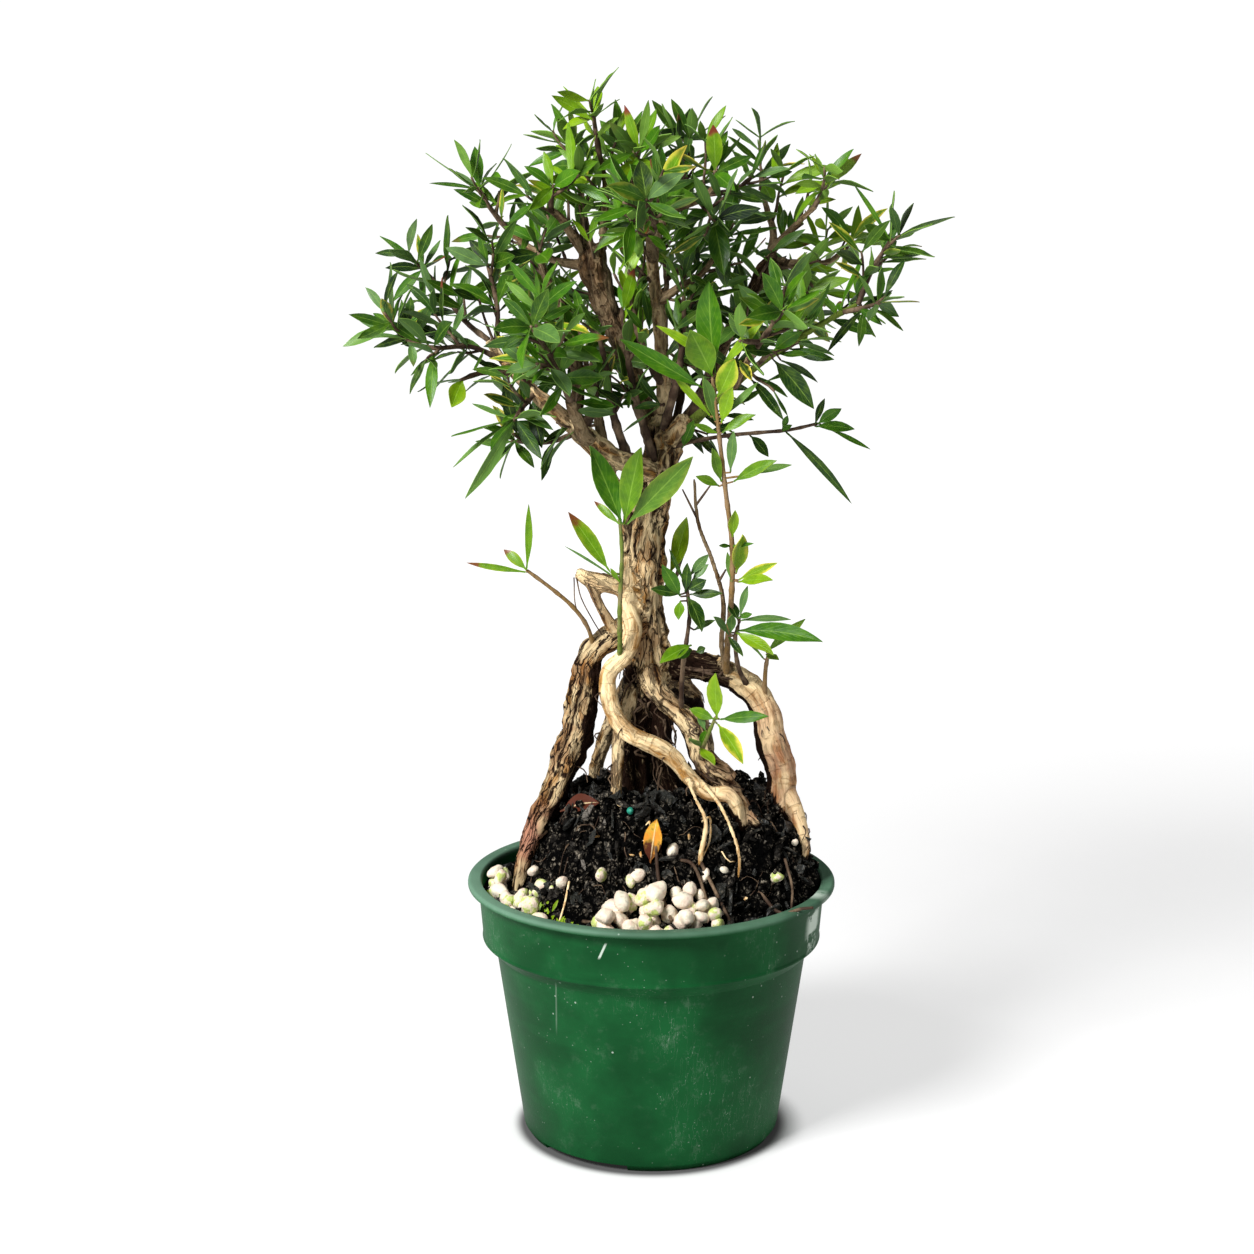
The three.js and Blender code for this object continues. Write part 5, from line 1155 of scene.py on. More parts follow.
def dry_leaf_finish(colours):
    """A fallen leaf: orange and yellow with reddish-brown patches and a paler rib."""
    finish = Finish("dry_leaf_finish", 0.12)
    across, along = finish.blade_place()
    red, *_ = finish.tone("leaf_tone")
    place = finish.place()
    patches = finish.noise(place, 210, 4)
    middle = abs(across - 0.5 - across.above(1.5) * 2)
    skin = finish.mix(patches.rise(0.4, 0.6), colours.dry_leaf, colours.dry_leaf_yellow)
    skin = finish.mix((patches + red * 0.6 - along * 0.3).rise(0.45, 0.7), skin, colours.dry_leaf_red)
    rib = 1 - middle.rise(0.02, 0.07)
    skin = finish.mix(rib * 0.5, skin, colours.light_bark)
    relief = patches + rib
    return finish.wear(base_color=skin, roughness=0.5 + patches * 0.3, normal=finish.bump(relief, 0.0004))


def root_finish(colours):
    """Fine pale roots and dry stalks."""
    finish = Finish("root_finish", 0.2)
    place = finish.place()
    patches = finish.noise(place, 220, 4)
    skin = finish.mix(patches.rise(0.35, 0.65), colours.middle_bark, colours.light_bark)
    return finish.wear(base_color=skin, roughness=0.6 + patches * 0.3, normal=finish.bump(patches, 0.0003))


def floor_finish():
    """A pale, evenly lit studio floor that still takes a soft shadow, deepest under the pot, with a painted
    contact shadow in a thin dark ring round its foot.
    """
    finish = Finish("floor_finish", 0.1)
    place = finish.place()
    haze = finish.noise(place, 2, 2)
    away = finish.distance(place, (0, 0, 0))
    foot = FOOT_RADIUS * MM
    near = 1 - away.rise(foot, foot + 0.015)
    pale = finish.mix(haze, colour("a8a8a8"), colour("acacac"))
    pale = finish.mix(near, pale, colour("e4e4e4"))
    # Painted contact shadow: a thin dark ring round the pot's foot.
    pale = finish.mix((1 - away.rise(foot, foot + 0.006)) * 0.9, pale, colour("202020"))
    glow = finish.mix(away.rise(0.25, 1.6), (0.62, 0.62, 0.62, 1), (1, 1, 1, 1))
    glow = finish.mix(near, glow, (0.02, 0.02, 0.02, 1))
    finish.shader.inputs["Emission Strength"].default_value = 1.0
    return finish.wear(base_color=pale, roughness=haze * 0.1 + 0.85, emission_color=glow)


def pot_profile(sizes):
    """The pot's section from the middle of its underside round to the middle of its floor."""
    rim, height = sizes.rim_radius / MM, sizes.height / MM
    outside = [(0, 3), (50, 3), (51, 0), (56, 0), (FOOT_RADIUS, 3), (70, 85.5),
               (75.6, 90.8), (76.2, 91.2), (76.2, 92), (75.9, 92.8), (77.8, height - 2.6)]
    edge = [(rim, height - 2.6), (rim, height - 1), (rim - 1, height), (76.9, height)]
    return outside + edge + POT_INSIDE[::-1]


def lathe(profile, steps):
    """Spins a section of (radius, height) in millimetres into a closed shape."""
    shape = bmesh.new()
    corners = [shape.verts.new((radius * MM, 0, height * MM)) for radius, height in profile]
    edges = [shape.edges.new(pair) for pair in zip(corners, corners[1:])]
    bmesh.ops.spin(shape, geom=corners + edges, cent=(0, 0, 0), axis=(0, 0, 1), angle=2 * math.pi,
                   steps=steps, use_merge=True)
    bmesh.ops.remove_doubles(shape, verts=shape.verts, dist=0.001 * MM)
    bmesh.ops.recalc_face_normals(shape, faces=shape.faces)
    return shape


def notch_cutter(start):
    """A low sector of a ring, which cuts one notch in the foot."""
    shape = bmesh.new()
    corners = [(45, -1), (66, -1), (66, NOTCH_TOP), (45, NOTCH_TOP)]
    face = shape.faces.new([shape.verts.new((radius * MM, 0, height * MM)) for radius, height in corners])
    bmesh.ops.transform(shape, matrix=Matrix.Rotation(start, 4, "Z"), verts=shape.verts)
    bmesh.ops.spin(shape, geom=[face, *face.edges, *face.verts], cent=(0, 0, 0), axis=(0, 0, 1),
                   angle=NOTCH_SPAN, steps=16)
    bmesh.ops.remove_doubles(shape, verts=shape.verts, dist=0.001 * MM)
    bmesh.ops.recalc_face_normals(shape, faces=shape.faces)
    return mesh_of(shape, "notch_cutter")


def drain_cutter(angle):
    """An upright cylinder, which cuts one hole in the floor."""
    shape = bmesh.new()
    away = DRAIN_RING * MM
    place = Matrix.Translation((away * math.cos(angle), away * math.sin(angle), 4 * MM))
    bmesh.ops.create_cone(shape, cap_ends=True, segments=28, radius1=DRAIN_RADIUS * MM,
                          radius2=DRAIN_RADIUS * MM, depth=8 * MM, matrix=place)
    return mesh_of(shape, "drain_cutter")


def pot_mesh(sizes):
    """The turned shell with its edges rounded, and its notches and drain holes cut."""
    shape = lathe(pot_profile(sizes), POT_STEPS)
    sharp = [edge for edge in shape.edges if edge.is_manifold and edge.calc_face_angle(0) > 0.3]
    bmesh.ops.bevel(shape, geom=sharp, offset=0.45 * MM, offset_type="OFFSET", segments=2, profile=0.5,
                    affect="EDGES", clamp_overlap=True, material=-1)
    for face in shape.faces:
        face.smooth = True
    holder = placed("pot", mesh_of(shape, "pot"))
    cutters = [notch_cutter(NOTCH_START + k * 2 * math.pi / NOTCHES) for k in range(NOTCHES)]
    cutters += [drain_cutter((k + 0.5) * 2 * math.pi / DRAIN_HOLES) for k in range(DRAIN_HOLES)]
    blocks = [placed("cutter", cutter) for cutter in cutters]
    for block in blocks:
        modify(holder, "BOOLEAN", operation="DIFFERENCE", solver="EXACT", object=block)
    mesh = settled(holder)
    for block in blocks:
        bpy.data.objects.remove(block)
    mesh.set_sharp_from_angle(angle=math.radians(40))
    return mesh


def wall_radius(height):
    """The pot's inner radius at a height."""
    for (r0, z0), (r1, z1) in zip(POT_INSIDE[1:], POT_INSIDE[2:]):
        if height <= z1:
            return r0 + (r1 - r0) * (height - z0) / (z1 - z0)
    return POT_INSIDE[-1][0]


def crumble(x, y):
    """The fine relief of the soil: rounded clods with creases between them."""
    bend = noise.noise(Vector((0.2 * x, 0.2 * y, 3)))
    clods = noise.voronoi(Vector((0.19 * x + bend, 0.19 * y - bend, 1)))[0][0]
    crumbs = noise.voronoi(Vector((0.42 * x, 0.42 * y, 9)))[0][0]
    grains = noise.noise(Vector((1.1 * x, 1.1 * y, 5)))
    return 5.4 * (0.5 - clods) + 2.4 * (0.45 - crumbs) + 0.8 * grains + 1.4 * bend


def fine_ground(x, y):
    """The dressed soil's height at a place. It meets the wall at the level of the bed."""
    share = smooth_step((CRUMBS_END - math.hypot(x, y)) / CRUMBS_FADE)
    return soil_height(x, y) + crumble(x, y) * share


def soil_bed():
    """The filling of the pot, with a fine relief on top."""
    top = wall_radius(SOIL_LEVEL) - WALL_GAP
    rows = [(top * k / SOIL_RINGS, SOIL_LEVEL) for k in range(SOIL_RINGS + 1)]
    sides = [(radius - WALL_GAP, height) for radius, height in POT_INSIDE[3:0:-1]]
    shape = lathe(rows + sides + [(0, POT_INSIDE[0][1] + 0.2)], SOIL_STEPS)
    for v in shape.verts:
        if v.co.z > (SOIL_LEVEL - 0.01) * MM:
            v.co.z = fine_ground(v.co.x / MM, v.co.y / MM) * MM
    for face in shape.faces:
        face.smooth = True
    return mesh_of(shape, "soil")


def scatter_on_soil(count, seed, low, high):
    """Seeded places on the soil: (x, y, size), with many more small ones than large."""
    places = []
    for k in range(count):
        angle = 2 * math.pi * draw(seed, k, 0, 0)
        away = SOIL_EDGE * draw(seed, k, 1, 0) ** 0.5
        size = low + (high - low) * draw(seed, k, 2, 0) ** 3
        places.append((away * math.cos(angle), away * math.sin(angle), size))
    return places


def turned_copies(name, template, spots, seed, flat, rough):
    """Copies of a small mesh at spots (x, y, z, size), each squashed, turned and dented its own way."""
    shape = coordinates(template)
    mesh = repeated(name, template, len(spots))
    places = np.empty((len(spots), len(shape), 3), dtype=np.float32)
    chance = np.random.default_rng(seed)
    for k, (x, y, z, size) in enumerate(spots):
        turns = chance.uniform(0, 2 * math.pi, 3)
        turn = np.array(Matrix.Rotation(turns[0], 3, "X") @ Matrix.Rotation(turns[1], 3, "Y")
                        @ Matrix.Rotation(turns[2], 3, "Z"))
        dents = 1 + rough * chance.uniform(-1, 1, (len(shape), 1))
        squash = np.array(flat) * chance.uniform(0.8, 1.2, 3)
        places[k] = (shape * dents * squash * size) @ turn.T + (x, y, z)
    mesh.vertices.foreach_set("co", (places * MM).ravel())
    mesh.update()
    return mesh


def ball_template(subdivisions, smooth):
    """A ball of radius 1."""
    ball = bmesh.new()
    bmesh.ops.create_icosphere(ball, subdivisions=subdivisions, radius=1)
    for face in ball.faces:
        face.smooth = smooth
    return mesh_of(ball, "ball_template")


def strewn(name, template, spots, tones, seed, flat, rough):
    """Bits of soil at spots, each with its own tone."""
    mesh = turned_copies(name, template, spots, seed, flat, rough)
    carry(mesh, "soil_tone", np.repeat(tones, len(template.vertices), axis=0))
    return mesh


def chip_tone(k):
    """How pale and how brown a chip is. Most are as black as the soil."""
    kind = draw(62, k, 0, 0)
    pale = 0.7 if kind > 0.985 else 0.18 * draw(62, k, 3, 0) ** 4
    brown = 0.9 * draw(62, k, 1, 0) if kind > 0.75 and not pale else 0.0
    return pale, brown, 0, 0


def soil_mesh(chips):
    """The bed with chips of bark and grit strewn over it, and moist flakes on top."""
    bed = soil_bed()
    # How deep each point lies in the relief; the hollows get no painted crumb highlights, so they stay black
    # as painted shade.
    depths = [smooth_step(0.45 - 0.45 * crumble(x / MM, y / MM)) for x, y, _ in coordinates(bed)]
    carry(bed, "soil_tone", [(0, 0, depth, 0.5) for depth in depths])
    template = ball_template(1, False)
    spots = [(x, y, fine_ground(x, y) + 0.15 * size, size)
             for x, y, size in scatter_on_soil(chips, 61, *CHIP_SIZES)]
    tones = [chip_tone(k) for k in range(chips)]
    grit = strewn("chips", template, spots, tones, 63, (1.05, 0.6, 0.36), 0.3)
    spots = [(x, y, fine_ground(x, y) + 0.2, size)
             for x, y, size in scatter_on_soil(FLAKES, 66, *FLAKE_SIZES)]
    tones = [(0, 0.35 * draw(68, k, 0, 0), 0, 1) for k in range(FLAKES)]
    flakes = strewn("flakes", template, spots, tones, 67, (1.1, 0.7, 0.16), 0.35)
    return joined("soil_mix", bed, grit, flakes)


class Grain:
    """Finds the limb that a place on the wood belongs to, and where on the limb it is."""

    def __init__(self, lines):
        self.knots = []
        for name, line in lines:
            across = Vector((0.3, -1, 0.2))
            arc = 0.0
            bark = (*BARK.get(name, USUAL_BARK), float(name in GREEN_LIMBS))
            for k, (point, radius) in enumerate(line):
                along = (line[min(k + 1, len(line) - 1)][0] - line[max(k - 1, 0)][0]).normalized()
                across = (across - along * across.dot(along)).normalized()
                arc += (point - line[k - 1][0]).length if k else 0.0
                self.knots.append((point, radius, along, across.copy(), arc, bark))
        self.tree = KDTree(len(self.knots))
        for k, knot in enumerate(self.knots):
            self.tree.insert(knot[0], k)
        self.tree.balance()

    def at(self, place):
        """(across, across, along the limb, radius, bark) at a place in millimetres."""
        near = self.tree.find_n(place, 7)
        _, index, _ = min(near, key=lambda found: found[2] - self.knots[found[1]][1])
        point, radius, along, across, arc, bark = self.knots[index]
        gap = place - point
        return gap.dot(across), gap.dot(along.cross(across)), arc + gap.dot(along), radius, bark


def cracks(x, y, arc):
    """How deep the bark is cracked at a place on its limb, from 0 to 1: the seams between long plates."""
    place = Vector((0.19 * x, 0.19 * y, 0.027 * arc))
    place += noise.noise_vector(place * 2) * 0.35
    nearest, second = noise.voronoi(place)[0][:2]
    return smooth_step(1 - (second - nearest) / 0.19) * smooth_step(0.7 + 2 * noise.noise(place * 1.1))


def wood_skin(lines, spacing):
    """Trunk, roots and limbs grown into one smooth skin."""
    thick = [[(point, radius + SKIN + THICKER.get(name, 0)) for point, radius in line]
             for name, line in lines]
    holder = placed("wood", tubes("wood", thick, 3))
    modify(holder, "REMESH", mode="VOXEL", voxel_size=spacing)
    shape = bmesh.new()
    shape.from_mesh(settled(holder))
    for _ in range(2):
        bmesh.ops.smooth_vert(shape, verts=shape.verts, factor=0.5, use_axis_x=True, use_axis_y=True,
                              use_axis_z=True)
    shape.normal_update()
    return shape


def splash_and_shade(place, normal, radius, lumps, ripple):
    """How soiled and shaded the bark is: splashed with soil just above the soil, and painted shade where a
    root faces the others.
    """
    low = place.z - soil_height(place.x, place.y)
    soil_and_shade = smooth_step(1 - (low + 3 * ripple) / 7) if place.z < SPLASHED_BELOW else 0.0
    # Painted shade: a thick root low down is darkened where it faces the others, as if in their shade.
    if place.z < SHADED_BELOW and radius > 4.3:
        inward = -(normal.x * place.x + normal.y * (place.y - 5)) / (place.xy.length + 8)
        hidden = smooth_step((place.xy.length - 9) / 8)
        soil_and_shade = max(soil_and_shade, hidden * smooth_step((inward + 0.14 + 0.6 * lumps) / 0.45))
    return soil_and_shade


def pinkness(place):
    """How pink the bark is at a place."""
    return max(strength * smooth_step(start - (place - centre).length / radius)
               for centre, radius, start, strength in PINK_PLACES)


def wood_mesh(sizes):
    """The wood's skin, furrowed along each limb's own grain."""
    lines = [(name, smooth_route(route, 2)) for name, route in (LIMBS | KNUCKLES).items()]
    shape = wood_skin(lines, sizes.detail)
    grain = Grain(lines)
    # The vector noise of the cracks starts from the time of day unless it is given a seed.
    noise.seed_set(SEED)
    places, tones, kinds = [], [], []
    for v in shape.verts:
        place = v.co / MM
        x, y, arc, radius, (furrow, shade, darkening, green) = grain.at(place)
        crack = cracks(x, y, arc) * furrow
        lumps = noise.noise(Vector((0.11 * x, 0.11 * y, 0.05 * arc + 3)))
        knots = noise.noise(place * 0.17) * (1 if radius > 3 else 0)
        ripple = noise.noise(Vector((0.5 * x, 0.5 * y, 0.3 * arc)))
        swell = 1.9 * lumps + 1.3 * knots + 0.4 * ripple
        thick = min(radius / 6, 1.3)
        lift = thick * (swell * (0.3 + 0.7 * furrow) - sizes.furrow_depth / MM * crack)
        # Soil splashed just above the soil, and painted shade where a root faces the others.
        soil_and_shade = splash_and_shade(place, v.normal, radius, lumps, ripple)
        v.co += v.normal * (lift * MM)
        places.append((x * MM, y * MM, arc * MM))
        # The third part darkens the bark with soil and painted shade: the darker of this place's and the
        # limb's own.
        tones.append((shade, crack, max(0.9 * soil_and_shade, darkening), pinkness(place)))
        kinds.append((furrow, green, 0))
    for face in shape.faces:
        face.smooth = True
    mesh = mesh_of(shape, "wood")
    carry(mesh, "grain", places, "FLOAT_VECTOR")
    carry(mesh, "bark_tone", tones)
    carry(mesh, "bark_kind", kinds, "FLOAT_VECTOR")
    return mesh


# How a leaf looks: how young, yellowed and brown-tipped it is, and its chance value. The highest chance
# values give a leaf a painted sheen.
LOOKS = {
    "dark": (0.08, 0.0, 0.0, 0.3), "green": (0.45, 0.0, 0.0, 0.3), "fresh": (0.62, 0.05, 0.0, 0.5),
    "bright": (0.82, 0.1, 0.0, 0.5), "yellow": (0.85, 0.8, 0.0, 0.5), "waxy": (0.3, 0.0, 0.0, 0.95),
    "silver": (0.6, 0.1, 0.0, 0.85), "faded": (0.8, 0.45, 0.0, 0.6), "torn": (0.7, 0.1, 1.0, 0.4),
    "gold": (0.9, 1.0, 0.2, 0.5), "fading": (0.65, 0.65, 0.4, 0.5), "pale": (0.6, 0.0, 0.0, 1.0),
    "tipped": (0.66, 0.15, 0.9, 0.4),
}

# Leaves of the young shoots and the lowest twigs, as seen from the front: foot (x, z), tip (x, y, z),
# width and look. Each stands on the nearest place of its own twig.
SEEN_LEAVES = {
    "tall_sprout": [
        (26, 347, 23, -40, 386, 12, "green"), (25, 346, 15, -46, 366, 12.5, "fresh"),
        (28, 349, 46, -42, 370, 4.6, "bright"), (21, 341, -14, -42, 362, 7.5, "green"),
        (24, 352, 1, -34, 367, 4, "bright"), (24, 329, 8, -36, 347, 3.4, "bright"),
        (27, 337, 34, -40, 354, 9, "faded"), (26, 327, 21, -38, 346, 5.5, "pale"),
        (29, 326, 33, -40, 342, 6.5, "bright"), (30, 329, 44, -38, 344, 3, "pale"),
        (29, 322, 43, -36, 330, 4.6, "fresh"), (27, 322, 17, -36, 326, 3, "fresh"),
        (33, 305, 34, -34, 323, 4.8, "waxy"), (29, 301, 25, -36, 316, 4.6, "fresh"),
        (34, 301, 52, -38, 311, 5.4, "fresh"), (41, 304, 59, -30, 308, 3.2, "pale"),
        (28, 299, 18, -36, 304, 4, "fresh"), (34, 277, 35, -32, 289, 4.6, "bright"),
        (36, 261, 38, -34, 279, 8, "faded"), (37, 258, 53, -36, 267, 4.4, "yellow"),
        (37, 257, 51, -38, 260, 5, "bright"), (33, 273, 28, -34, 274, 1.9, "green"),
        (34, 273, 43, -34, 275, 1.9, "green"), (34, 257, 32, -26, 270, 3, "pale")],
    "low_twig": [
        (42, 318, 50, -12, 309, 5, "dark"), (56, 321, 58, -12, 327, 2.8, "green"),
        (56, 320, 60, -13, 323, 2.2, "green"), (70, 323, 74, -9, 334, 3.2, "dark"),
        (71, 323, 81, -12, 330, 5, "green"), (70, 322, 87, -12, 321, 4.8, "green"),
        (76, 321, 94, -10, 312, 2.3, "green"), (57, 320, 86, -14, 289, 4, "dark"),
        (13, 312, 18, -12, 325, 5, "green")],
    "right_drop": [
        (50, 353, 67, -42, 333, 8.5, "dark"), (41, 344, 55, -32, 327, 5, "dark"),
        (53, 353, 69, -32, 343, 2.8, "dark"), (60, 360, 76, -30, 354, 2.8, "waxy"),
        (50, 356, 36, -52, 358, 6, "dark"), (50, 357, 61, -50, 366, 6, "green")],
    "left_twig": [
        (-54, 262, -53, -22, 290, 3.4, "fresh"), (-54, 262, -64, -20, 270, 4.6, "tipped"),
        (-54, 261, -80, -24, 265, 2.8, "tipped")],
    "front_shoot": [
        (-13, 282, -27, -28, 316, 11, "green"), (-12, 282, -5, -33, 316, 11, "fresh"),
        (-11, 282, 17, -34, 312, 11, "silver"), (-14, 282, -25, -20, 291, 3.4, "tipped"),
        (-18, 261, -36, -24, 287, 7, "tipped"), (-14, 257, -18, -26, 263, 2.2, "fresh"),
        (-18, 260, -38, -22, 272, 1.2, "waxy")],
    "dark_cluster": [
        (12, 251, 4, -34, 266, 6.2, "green"), (14, 253, 15, -30, 266, 4.8, "dark"),
        (15, 254, 23, -32, 259, 5.6, "dark"), (16, 252, 30, -32, 253, 4.4, "dark"),
        (15, 251, 21, -36, 237, 6.8, "dark"), (12, 252, -1, -32, 255, 4.8, "dark"),
        (14, 257, 7, -28, 272, 1.8, "dark"), (16, 260, 24, -26, 269, 4.2, "waxy"),
        (17, 258, 24, -28, 265, 3.6, "waxy"), (12, 249, 11, -34, 242, 4.6, "fresh"),
        (17, 229, 3, -34, 223, 6.4, "fresh"), (17, 227, 10, -32, 225, 3.8, "green"),
        (19, 226, 23, -26, 228, 3.4, "dark"), (18, 236, 27, -30, 241, 2.8, "dark")],
    "right_cluster": [
        (36, 235, 73, -33, 232, 8, "green"), (38, 240, 60, -24, 240, 3, "waxy"),
        (36, 234, 52, -36, 227, 6, "bright"), (38, 242, 41, -24, 255, 3.4, "waxy"),
        (37, 240, 33, -22, 248, 5, "dark"), (34, 234, 34, -32, 244, 4.2, "waxy"),
        (33, 233, 26, -32, 243, 3.4, "waxy"), (33, 232, 39, -30, 225, 3.4, "dark"),
        (37, 241, 43, -26, 243, 2.8, "green")],
    "right_sprout": [
        (50, 223, 67, -12, 238, 4.8, "fresh"), (49, 220, 37, -8, 232, 1.8, "pale"),
        (50, 222, 55, -22, 222, 3.6, "bright")],
    "front_sprout": [
        (28, 198, 27, -35, 219, 7.5, "bright"), (27, 198, 16, -30, 202, 4.8, "fresh"),
        (29, 198, 50, -36, 200, 5.4, "green"), (28, 196, 39, -40, 180, 7, "yellow"),
        (23, 193, 20, -30, 200, 3.2, "waxy"), (21, 184, 16, -34, 190, 4.6, "waxy"),
        (21, 184, 24, -30, 193, 3.4, "green"), (21, 183, 27, -38, 179, 5, "bright")],
    "trunk_leaf": [(8, 254, 15, -6, 282, 8.4, "bright"), (12, 257, 16, 4, 275, 2.2, "dark")],
}

# Leaves of the crown that stand out: (spray, leaf) and its look.
STANDING_OUT = {
    ("crown_torn", 0): "torn", ("crown_torn", 1): "fading", ("crown_fan", 0): "torn",
    ("right_whorl", 2): "gold", ("heart_high", 2): "fading", ("mid_left", 2): "gold",
    ("shoulder_left", 0): "fading", ("left_end", 0): "pale", ("left_droop", 3): "pale",
    ("left_droop", 2): "pale", ("left_low", 1): "bright",
}

# Sprays with young leaves and green stems, and the ones of them whose stems are brown.
BRIGHT_SPRAYS = ("tall_sprout", "left_twig", "front_shoot", "right_sprout", "front_sprout")
BROWN_STEMS = ("left_twig", "right_sprout", "tall_sprout")

# Limbs that stay in view between the leaves, from this share of their length on.
BARE_LIMBS = {"right_green": 0.1, "leader": 0.1, "inner_left": 0.55, "left_rise": 0.0, "left_main": 0.3,
              "right_main": 0.2, "right_stub": 0.0}

# A leaf that would hide the tall sprout's large leaves is turned aside: (spray, leaf) and its tip.
TURNED_ASIDE = {("front_right", 5): (44, -74, 350)}

# Limbs that carry small shoots of their own: the first share of the limb that is leafy, the
# spacing of the shoots and their usual length.
LEAFY_LIMBS = {
    "left_main": (0.45, 9, 17), "left_rise": (0.15, 8, 18), "left_inner": (0.3, 11, 18),
    "right_main": (0.2, 11, 19), "right_green": (0.45, 10, 15), "top_right": (0.2, 7, 16),
    "top_left": (0.2, 7, 16), "stub_up": (0.2, 8, 16), "stub_mid": (0.2, 8, 16), "stub_left": (0.2, 8, 16),
    "stub_far": (0.2, 8, 17), "knob_right": (0.1, 13, 17), "knob_up": (0.1, 12, 17),
    "knob_high": (0.2, 11, 15), "mid_right": (0.1, 7, 16), "leader": (0.1, 7, 19), "inner_left": (0.2, 8, 17),
    "front_left": (0.3, 9, 15), "front_right": (0.3, 9, 15), "front_top": (0.3, 9, 15),
    "back_left": (0.3, 9, 17), "back_right": (0.3, 14, 17), "back_middle": (0.3, 12, 17),
}
SHOOT_RADIUS = (0.75, 0.5)
SHOOT_LENGTHS = (8, 16)
FIRST_SHOOT = 6
SHOOT_SPACING = 9
CLOSE_MARGIN = 0.15

# How much slimmer the added leaves, the stems of the young shoots and all the crown's small leaves are.
SLIM_LEAF = 0.82
SLIM_STEM = 0.88
SMALL_BLADE_WIDTH = 0.94

# Thin dark twigs that fan out between the limbs in the heart of the crown.
HEART = {"thick": 2.2, "twigs": [
    [(1, -3, 306), (-5, -9, 326), (-10, -13, 348), (-13, -16, 372)],
    [(-10, -7, 307), (-17, -14, 328), (-20, -20, 350), (-24, -24, 366)],
    [(5, -2, 320), (10, -9, 340), (13, -15, 361), (13, -18, 378)],
    [(4, 1, 340), (-4, -8, 355), (-8, -16, 371), (-10, -22, 388)],
    [(-1, 8, 325), (-6, 14, 346), (-7, 18, 366), (-5, 20, 386)],
    [(9, 8, 316), (14, 16, 340), (14, 18, 362), (18, 18, 384)],
    [(17, 12, 323), (24, 2, 342), (27, -6, 358)],
    [(-30, -12, 320), (-24, -18, 336), (-26, -28, 350)],
]}
CROWN_CENTRE = Vector((0, 6, 375))


def shoot_line(start, way, length, key):
    """A short twig that bends up a little on its way."""
    points = []
    for k in range(4):
        share = k / 3
        sway = Vector([draw(71, key, k, i) - 0.5 for i in range(3)]) * (0.12 * length)
        point = start + way * (length * share) + UP * (0.18 * length * share ** 2) + sway * share
        points.append((*point, blend_of(*SHOOT_RADIUS, share)))
    return smooth_route(points, 4)


def side_shoots(spray):
    """Short side shoots on a spray's twigs, each with a rosette of leaves."""
    shoots = []
    for twig, line in enumerate(spray.lines):
        for k in range(int(0.85 * line_length(line) / SHOOT_SPACING)):
            seat, along = place_back(line, FIRST_SHOOT + SHOOT_SPACING * k)
            key = 1000 * spray.number + 40 * twig + k
            shoots.append(shoot_from(seat, along, key, blend_of(*SHOOT_LENGTHS, draw(72, key, 0, 0))))
    return shoots


def shoot_from(seat, along, key, length):
    """A shoot that leans out to one side of its twig."""
    first = UP.cross(along)
    first = first.normalized() if first.length > 0.01 else Vector((1, 0, 0))
    second = along.cross(first)
    turn = 2.4 * key + 1.2 * draw(73, key, 0, 0)
    outward = first * math.cos(turn) + second * math.sin(turn)
    return shoot_line(seat, (along * 0.7 + outward * 0.8 + UP * 0.15).normalized(), length, key)


def limb_shoots(name, number):
    """The shoots of one leafy limb."""
    start, spacing, usual = LEAFY_LIMBS[name]
    line = smooth_route(LIMBS[name], 3)
    lines, arc, wanted = [], 0.0, start * line_length(line)
    for k in range(1, len(line)):
        gap = line[k][0] - line[k - 1][0]
        arc += gap.length
        if arc < wanted:
            continue
        wanted = arc + spacing
        key = 50000 + 100 * number + k
        outward = (line[k][0] - CROWN_CENTRE).normalized() * 0.5
        way = (gap.normalized() * 0.5 + outward).normalized()
        lines.append(shoot_from(line[k][0], way, key, usual * (0.7 + 0.6 * draw(74, key, 0, 0))))
    return lines


def leaf_tone(spray, leaf, k):
    """How young, yellowed and brown-tipped a leaf is, and its chance value."""
    named = STANDING_OUT.get((spray.name, leaf.reach))
    if named:
        return LOOKS[named]
    patch = noise.noise(leaf.base * 0.022)
    light = 0.36 + 0.6 * patch + 0.0022 * (leaf.base.z - 380) + 0.0005 * leaf.base.x
    young = min(max(light + 0.5 * (draw(82, spray.number, k, 0) - 0.5), 0.0), 1.0)
    fading = 0.0 if leaf.width >= LARGE_BLADE else 1.0
    yellow = 0.8 * fading * smooth_step((draw(83, spray.number, k, 0) - 0.93) / 0.07)
    brown = smooth_step((draw(84, spray.number, k, 0) - 0.95) / 0.05)
    return young, yellow, brown, draw(81, spray.number, k, 0)


def dress_leaves(spray):
    """Gives each leaf its tone and its own bend, twist, roll and curl."""
    for k, leaf in enumerate(spray.leaves):
        leaf.bend = 0.7 * (draw(85, spray.number, k, 0) - 0.5)
        leaf.twist = 1.4 * (draw(86, spray.number, k, 0) - 0.5)
        if leaf.aim:
            continue
        leaf.tone = leaf_tone(spray, leaf, k)
        if leaf.width < LARGE_BLADE:
            leaf.width *= SMALL_BLADE_WIDTH
        leaf.tip = Vector(TURNED_ASIDE.get((spray.name, leaf.reach), leaf.tip))
        leaf.roll = (3.4 if leaf.width < 9 else 0.6) * (draw(87, spray.number, k, 0) - 0.5)
        leaf.curl = 0.5 * (draw(88, spray.number, k, 0) - 0.6)


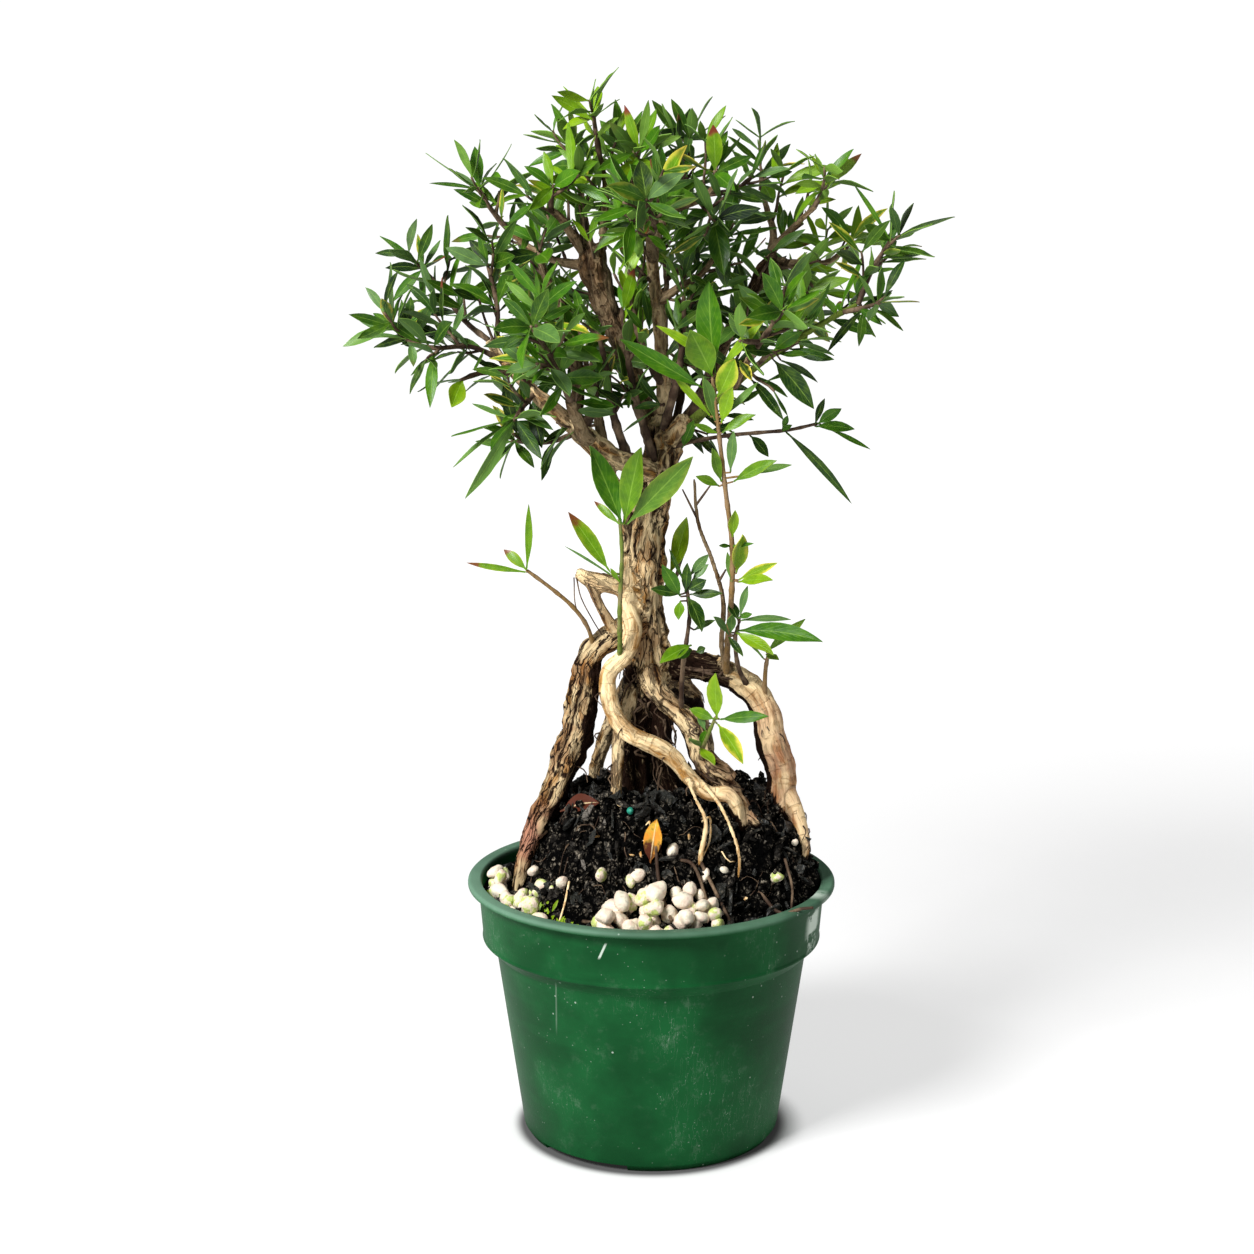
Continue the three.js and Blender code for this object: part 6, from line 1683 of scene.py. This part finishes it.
def place_seen_leaves(spray):
    """Puts the leaves that are seen in place of the ruled ones, with a stalk for each."""
    seats = [point for line in spray.lines for point, _ in fine_twig(line)]
    leaves = []
    for k, (foot_x, foot_z, *tip, width, look) in enumerate(SEEN_LEAVES[spray.name]):
        seat = min(seats, key=lambda point: math.hypot(point.x - foot_x, point.z - foot_z))
        foot = Vector((foot_x, seat.y - 0.8, foot_z))
        leaf = Leaf(foot, Vector(tip), width, 0.4 * (draw(89, spray.number, k, 0) - 0.5))
        leaf.aim = Vector((1.2 * (draw(89, spray.number, k, 1) - 0.5), -1, 0.35))
        leaf.curl = 0.24 * (draw(89, spray.number, k, 2) - 0.5)
        leaf.tone = LOOKS[look]
        leaves.append(leaf)
        spray.lines.append([(seat, 0.6), (foot, 0.4)])
        for share in LEAF_SAMPLES:
            spray.room.keep_view(leaf.midrib(share), leaf.half_width(share), spray.number, share)
    spray.leaves = leaves


def spray_mesh(spray, thickness):
    """Twigs with their leaves in one mesh, bark first and then leaves, and which of the two each part is."""
    dress_leaves(spray)
    slim = SLIM_STEM if spray.name in SEEN_LEAVES else 1.0
    parts = [tubes("twigs", [fine_twig(line, slim) for line in spray.lines])]
    large = [leaf for leaf in spray.leaves if leaf.width >= LARGE_BLADE]
    small = [leaf for leaf in spray.leaves if leaf.width < LARGE_BLADE]
    if large:
        parts.append(leaf_mesh("large_leaves", large, 4, 14, thickness))
    if small:
        parts.append(leaf_mesh("small_leaves", small, 2, 10, thickness))
    return joined(spray.name, *parts), [0] + [1] * (len(parts) - 1)


def fine_twig(line, slim=1.0):
    """A twig's line with closer points and a little swelling at each node."""
    route = [(*point, slim * radius) for point, radius in line]
    fine = smooth_route(route, 2.2)
    return [(point, radius * (1.16 if k % 4 == 2 else 0.96)) for k, (point, radius) in enumerate(fine)]


def grow_extra(room, sprays):
    """The rest of the leaves: half-way pairs and side shoots on the sprays, and shoots on the limbs."""
    for spray in sprays:
        if spray.name in SEEN_LEAVES:
            place_seen_leaves(spray)
    for name, start in BARE_LIMBS.items():
        line = smooth_route(LIMBS[name], 4)
        for point, radius in line[int(start * len(line)):]:
            room.keep_view(point, radius, "wood")
    for spray in sprays:
        if spray.name in SEEN_LEAVES or SPRAYS[spray.name].get("bare"):
            continue
        spray.margin = CLOSE_MARGIN
        spray.slim = SLIM_LEAF
        spray.grow_pairs(FIRST_NODE + 0.5 * NODE_SPACING, 400, 0.9)
        spray.grow_shoots(side_shoots(spray))
    heart = Spray("heart_twigs", 99, spray_lines(HEART), room, CLOSE_MARGIN)
    heart.slim = SLIM_LEAF
    heart.grow_pairs()
    heart.grow_shoots(side_shoots(heart)[::2])
    fillers = [heart]
    for number, name in enumerate(LEAFY_LIMBS):
        filler = Spray(f"{name}_shoots", 100 + number, [], room, CLOSE_MARGIN)
        filler.slim = SLIM_LEAF
        filler.grow_shoots(limb_shoots(name, number))
        fillers.append(filler)
    return fillers


# Pellets on the soil: where the two heaps lie (from and to, in degrees round the pot, and how
# near the middle they reach), how many each has, and the ones that lie singly.
PELLET_SIZE = (3.0, 4.2)
PELLET_CHOICES = 14
HEAP_EDGE = 75.2
HEAPS = {"pellet_heap_front": (-107, -66, 56, 33), "pellet_heap_left": (-188, -134, 66, 19)}
SINGLE_PELLETS = {"pellet_left": (-22, -46.5, 3), "pellet_middle": (8.5, -43, 3.4),
                  "pellet_right": (54, -37, 3.2), "pellet_far_left": (-52, -15.5, 3.2)}
LOOSE_PELLETS = [(-6.6, -51, 3.0), (-9.4, -52.6, 2.8), (-39, -36, 3.0), (-49, -27, 3.0), (-52, -26, 2.7),
                 (-50.5, -30, 2.6), (-44, -33, 1.4), (-24, -61, 2.9), (-26, -65, 2.2), (22.6, -49, 2.4),
                 (-3, -53, 1.7), (31, -46, 2.0), (63, -20, 1.8), (40, 52, 3.1), (10, 66, 3.0), (-34, 57, 2.8)]
PRILLS = [(-9.6, -32, 2.2), (-6, 1.5, 1.7)]

# How high a pellet's middle stands over the soil, in its radius, and how close two of them come.
SUNK = 0.55
PRESSED = 0.8


def dropped(placed, x, y, radius):
    """The height at which a ball let down at a place comes to rest on the soil or on others."""
    rest = fine_ground(x, y) + SUNK * radius
    for other_x, other_y, other_z, other_radius in placed:
        flat = math.hypot(x - other_x, y - other_y)
        reach = PRESSED * (radius + other_radius)
        if flat < reach:
            rest = max(rest, other_z + math.sqrt(reach ** 2 - flat ** 2))
    return rest


def heap_spots(number, start, end, nearest, count):
    """Lets the pellets of a heap down one by one, each to the lowest of a few seeded places."""
    placed = []
    for k in range(count):
        radius = blend_of(*PELLET_SIZE, draw(33, number, k, 0))
        best = None
        for choice in range(PELLET_CHOICES):
            angle = math.radians(blend_of(start, end, draw(34, number, k, choice)))
            farthest = HEAP_EDGE - 1.25 * radius
            away = blend_of(nearest, farthest, draw(35, number, k, choice) ** 0.6)
            x, y = away * math.cos(angle), away * math.sin(angle)
            z = dropped(placed, x, y, radius)
            if best is None or z - soil_height(x, y) < best[2] - soil_height(best[0], best[1]):
                best = (x, y, z, radius)
        placed.append(best)
    return placed


def resting(spots):
    """Single pellets let down on the soil at spots (x, y, radius)."""
    return [(x, y, dropped([], x, y, radius), radius) for x, y, radius in spots]


def pellet_mesh(name, spots, seed):
    """Dented pellets at spots (x, y, z, radius). More of them are greenish at the left."""
    template = ball_template(3, True)
    mesh = turned_copies(name, template, spots, seed, (1.2, 0.95, 0.86), 0.0)
    places = coordinates(mesh) / MM
    for k, place in enumerate(places):
        centre = np.array(spots[k // len(template.vertices)][:3])
        dent = noise.noise(Vector(place) * 0.33) * 0.26 + noise.noise(Vector(place) * 1.1) * 0.035
        places[k] = centre + (place - centre) * (1 + dent)
    mesh.vertices.foreach_set("co", (places * MM).astype(np.float32).ravel())
    tones = []
    for k, (x, *_) in enumerate(spots):
        green = 0.9 if x < -18 and draw(91, seed, k, 0) < 0.5 or draw(91, seed, k, 1) < 0.15 else 0.1
        tones.append((green, 0.55 * draw(92, seed, k, 0), 0, 1))
    carry(mesh, "pellet_tone", np.repeat(tones, len(template.vertices), axis=0))
    mesh.update()
    return mesh


# Fine roots, stalks and bits on the soil: places (x, y, height above the soil) and radii.
FINE_ROOTS = [
    [(22, -30, 3, 0.6), (25, -35, 4.5, 0.5), (25, -41, 1.6, 0.4), (22, -46, 0.6, 0.3)],
    [(30, -42, 2.5, 0.35), (33, -44, 5, 0.3), (36, -42, 2, 0.3), (34, -40, 0.6, 0.3)],
    [(-36, -38, 1.2, 0.6), (-38, -46, 2.6, 0.5), (-41, -54, 1.0, 0.4), (-44, -61, 0.8, 0.3)],
]
STALKS = [
    [(1.5, -48, 8, 0.7), (2.5, -52, 3, 0.8), (5, -60, 3, 0.8), (8, -68, 5, 0.7)],
    [(10, -44.5, 1, 0.8), (17, -49, 3.4, 0.8), (24, -56, 1.2, 0.7)],
    [(20, -46, 2, 0.9), (28, -55, 2.5, 0.8), (33, -61, 1, 0.7)],
    [(46, -46, 2, 0.8), (55, -52, 4, 0.8), (64, -53, 8.5, 0.7), (69, -54, 8, 0.6)],
    [(58, -32, 8, 0.7), (61, -38, 4, 0.6), (60, -46, 1, 0.6)],
    [(-30, -56, 0.8, 0.8), (-22, -60, 2.0, 0.8), (-12, -64, 1.0, 0.7)],
]

# Tufts of moss and bits of chaff: places (x, y) on the soil.
MOSS = [(-66, -20), (-63, -25), (-60, -30), (-57, -37), (-49, -37), (-52, -33), (-69, -14), (-41, -52),
        (-37, -56), (-45, -46)]
BLADES_IN_TUFT = 9
CHAFF = [(-8.7, -43.5), (-5, -43), (-1.8, -35), (-3, -41), (-24, -33), (16, -40), (40, -50), (-14, -22)]
CHAFF_SIZE = 1.3

# Fallen leaves: the node, foot and tip (x, y, height above the soil), turn, tone and bend.
FALLEN_LEAVES = {
    "standing_leaf": ("fallen_leaf", (-1, -45.5, -1), (2, -48, 19), -0.2, (0.35, 0, 0, 0.3), 0.0),
    "lying_leaf": ("dry_leaf", (-40.5, -14.5, 4.5), (-23, -19, 3.4), 0.3, (1.0, 0, 0, 0.7), -0.5),
}
FALLEN_LEAF_WIDTH = 8.5

# Twiglets on the dead twigs and stubs: routes of points (x, y, z, radius).
TWIGLETS = [
    [(20, -11, 281, 0.6), (16, -12, 289, 0.5), (13, -12, 295, 0.35)],
    [(19, -11, 288, 0.6), (23, -13, 294, 0.5), (25, -14, 297, 0.35)],
    [(29, -10, 254, 0.7), (32, -13, 260, 0.4)],
    [(-33, -11, 257, 0.4), (-31, -13, 248, 0.3), (-26, -13, 238, 0.3), (-22, -12, 231, 0.25)],
    [(-34, -10, 256, 0.3), (-33, -13, 243, 0.25), (-27, -14, 233, 0.2)],
    [(-28, -12, 254, 0.3), (-25, -14, 246, 0.25), (-22, -13, 240, 0.2)],
]

# How many thin roots, hairs and strands there are, and the roots that the strands creep over.
ROOTLETS = 54
ROOT_HAIRS = 64
ROOT_STRANDS = 110
MIDDLE_ROOTS = ("root_centre", "root_centre_right", "inner_root", "root_centre", "root_knobby", "right_arch")


def on_soil(x, y, above=0.0):
    """A place at a height above the soil."""
    return Vector((x, y, fine_ground(x, y) + above))


def ground_line(route):
    """A route given by heights above the soil, as a line in space."""
    return smooth_route([(*on_soil(x, y, above), radius) for x, y, above, radius in route], 2.5)


def rootlets():
    """Thin roots that wander over the root ball, half sunk in it."""
    lines = []
    for k in range(ROOTLETS):
        angle = blend_of(-3.3, 0.6, draw(101, k, 0, 0))
        away = blend_of(30, 66, draw(101, k, 1, 0))
        heading = 2 * math.pi * draw(101, k, 2, 0)
        x, y = ROOT_BALL_CENTRE[0] + away * math.cos(angle), away * math.sin(angle)
        radius = blend_of(0.18, 0.4, draw(101, k, 3, 0) ** 2)
        route = []
        for step in range(4 + k % 4):
            above = blend_of(-0.5, 1.3, draw(102, k, step, 0))
            route.append((x, y, above, radius * (1 - 0.1 * step)))
            heading += 1.6 * (draw(102, k, step, 1) - 0.5)
            x, y = x + 3.4 * math.cos(heading), y + 3.4 * math.sin(heading)
            if math.hypot(x, y) > 70:
                break
        if len(route) > 1:
            lines.append(ground_line(route))
    return lines


def root_hairs():
    """Short thin strands that hang from the bare roots."""
    lines = []
    roots = [name for name in LIMBS if name.startswith("root_")]
    for k in range(ROOT_HAIRS):
        line = smooth_route(LIMBS[roots[k % len(roots)]], 2)
        point, radius = line[int(blend_of(0.15, 0.75, draw(104, k, 0, 0)) * len(line))]
        turn = 2 * math.pi * draw(104, k, 1, 0)
        out = Vector((math.cos(turn), math.sin(turn), 0.2))
        length = blend_of(4, 11, draw(104, k, 2, 0) ** 2)
        middle = point + out * (radius + 0.35 * length) - UP * (0.3 * length)
        sway = Vector((draw(104, k, 3, 0) - 0.5, draw(104, k, 4, 0) - 0.5, -0.6))
        route = [(*(point + out * 0.8 * radius), 0.4), (*middle, 0.3), (*(middle + sway * 0.8 * length), 0.2)]
        lines.append(smooth_route(route, 2))
    return lines


def root_strands():
    """Thin roots that creep down over the roots in the middle."""
    lines = []
    for k in range(ROOT_STRANDS):
        line = smooth_route((LIMBS | KNUCKLES)[MIDDLE_ROOTS[k % len(MIDDLE_ROOTS)]], 3)
        start = int(draw(105, k, 0, 0) * (len(line) - 4))
        turn = blend_of(-3.0, 0.2, draw(105, k, 1, 0))
        thick = blend_of(0.35, 0.95, draw(105, k, 2, 0) ** 2)
        route = []
        for step, (point, radius) in enumerate(line[start:start + 4 + k % 4]):
            out = Vector((math.cos(turn), math.sin(turn), 0))
            away = radius + blend_of(0.1, 1.6, draw(106, k, step, 0))
            route.append((*(point + out * away), thick * (1 - 0.1 * step)))
            turn += 1.3 * (draw(106, k, step, 1) - 0.5)
        lines.append(smooth_route(route, 2))
    return lines


def moss_mesh():
    """Tufts of small green blades on the soil at the left of the pot."""
    leaves = []
    for tuft, (x, y) in enumerate(MOSS):
        for k in range(BLADES_IN_TUFT):
            turn = 2 * math.pi * draw(103, tuft, k, 0)
            away = 2.6 * draw(103, tuft, k, 1)
            base = on_soil(x + away * math.cos(turn), y + away * math.sin(turn))
            lean = Vector((math.cos(turn), math.sin(turn), 0.9 + 0.9 * draw(103, tuft, k, 2)))
            tip = base + lean.normalized() * (3 + 3.5 * draw(103, tuft, k, 3))
            leaf = Leaf(base, tip, 1.6, draw(103, tuft, k, 4) - 0.5)
            leaf.tone = (0.9, 0.2, 0, draw(103, tuft, k, 5))
            leaves.append(leaf)
    return leaf_mesh("moss", leaves, 2, 4, 0.25)


def fallen_leaf(foot, tip, turn, tone, bend):
    """A leaf that lies or stands on the soil, between two places given by their heights above it."""
    leaf = Leaf(on_soil(*foot), on_soil(*tip), FALLEN_LEAF_WIDTH, turn)
    leaf.tone = tone
    leaf.bend = bend
    return leaf


def length_setting(name, description, default, **limits):
    """A length in metres."""
    return bpy.props.FloatProperty(name=name, description=description, default=default, subtype="DISTANCE",
                                   unit="LENGTH", precision=4, **limits)


def colour_setting(name, description, code):
    """A colour, from its usual six-figure code."""
    return bpy.props.FloatVectorProperty(name=name, description=description, default=colour(code), size=4,
                                         min=0, max=1, subtype="COLOR")


class BonsaiSizes(bpy.types.PropertyGroup):
    """Sizes of the pot, the wood and the leaves."""

    rim_radius: length_setting("Rim radius", "Radius of the pot's rim", 0.0825, min=0.08, max=0.085)
    height: length_setting("Pot height", "Height of the pot", 0.118, min=0.115, max=0.12)
    detail: length_setting("Bark detail", "Spacing of the points on the bark", 0.00095, min=0.0005)
    furrow_depth: length_setting("Furrow depth", "Depth of the cracks in the trunk's bark", 0.0012, min=0)
    leaf_thickness: length_setting("Leaf thickness", "Thickness of a leaf", 0.0003, min=0.0001)
    soil_chips: bpy.props.IntProperty(name="Soil chips", description="Chips of bark and grit on the soil",
                                      default=3600, min=0, max=8000)


class BonsaiColours(bpy.types.PropertyGroup):
    """Colours of every finish."""

    dark_leaf: colour_setting("Dark leaf", "Old leaves in the shade", "081d0b")
    middle_leaf: colour_setting("Leaf", "Usual leaves", "36660a")
    young_leaf: colour_setting("Young leaf", "Young leaves and bright spots", "7a9c0c")
    # Painted sheen: a paler blue-green that stands in for glossy reflections on some leaves.
    painted_sheen_leaf: colour_setting("Waxy leaf", "Bloom on some of the leaves", "587748")
    underside: colour_setting("Underside", "Undersides of leaves", "40602f")
    young_underside: colour_setting("Young underside", "Undersides of young leaves", "6a9030")
    leaf_rib: colour_setting("Leaf rib", "Midribs and veins", "97bb4c")
    yellow_leaf: colour_setting("Yellowed leaf", "Yellowed edges", "d0c048")
    brown_leaf: colour_setting("Brown tip", "Dry tips", "6a2e1c")
    twig_bark: colour_setting("Twig", "Bark of the young twigs", "3a2a1f")
    green_stem: colour_setting("Green stem", "Green bark of the young shoots", "5e6e2a")
    stem_bark: colour_setting("Stem bark", "Brown bark of the young shoots", "7d6238")
    pale_bark: colour_setting("Pale bark", "Pale streaks on limbs and twigs", "8a745c")
    limb_bark: colour_setting("Limb bark", "Bark of the dark limbs", "3c2b1d")
    light_bark: colour_setting("Light bark", "Pale plates of the trunk and roots", "f2d8a8")
    middle_bark: colour_setting("Bark", "Tan bark", "ad7d40")
    brown_bark: colour_setting("Brown bark", "Browner patches", "8a5222")
    pink_bark: colour_setting("Pink bark", "Pink tint at the foot of the left root", "cf8f78")
    crevice: colour_setting("Crevice", "Cracks in the bark", "1c0f08")
    soil: colour_setting("Soil", "Moist soil", "020202")
    # Painted highlight on the lit edges of the soil's crumbs.
    crumb_highlight: colour_setting("Crumbs", "Drier crumbs", "a99e8c")
    soil_chip: colour_setting("Chips", "Brown chips of bark", "3a291e")
    soil_flake: colour_setting("Flakes", "Moist flakes of bark and leaf", "2b2e28")
    soil_grit: colour_setting("Grit", "Pale grit and fibres", "8c857c")
    pot: colour_setting("Pot", "Green plastic", "0b3d1d")
    pot_light: colour_setting("Pot, lighter", "Lighter clouds in the plastic", "14562b")
    # Pale rim: worn plastic with a painted highlight.
    rim_wear_and_highlight: colour_setting("Rim", "Worn edge of the rim", "7c9a88")
    pot_scuff: colour_setting("Scuffs", "Scuffs, specks and dust", "cfdccf")
    pellet: colour_setting("Pellet", "Pinkish pellets", "dcc6b2")
    pellet_light: colour_setting("Pellet, lighter", "Lighter pellets", "ece2d0")
    pellet_green: colour_setting("Pellet, greenish", "Pellets with a green bloom", "aebf5a")
    prill: colour_setting("Prill", "Coated prill", "136a58")
    prill_light: colour_setting("Prill, lighter", "Bloom on the prill", "2f9a80")
    dry_leaf: colour_setting("Fallen leaf", "Orange of the fallen leaves", "c9822c")
    dry_leaf_yellow: colour_setting("Fallen leaf, yellow", "Yellow of the fallen leaves", "dfba45")
    dry_leaf_red: colour_setting("Fallen leaf, red", "Reddish brown of the fallen leaves", "4d2416")


class BONSAI_OT_pot(bpy.types.Operator):
    """Makes the pot with its notches and drain holes"""

    bl_idname = "bonsai.pot"
    bl_label = "Pot"

    def execute(self, context):
        finish = pot_finish(context.scene.bonsai_colours)
        finished("nursery_pot", pot_mesh(context.scene.bonsai_sizes), [finish], "pot_plastic", "pot")
        return {"FINISHED"}


class BONSAI_OT_soil(bpy.types.Operator):
    """Makes the soil with its chips and grit"""

    bl_idname = "bonsai.soil"
    bl_label = "Soil"

    def execute(self, context):
        crumbs = soil_finish("soil_finish", 0.04, context.scene.bonsai_colours)
        flakes = soil_finish("flake_finish", 0.6, context.scene.bonsai_colours)
        mesh = soil_mesh(context.scene.bonsai_sizes.soil_chips)
        finished("potting_mix", mesh, [crumbs, crumbs, flakes], "soil_mix", "soil")
        return {"FINISHED"}


class BONSAI_OT_wood(bpy.types.Operator):
    """Makes the trunk, the roots and the limbs"""

    bl_idname = "bonsai.wood"
    bl_label = "Wood"

    def execute(self, context):
        finish = bark_finish(context.scene.bonsai_colours)
        finished("tree_wood", wood_mesh(context.scene.bonsai_sizes), [finish], "bark", "wood")
        return {"FINISHED"}


class BONSAI_OT_leaves(bpy.types.Operator):
    """Grows the twigs and leaves of the crown and the young shoots"""

    bl_idname = "bonsai.leaves"
    bl_label = "Twigs and leaves"

    def execute(self, context):
        colours = context.scene.bonsai_colours
        leaf = leaf_finish("leaf_finish", colours)
        twig = twig_finish("twig_finish", colours.twig_bark, colours.pale_bark, colours.crevice)
        green = twig_finish("stem_finish", colours.green_stem, colours.pale_bark, colours.twig_bark)
        brown = twig_finish("pale_stem_finish", colours.stem_bark, colours.pale_bark, colours.twig_bark)
        thickness = context.scene.bonsai_sizes.leaf_thickness / MM
        sprays, room = grow_crown()
        for spray in sprays + grow_extra(room, sprays):
            if not spray.leaves:
                continue
            mesh, order = spray_mesh(spray, thickness)
            bright = spray.name in BRIGHT_SPRAYS
            nodes = [spray.name] if spray.name in SPRAYS else []
            stem = brown if spray.name in BROWN_STEMS else green if bright else twig
            slot = "leaf_bright" if bright else "leaf"
            finished(f"{spray.name}_leaves", mesh, [(stem, leaf)[k] for k in order], slot, *nodes)
        return {"FINISHED"}


class BONSAI_OT_pellets(bpy.types.Operator):
    """Lays the fertiliser pellets and the prills on the soil"""

    bl_idname = "bonsai.pellets"
    bl_label = "Pellets"

    def execute(self, context):
        colours = context.scene.bonsai_colours
        pellet, prill = pellet_finish(colours), prill_finish(colours)
        for number, (name, heap) in enumerate(HEAPS.items()):
            mesh = pellet_mesh(name, heap_spots(number, *heap), 40 + number)
            finished(f"{name}_dressed", mesh, [pellet], "pellet", name)
        for number, (name, spot) in enumerate(SINGLE_PELLETS.items()):
            mesh = pellet_mesh(name, resting([spot]), 50 + number)
            finished(f"{name}_dressed", mesh, [pellet], "pellet", name)
        finished("loose_pellets", pellet_mesh("loose", resting(LOOSE_PELLETS), 60), [pellet], "pellet")
        mesh = pellet_mesh("prills", resting(PRILLS), 61)
        finished("green_prills", mesh, [prill], "prill_shell", "green_prill")
        return {"FINISHED"}


class BONSAI_OT_litter(bpy.types.Operator):
    """Lays fallen leaves, fine roots, stalks, moss and chaff on the soil"""

    bl_idname = "bonsai.litter"
    bl_label = "Litter"

    def execute(self, context):
        colours = context.scene.bonsai_colours
        dry, root = dry_leaf_finish(colours), root_finish(colours)
        twig = twig_finish("stalk_finish", colours.twig_bark, colours.pale_bark, colours.crevice)
        moss = leaf_finish("moss_finish", colours)
        for name, (node, *leaf) in FALLEN_LEAVES.items():
            mesh = leaf_mesh(name, [fallen_leaf(*leaf)], 8, 16, 0.3)
            finished(name, mesh, [dry], "dry_leaf", node)
        fine = tubes("fine_roots", [ground_line(route) for route in FINE_ROOTS])
        finished("fine_roots", fine, [root], "bark")
        stalks = [ground_line(route) for route in STALKS] + [smooth_route(route, 2) for route in TWIGLETS]
        stalks += rootlets() + root_hairs() + root_strands()
        finished("dry_stalks", tubes("dry_stalks", stalks), [twig], "bark")
        finished("moss_tufts", moss_mesh(), [moss], "leaf_bright")
        bits = [(x, y, fine_ground(x, y) + 0.5, CHAFF_SIZE) for x, y in CHAFF]
        mesh = turned_copies("chaff", ball_template(2, True), bits, 64, (1.2, 0.8, 0.35), 0.25)
        finished("chaff", mesh, [root], "dry_leaf")
        return {"FINISHED"}


# The photograph's width and focal length in pixels, and the camera that was fitted to it.
PHOTO_WIDTH = 1254
FOCAL_PIXELS = 2400
SENSOR_WIDTH = 36
CAMERA_PLACE = (-0.0109, -1.0384, 0.4435)
CAMERA_TILT = 0.201

# Square soft lights: place, size and power. They face one place on the tree's axis.
LIGHTS = {"key": ((-0.85, -0.95, 1.2), 0.5, 47), "fill": ((1.2, -0.8, 0.6), 1.0, 1.0),
          "top": ((0.1, 0.4, 1.6), 0.8, 5)}
LIT_PLACE = (0, 0, 0.22)
FLOOR_RADIUS = 6
EVEN_LIGHT = 0.1
BACKDROP = 1.05


class BONSAI_OT_stage(bpy.types.Operator):
    """Sets the pale floor, the soft studio lights and the camera"""

    bl_idname = "bonsai.stage"
    bl_label = "Stage"

    def execute(self, context):
        scene = context.scene
        shape = bmesh.new()
        bmesh.ops.create_circle(shape, cap_ends=True, segments=96, radius=FLOOR_RADIUS)
        floor = placed("floor", mesh_of(shape, "floor"))
        floor.data.materials.append(floor_finish())
        for name, light in LIGHTS.items():
            add_light(name, *light)
        scene.world = studio_world()
        scene.view_settings.view_transform = "Standard"
        lens = bpy.data.cameras.new("camera")
        lens.sensor_width = SENSOR_WIDTH
        lens.lens = FOCAL_PIXELS / PHOTO_WIDTH * SENSOR_WIDTH
        camera = placed("camera", lens)
        camera.location = CAMERA_PLACE
        camera.rotation_euler = (math.pi / 2 - CAMERA_TILT, 0, 0)
        scene.camera = camera
        return {"FINISHED"}


def studio_world():
    """White behind the tree, and a dimmer even light from all round it."""
    world = bpy.data.worlds.new("studio")
    world.use_nodes = True
    nodes, links = world.node_tree.nodes, world.node_tree.links
    seen = nodes.new("ShaderNodeLightPath")
    strength = nodes.new("ShaderNodeMapRange")
    strength.inputs["To Min"].default_value = EVEN_LIGHT
    strength.inputs["To Max"].default_value = BACKDROP
    links.new(seen.outputs["Is Camera Ray"], strength.inputs["Value"])
    links.new(strength.outputs[0], nodes["Background"].inputs["Strength"])
    nodes["Background"].inputs["Color"].default_value = (1, 1, 1, 1)
    return world


def add_light(name, place, size, power):
    """A square soft light that faces the tree."""
    light = bpy.data.lights.new(name, "AREA")
    light.size = size
    light.energy = power
    lamp = placed(name, light)
    lamp.location = place
    lamp.rotation_euler = (Vector(LIT_PLACE) - Vector(place)).to_track_quat("-Z", "Y").to_euler()


OPERATORS = (BONSAI_OT_pot, BONSAI_OT_soil, BONSAI_OT_wood, BONSAI_OT_leaves, BONSAI_OT_pellets,
             BONSAI_OT_litter, BONSAI_OT_stage)


class BONSAI_PT_parts(bpy.types.Panel):
    """Lists the pieces and their sizes"""

    bl_label = "Bonsai"
    bl_idname = "BONSAI_PT_parts"
    bl_space_type = "VIEW_3D"
    bl_region_type = "UI"
    bl_category = "Bonsai"

    def draw(self, context):
        for settings in (context.scene.bonsai_sizes, context.scene.bonsai_colours):
            for name in settings.__annotations__:
                self.layout.prop(settings, name)
        for operator in OPERATORS:
            self.layout.operator(operator.bl_idname)


CLASSES = (BonsaiSizes, BonsaiColours, *OPERATORS, BONSAI_PT_parts)


def register():
    for each in CLASSES:
        bpy.utils.register_class(each)
    bpy.types.Scene.bonsai_sizes = bpy.props.PointerProperty(type=BonsaiSizes)
    bpy.types.Scene.bonsai_colours = bpy.props.PointerProperty(type=BonsaiColours)


def unregister():
    del bpy.types.Scene.bonsai_colours
    del bpy.types.Scene.bonsai_sizes
    for each in reversed(CLASSES):
        bpy.utils.unregister_class(each)


def main():
    register()
    for operator in OPERATORS:
        group, name = operator.bl_idname.split(".")
        getattr(getattr(bpy.ops, group), name)()


if __name__ == "__main__":
    main()
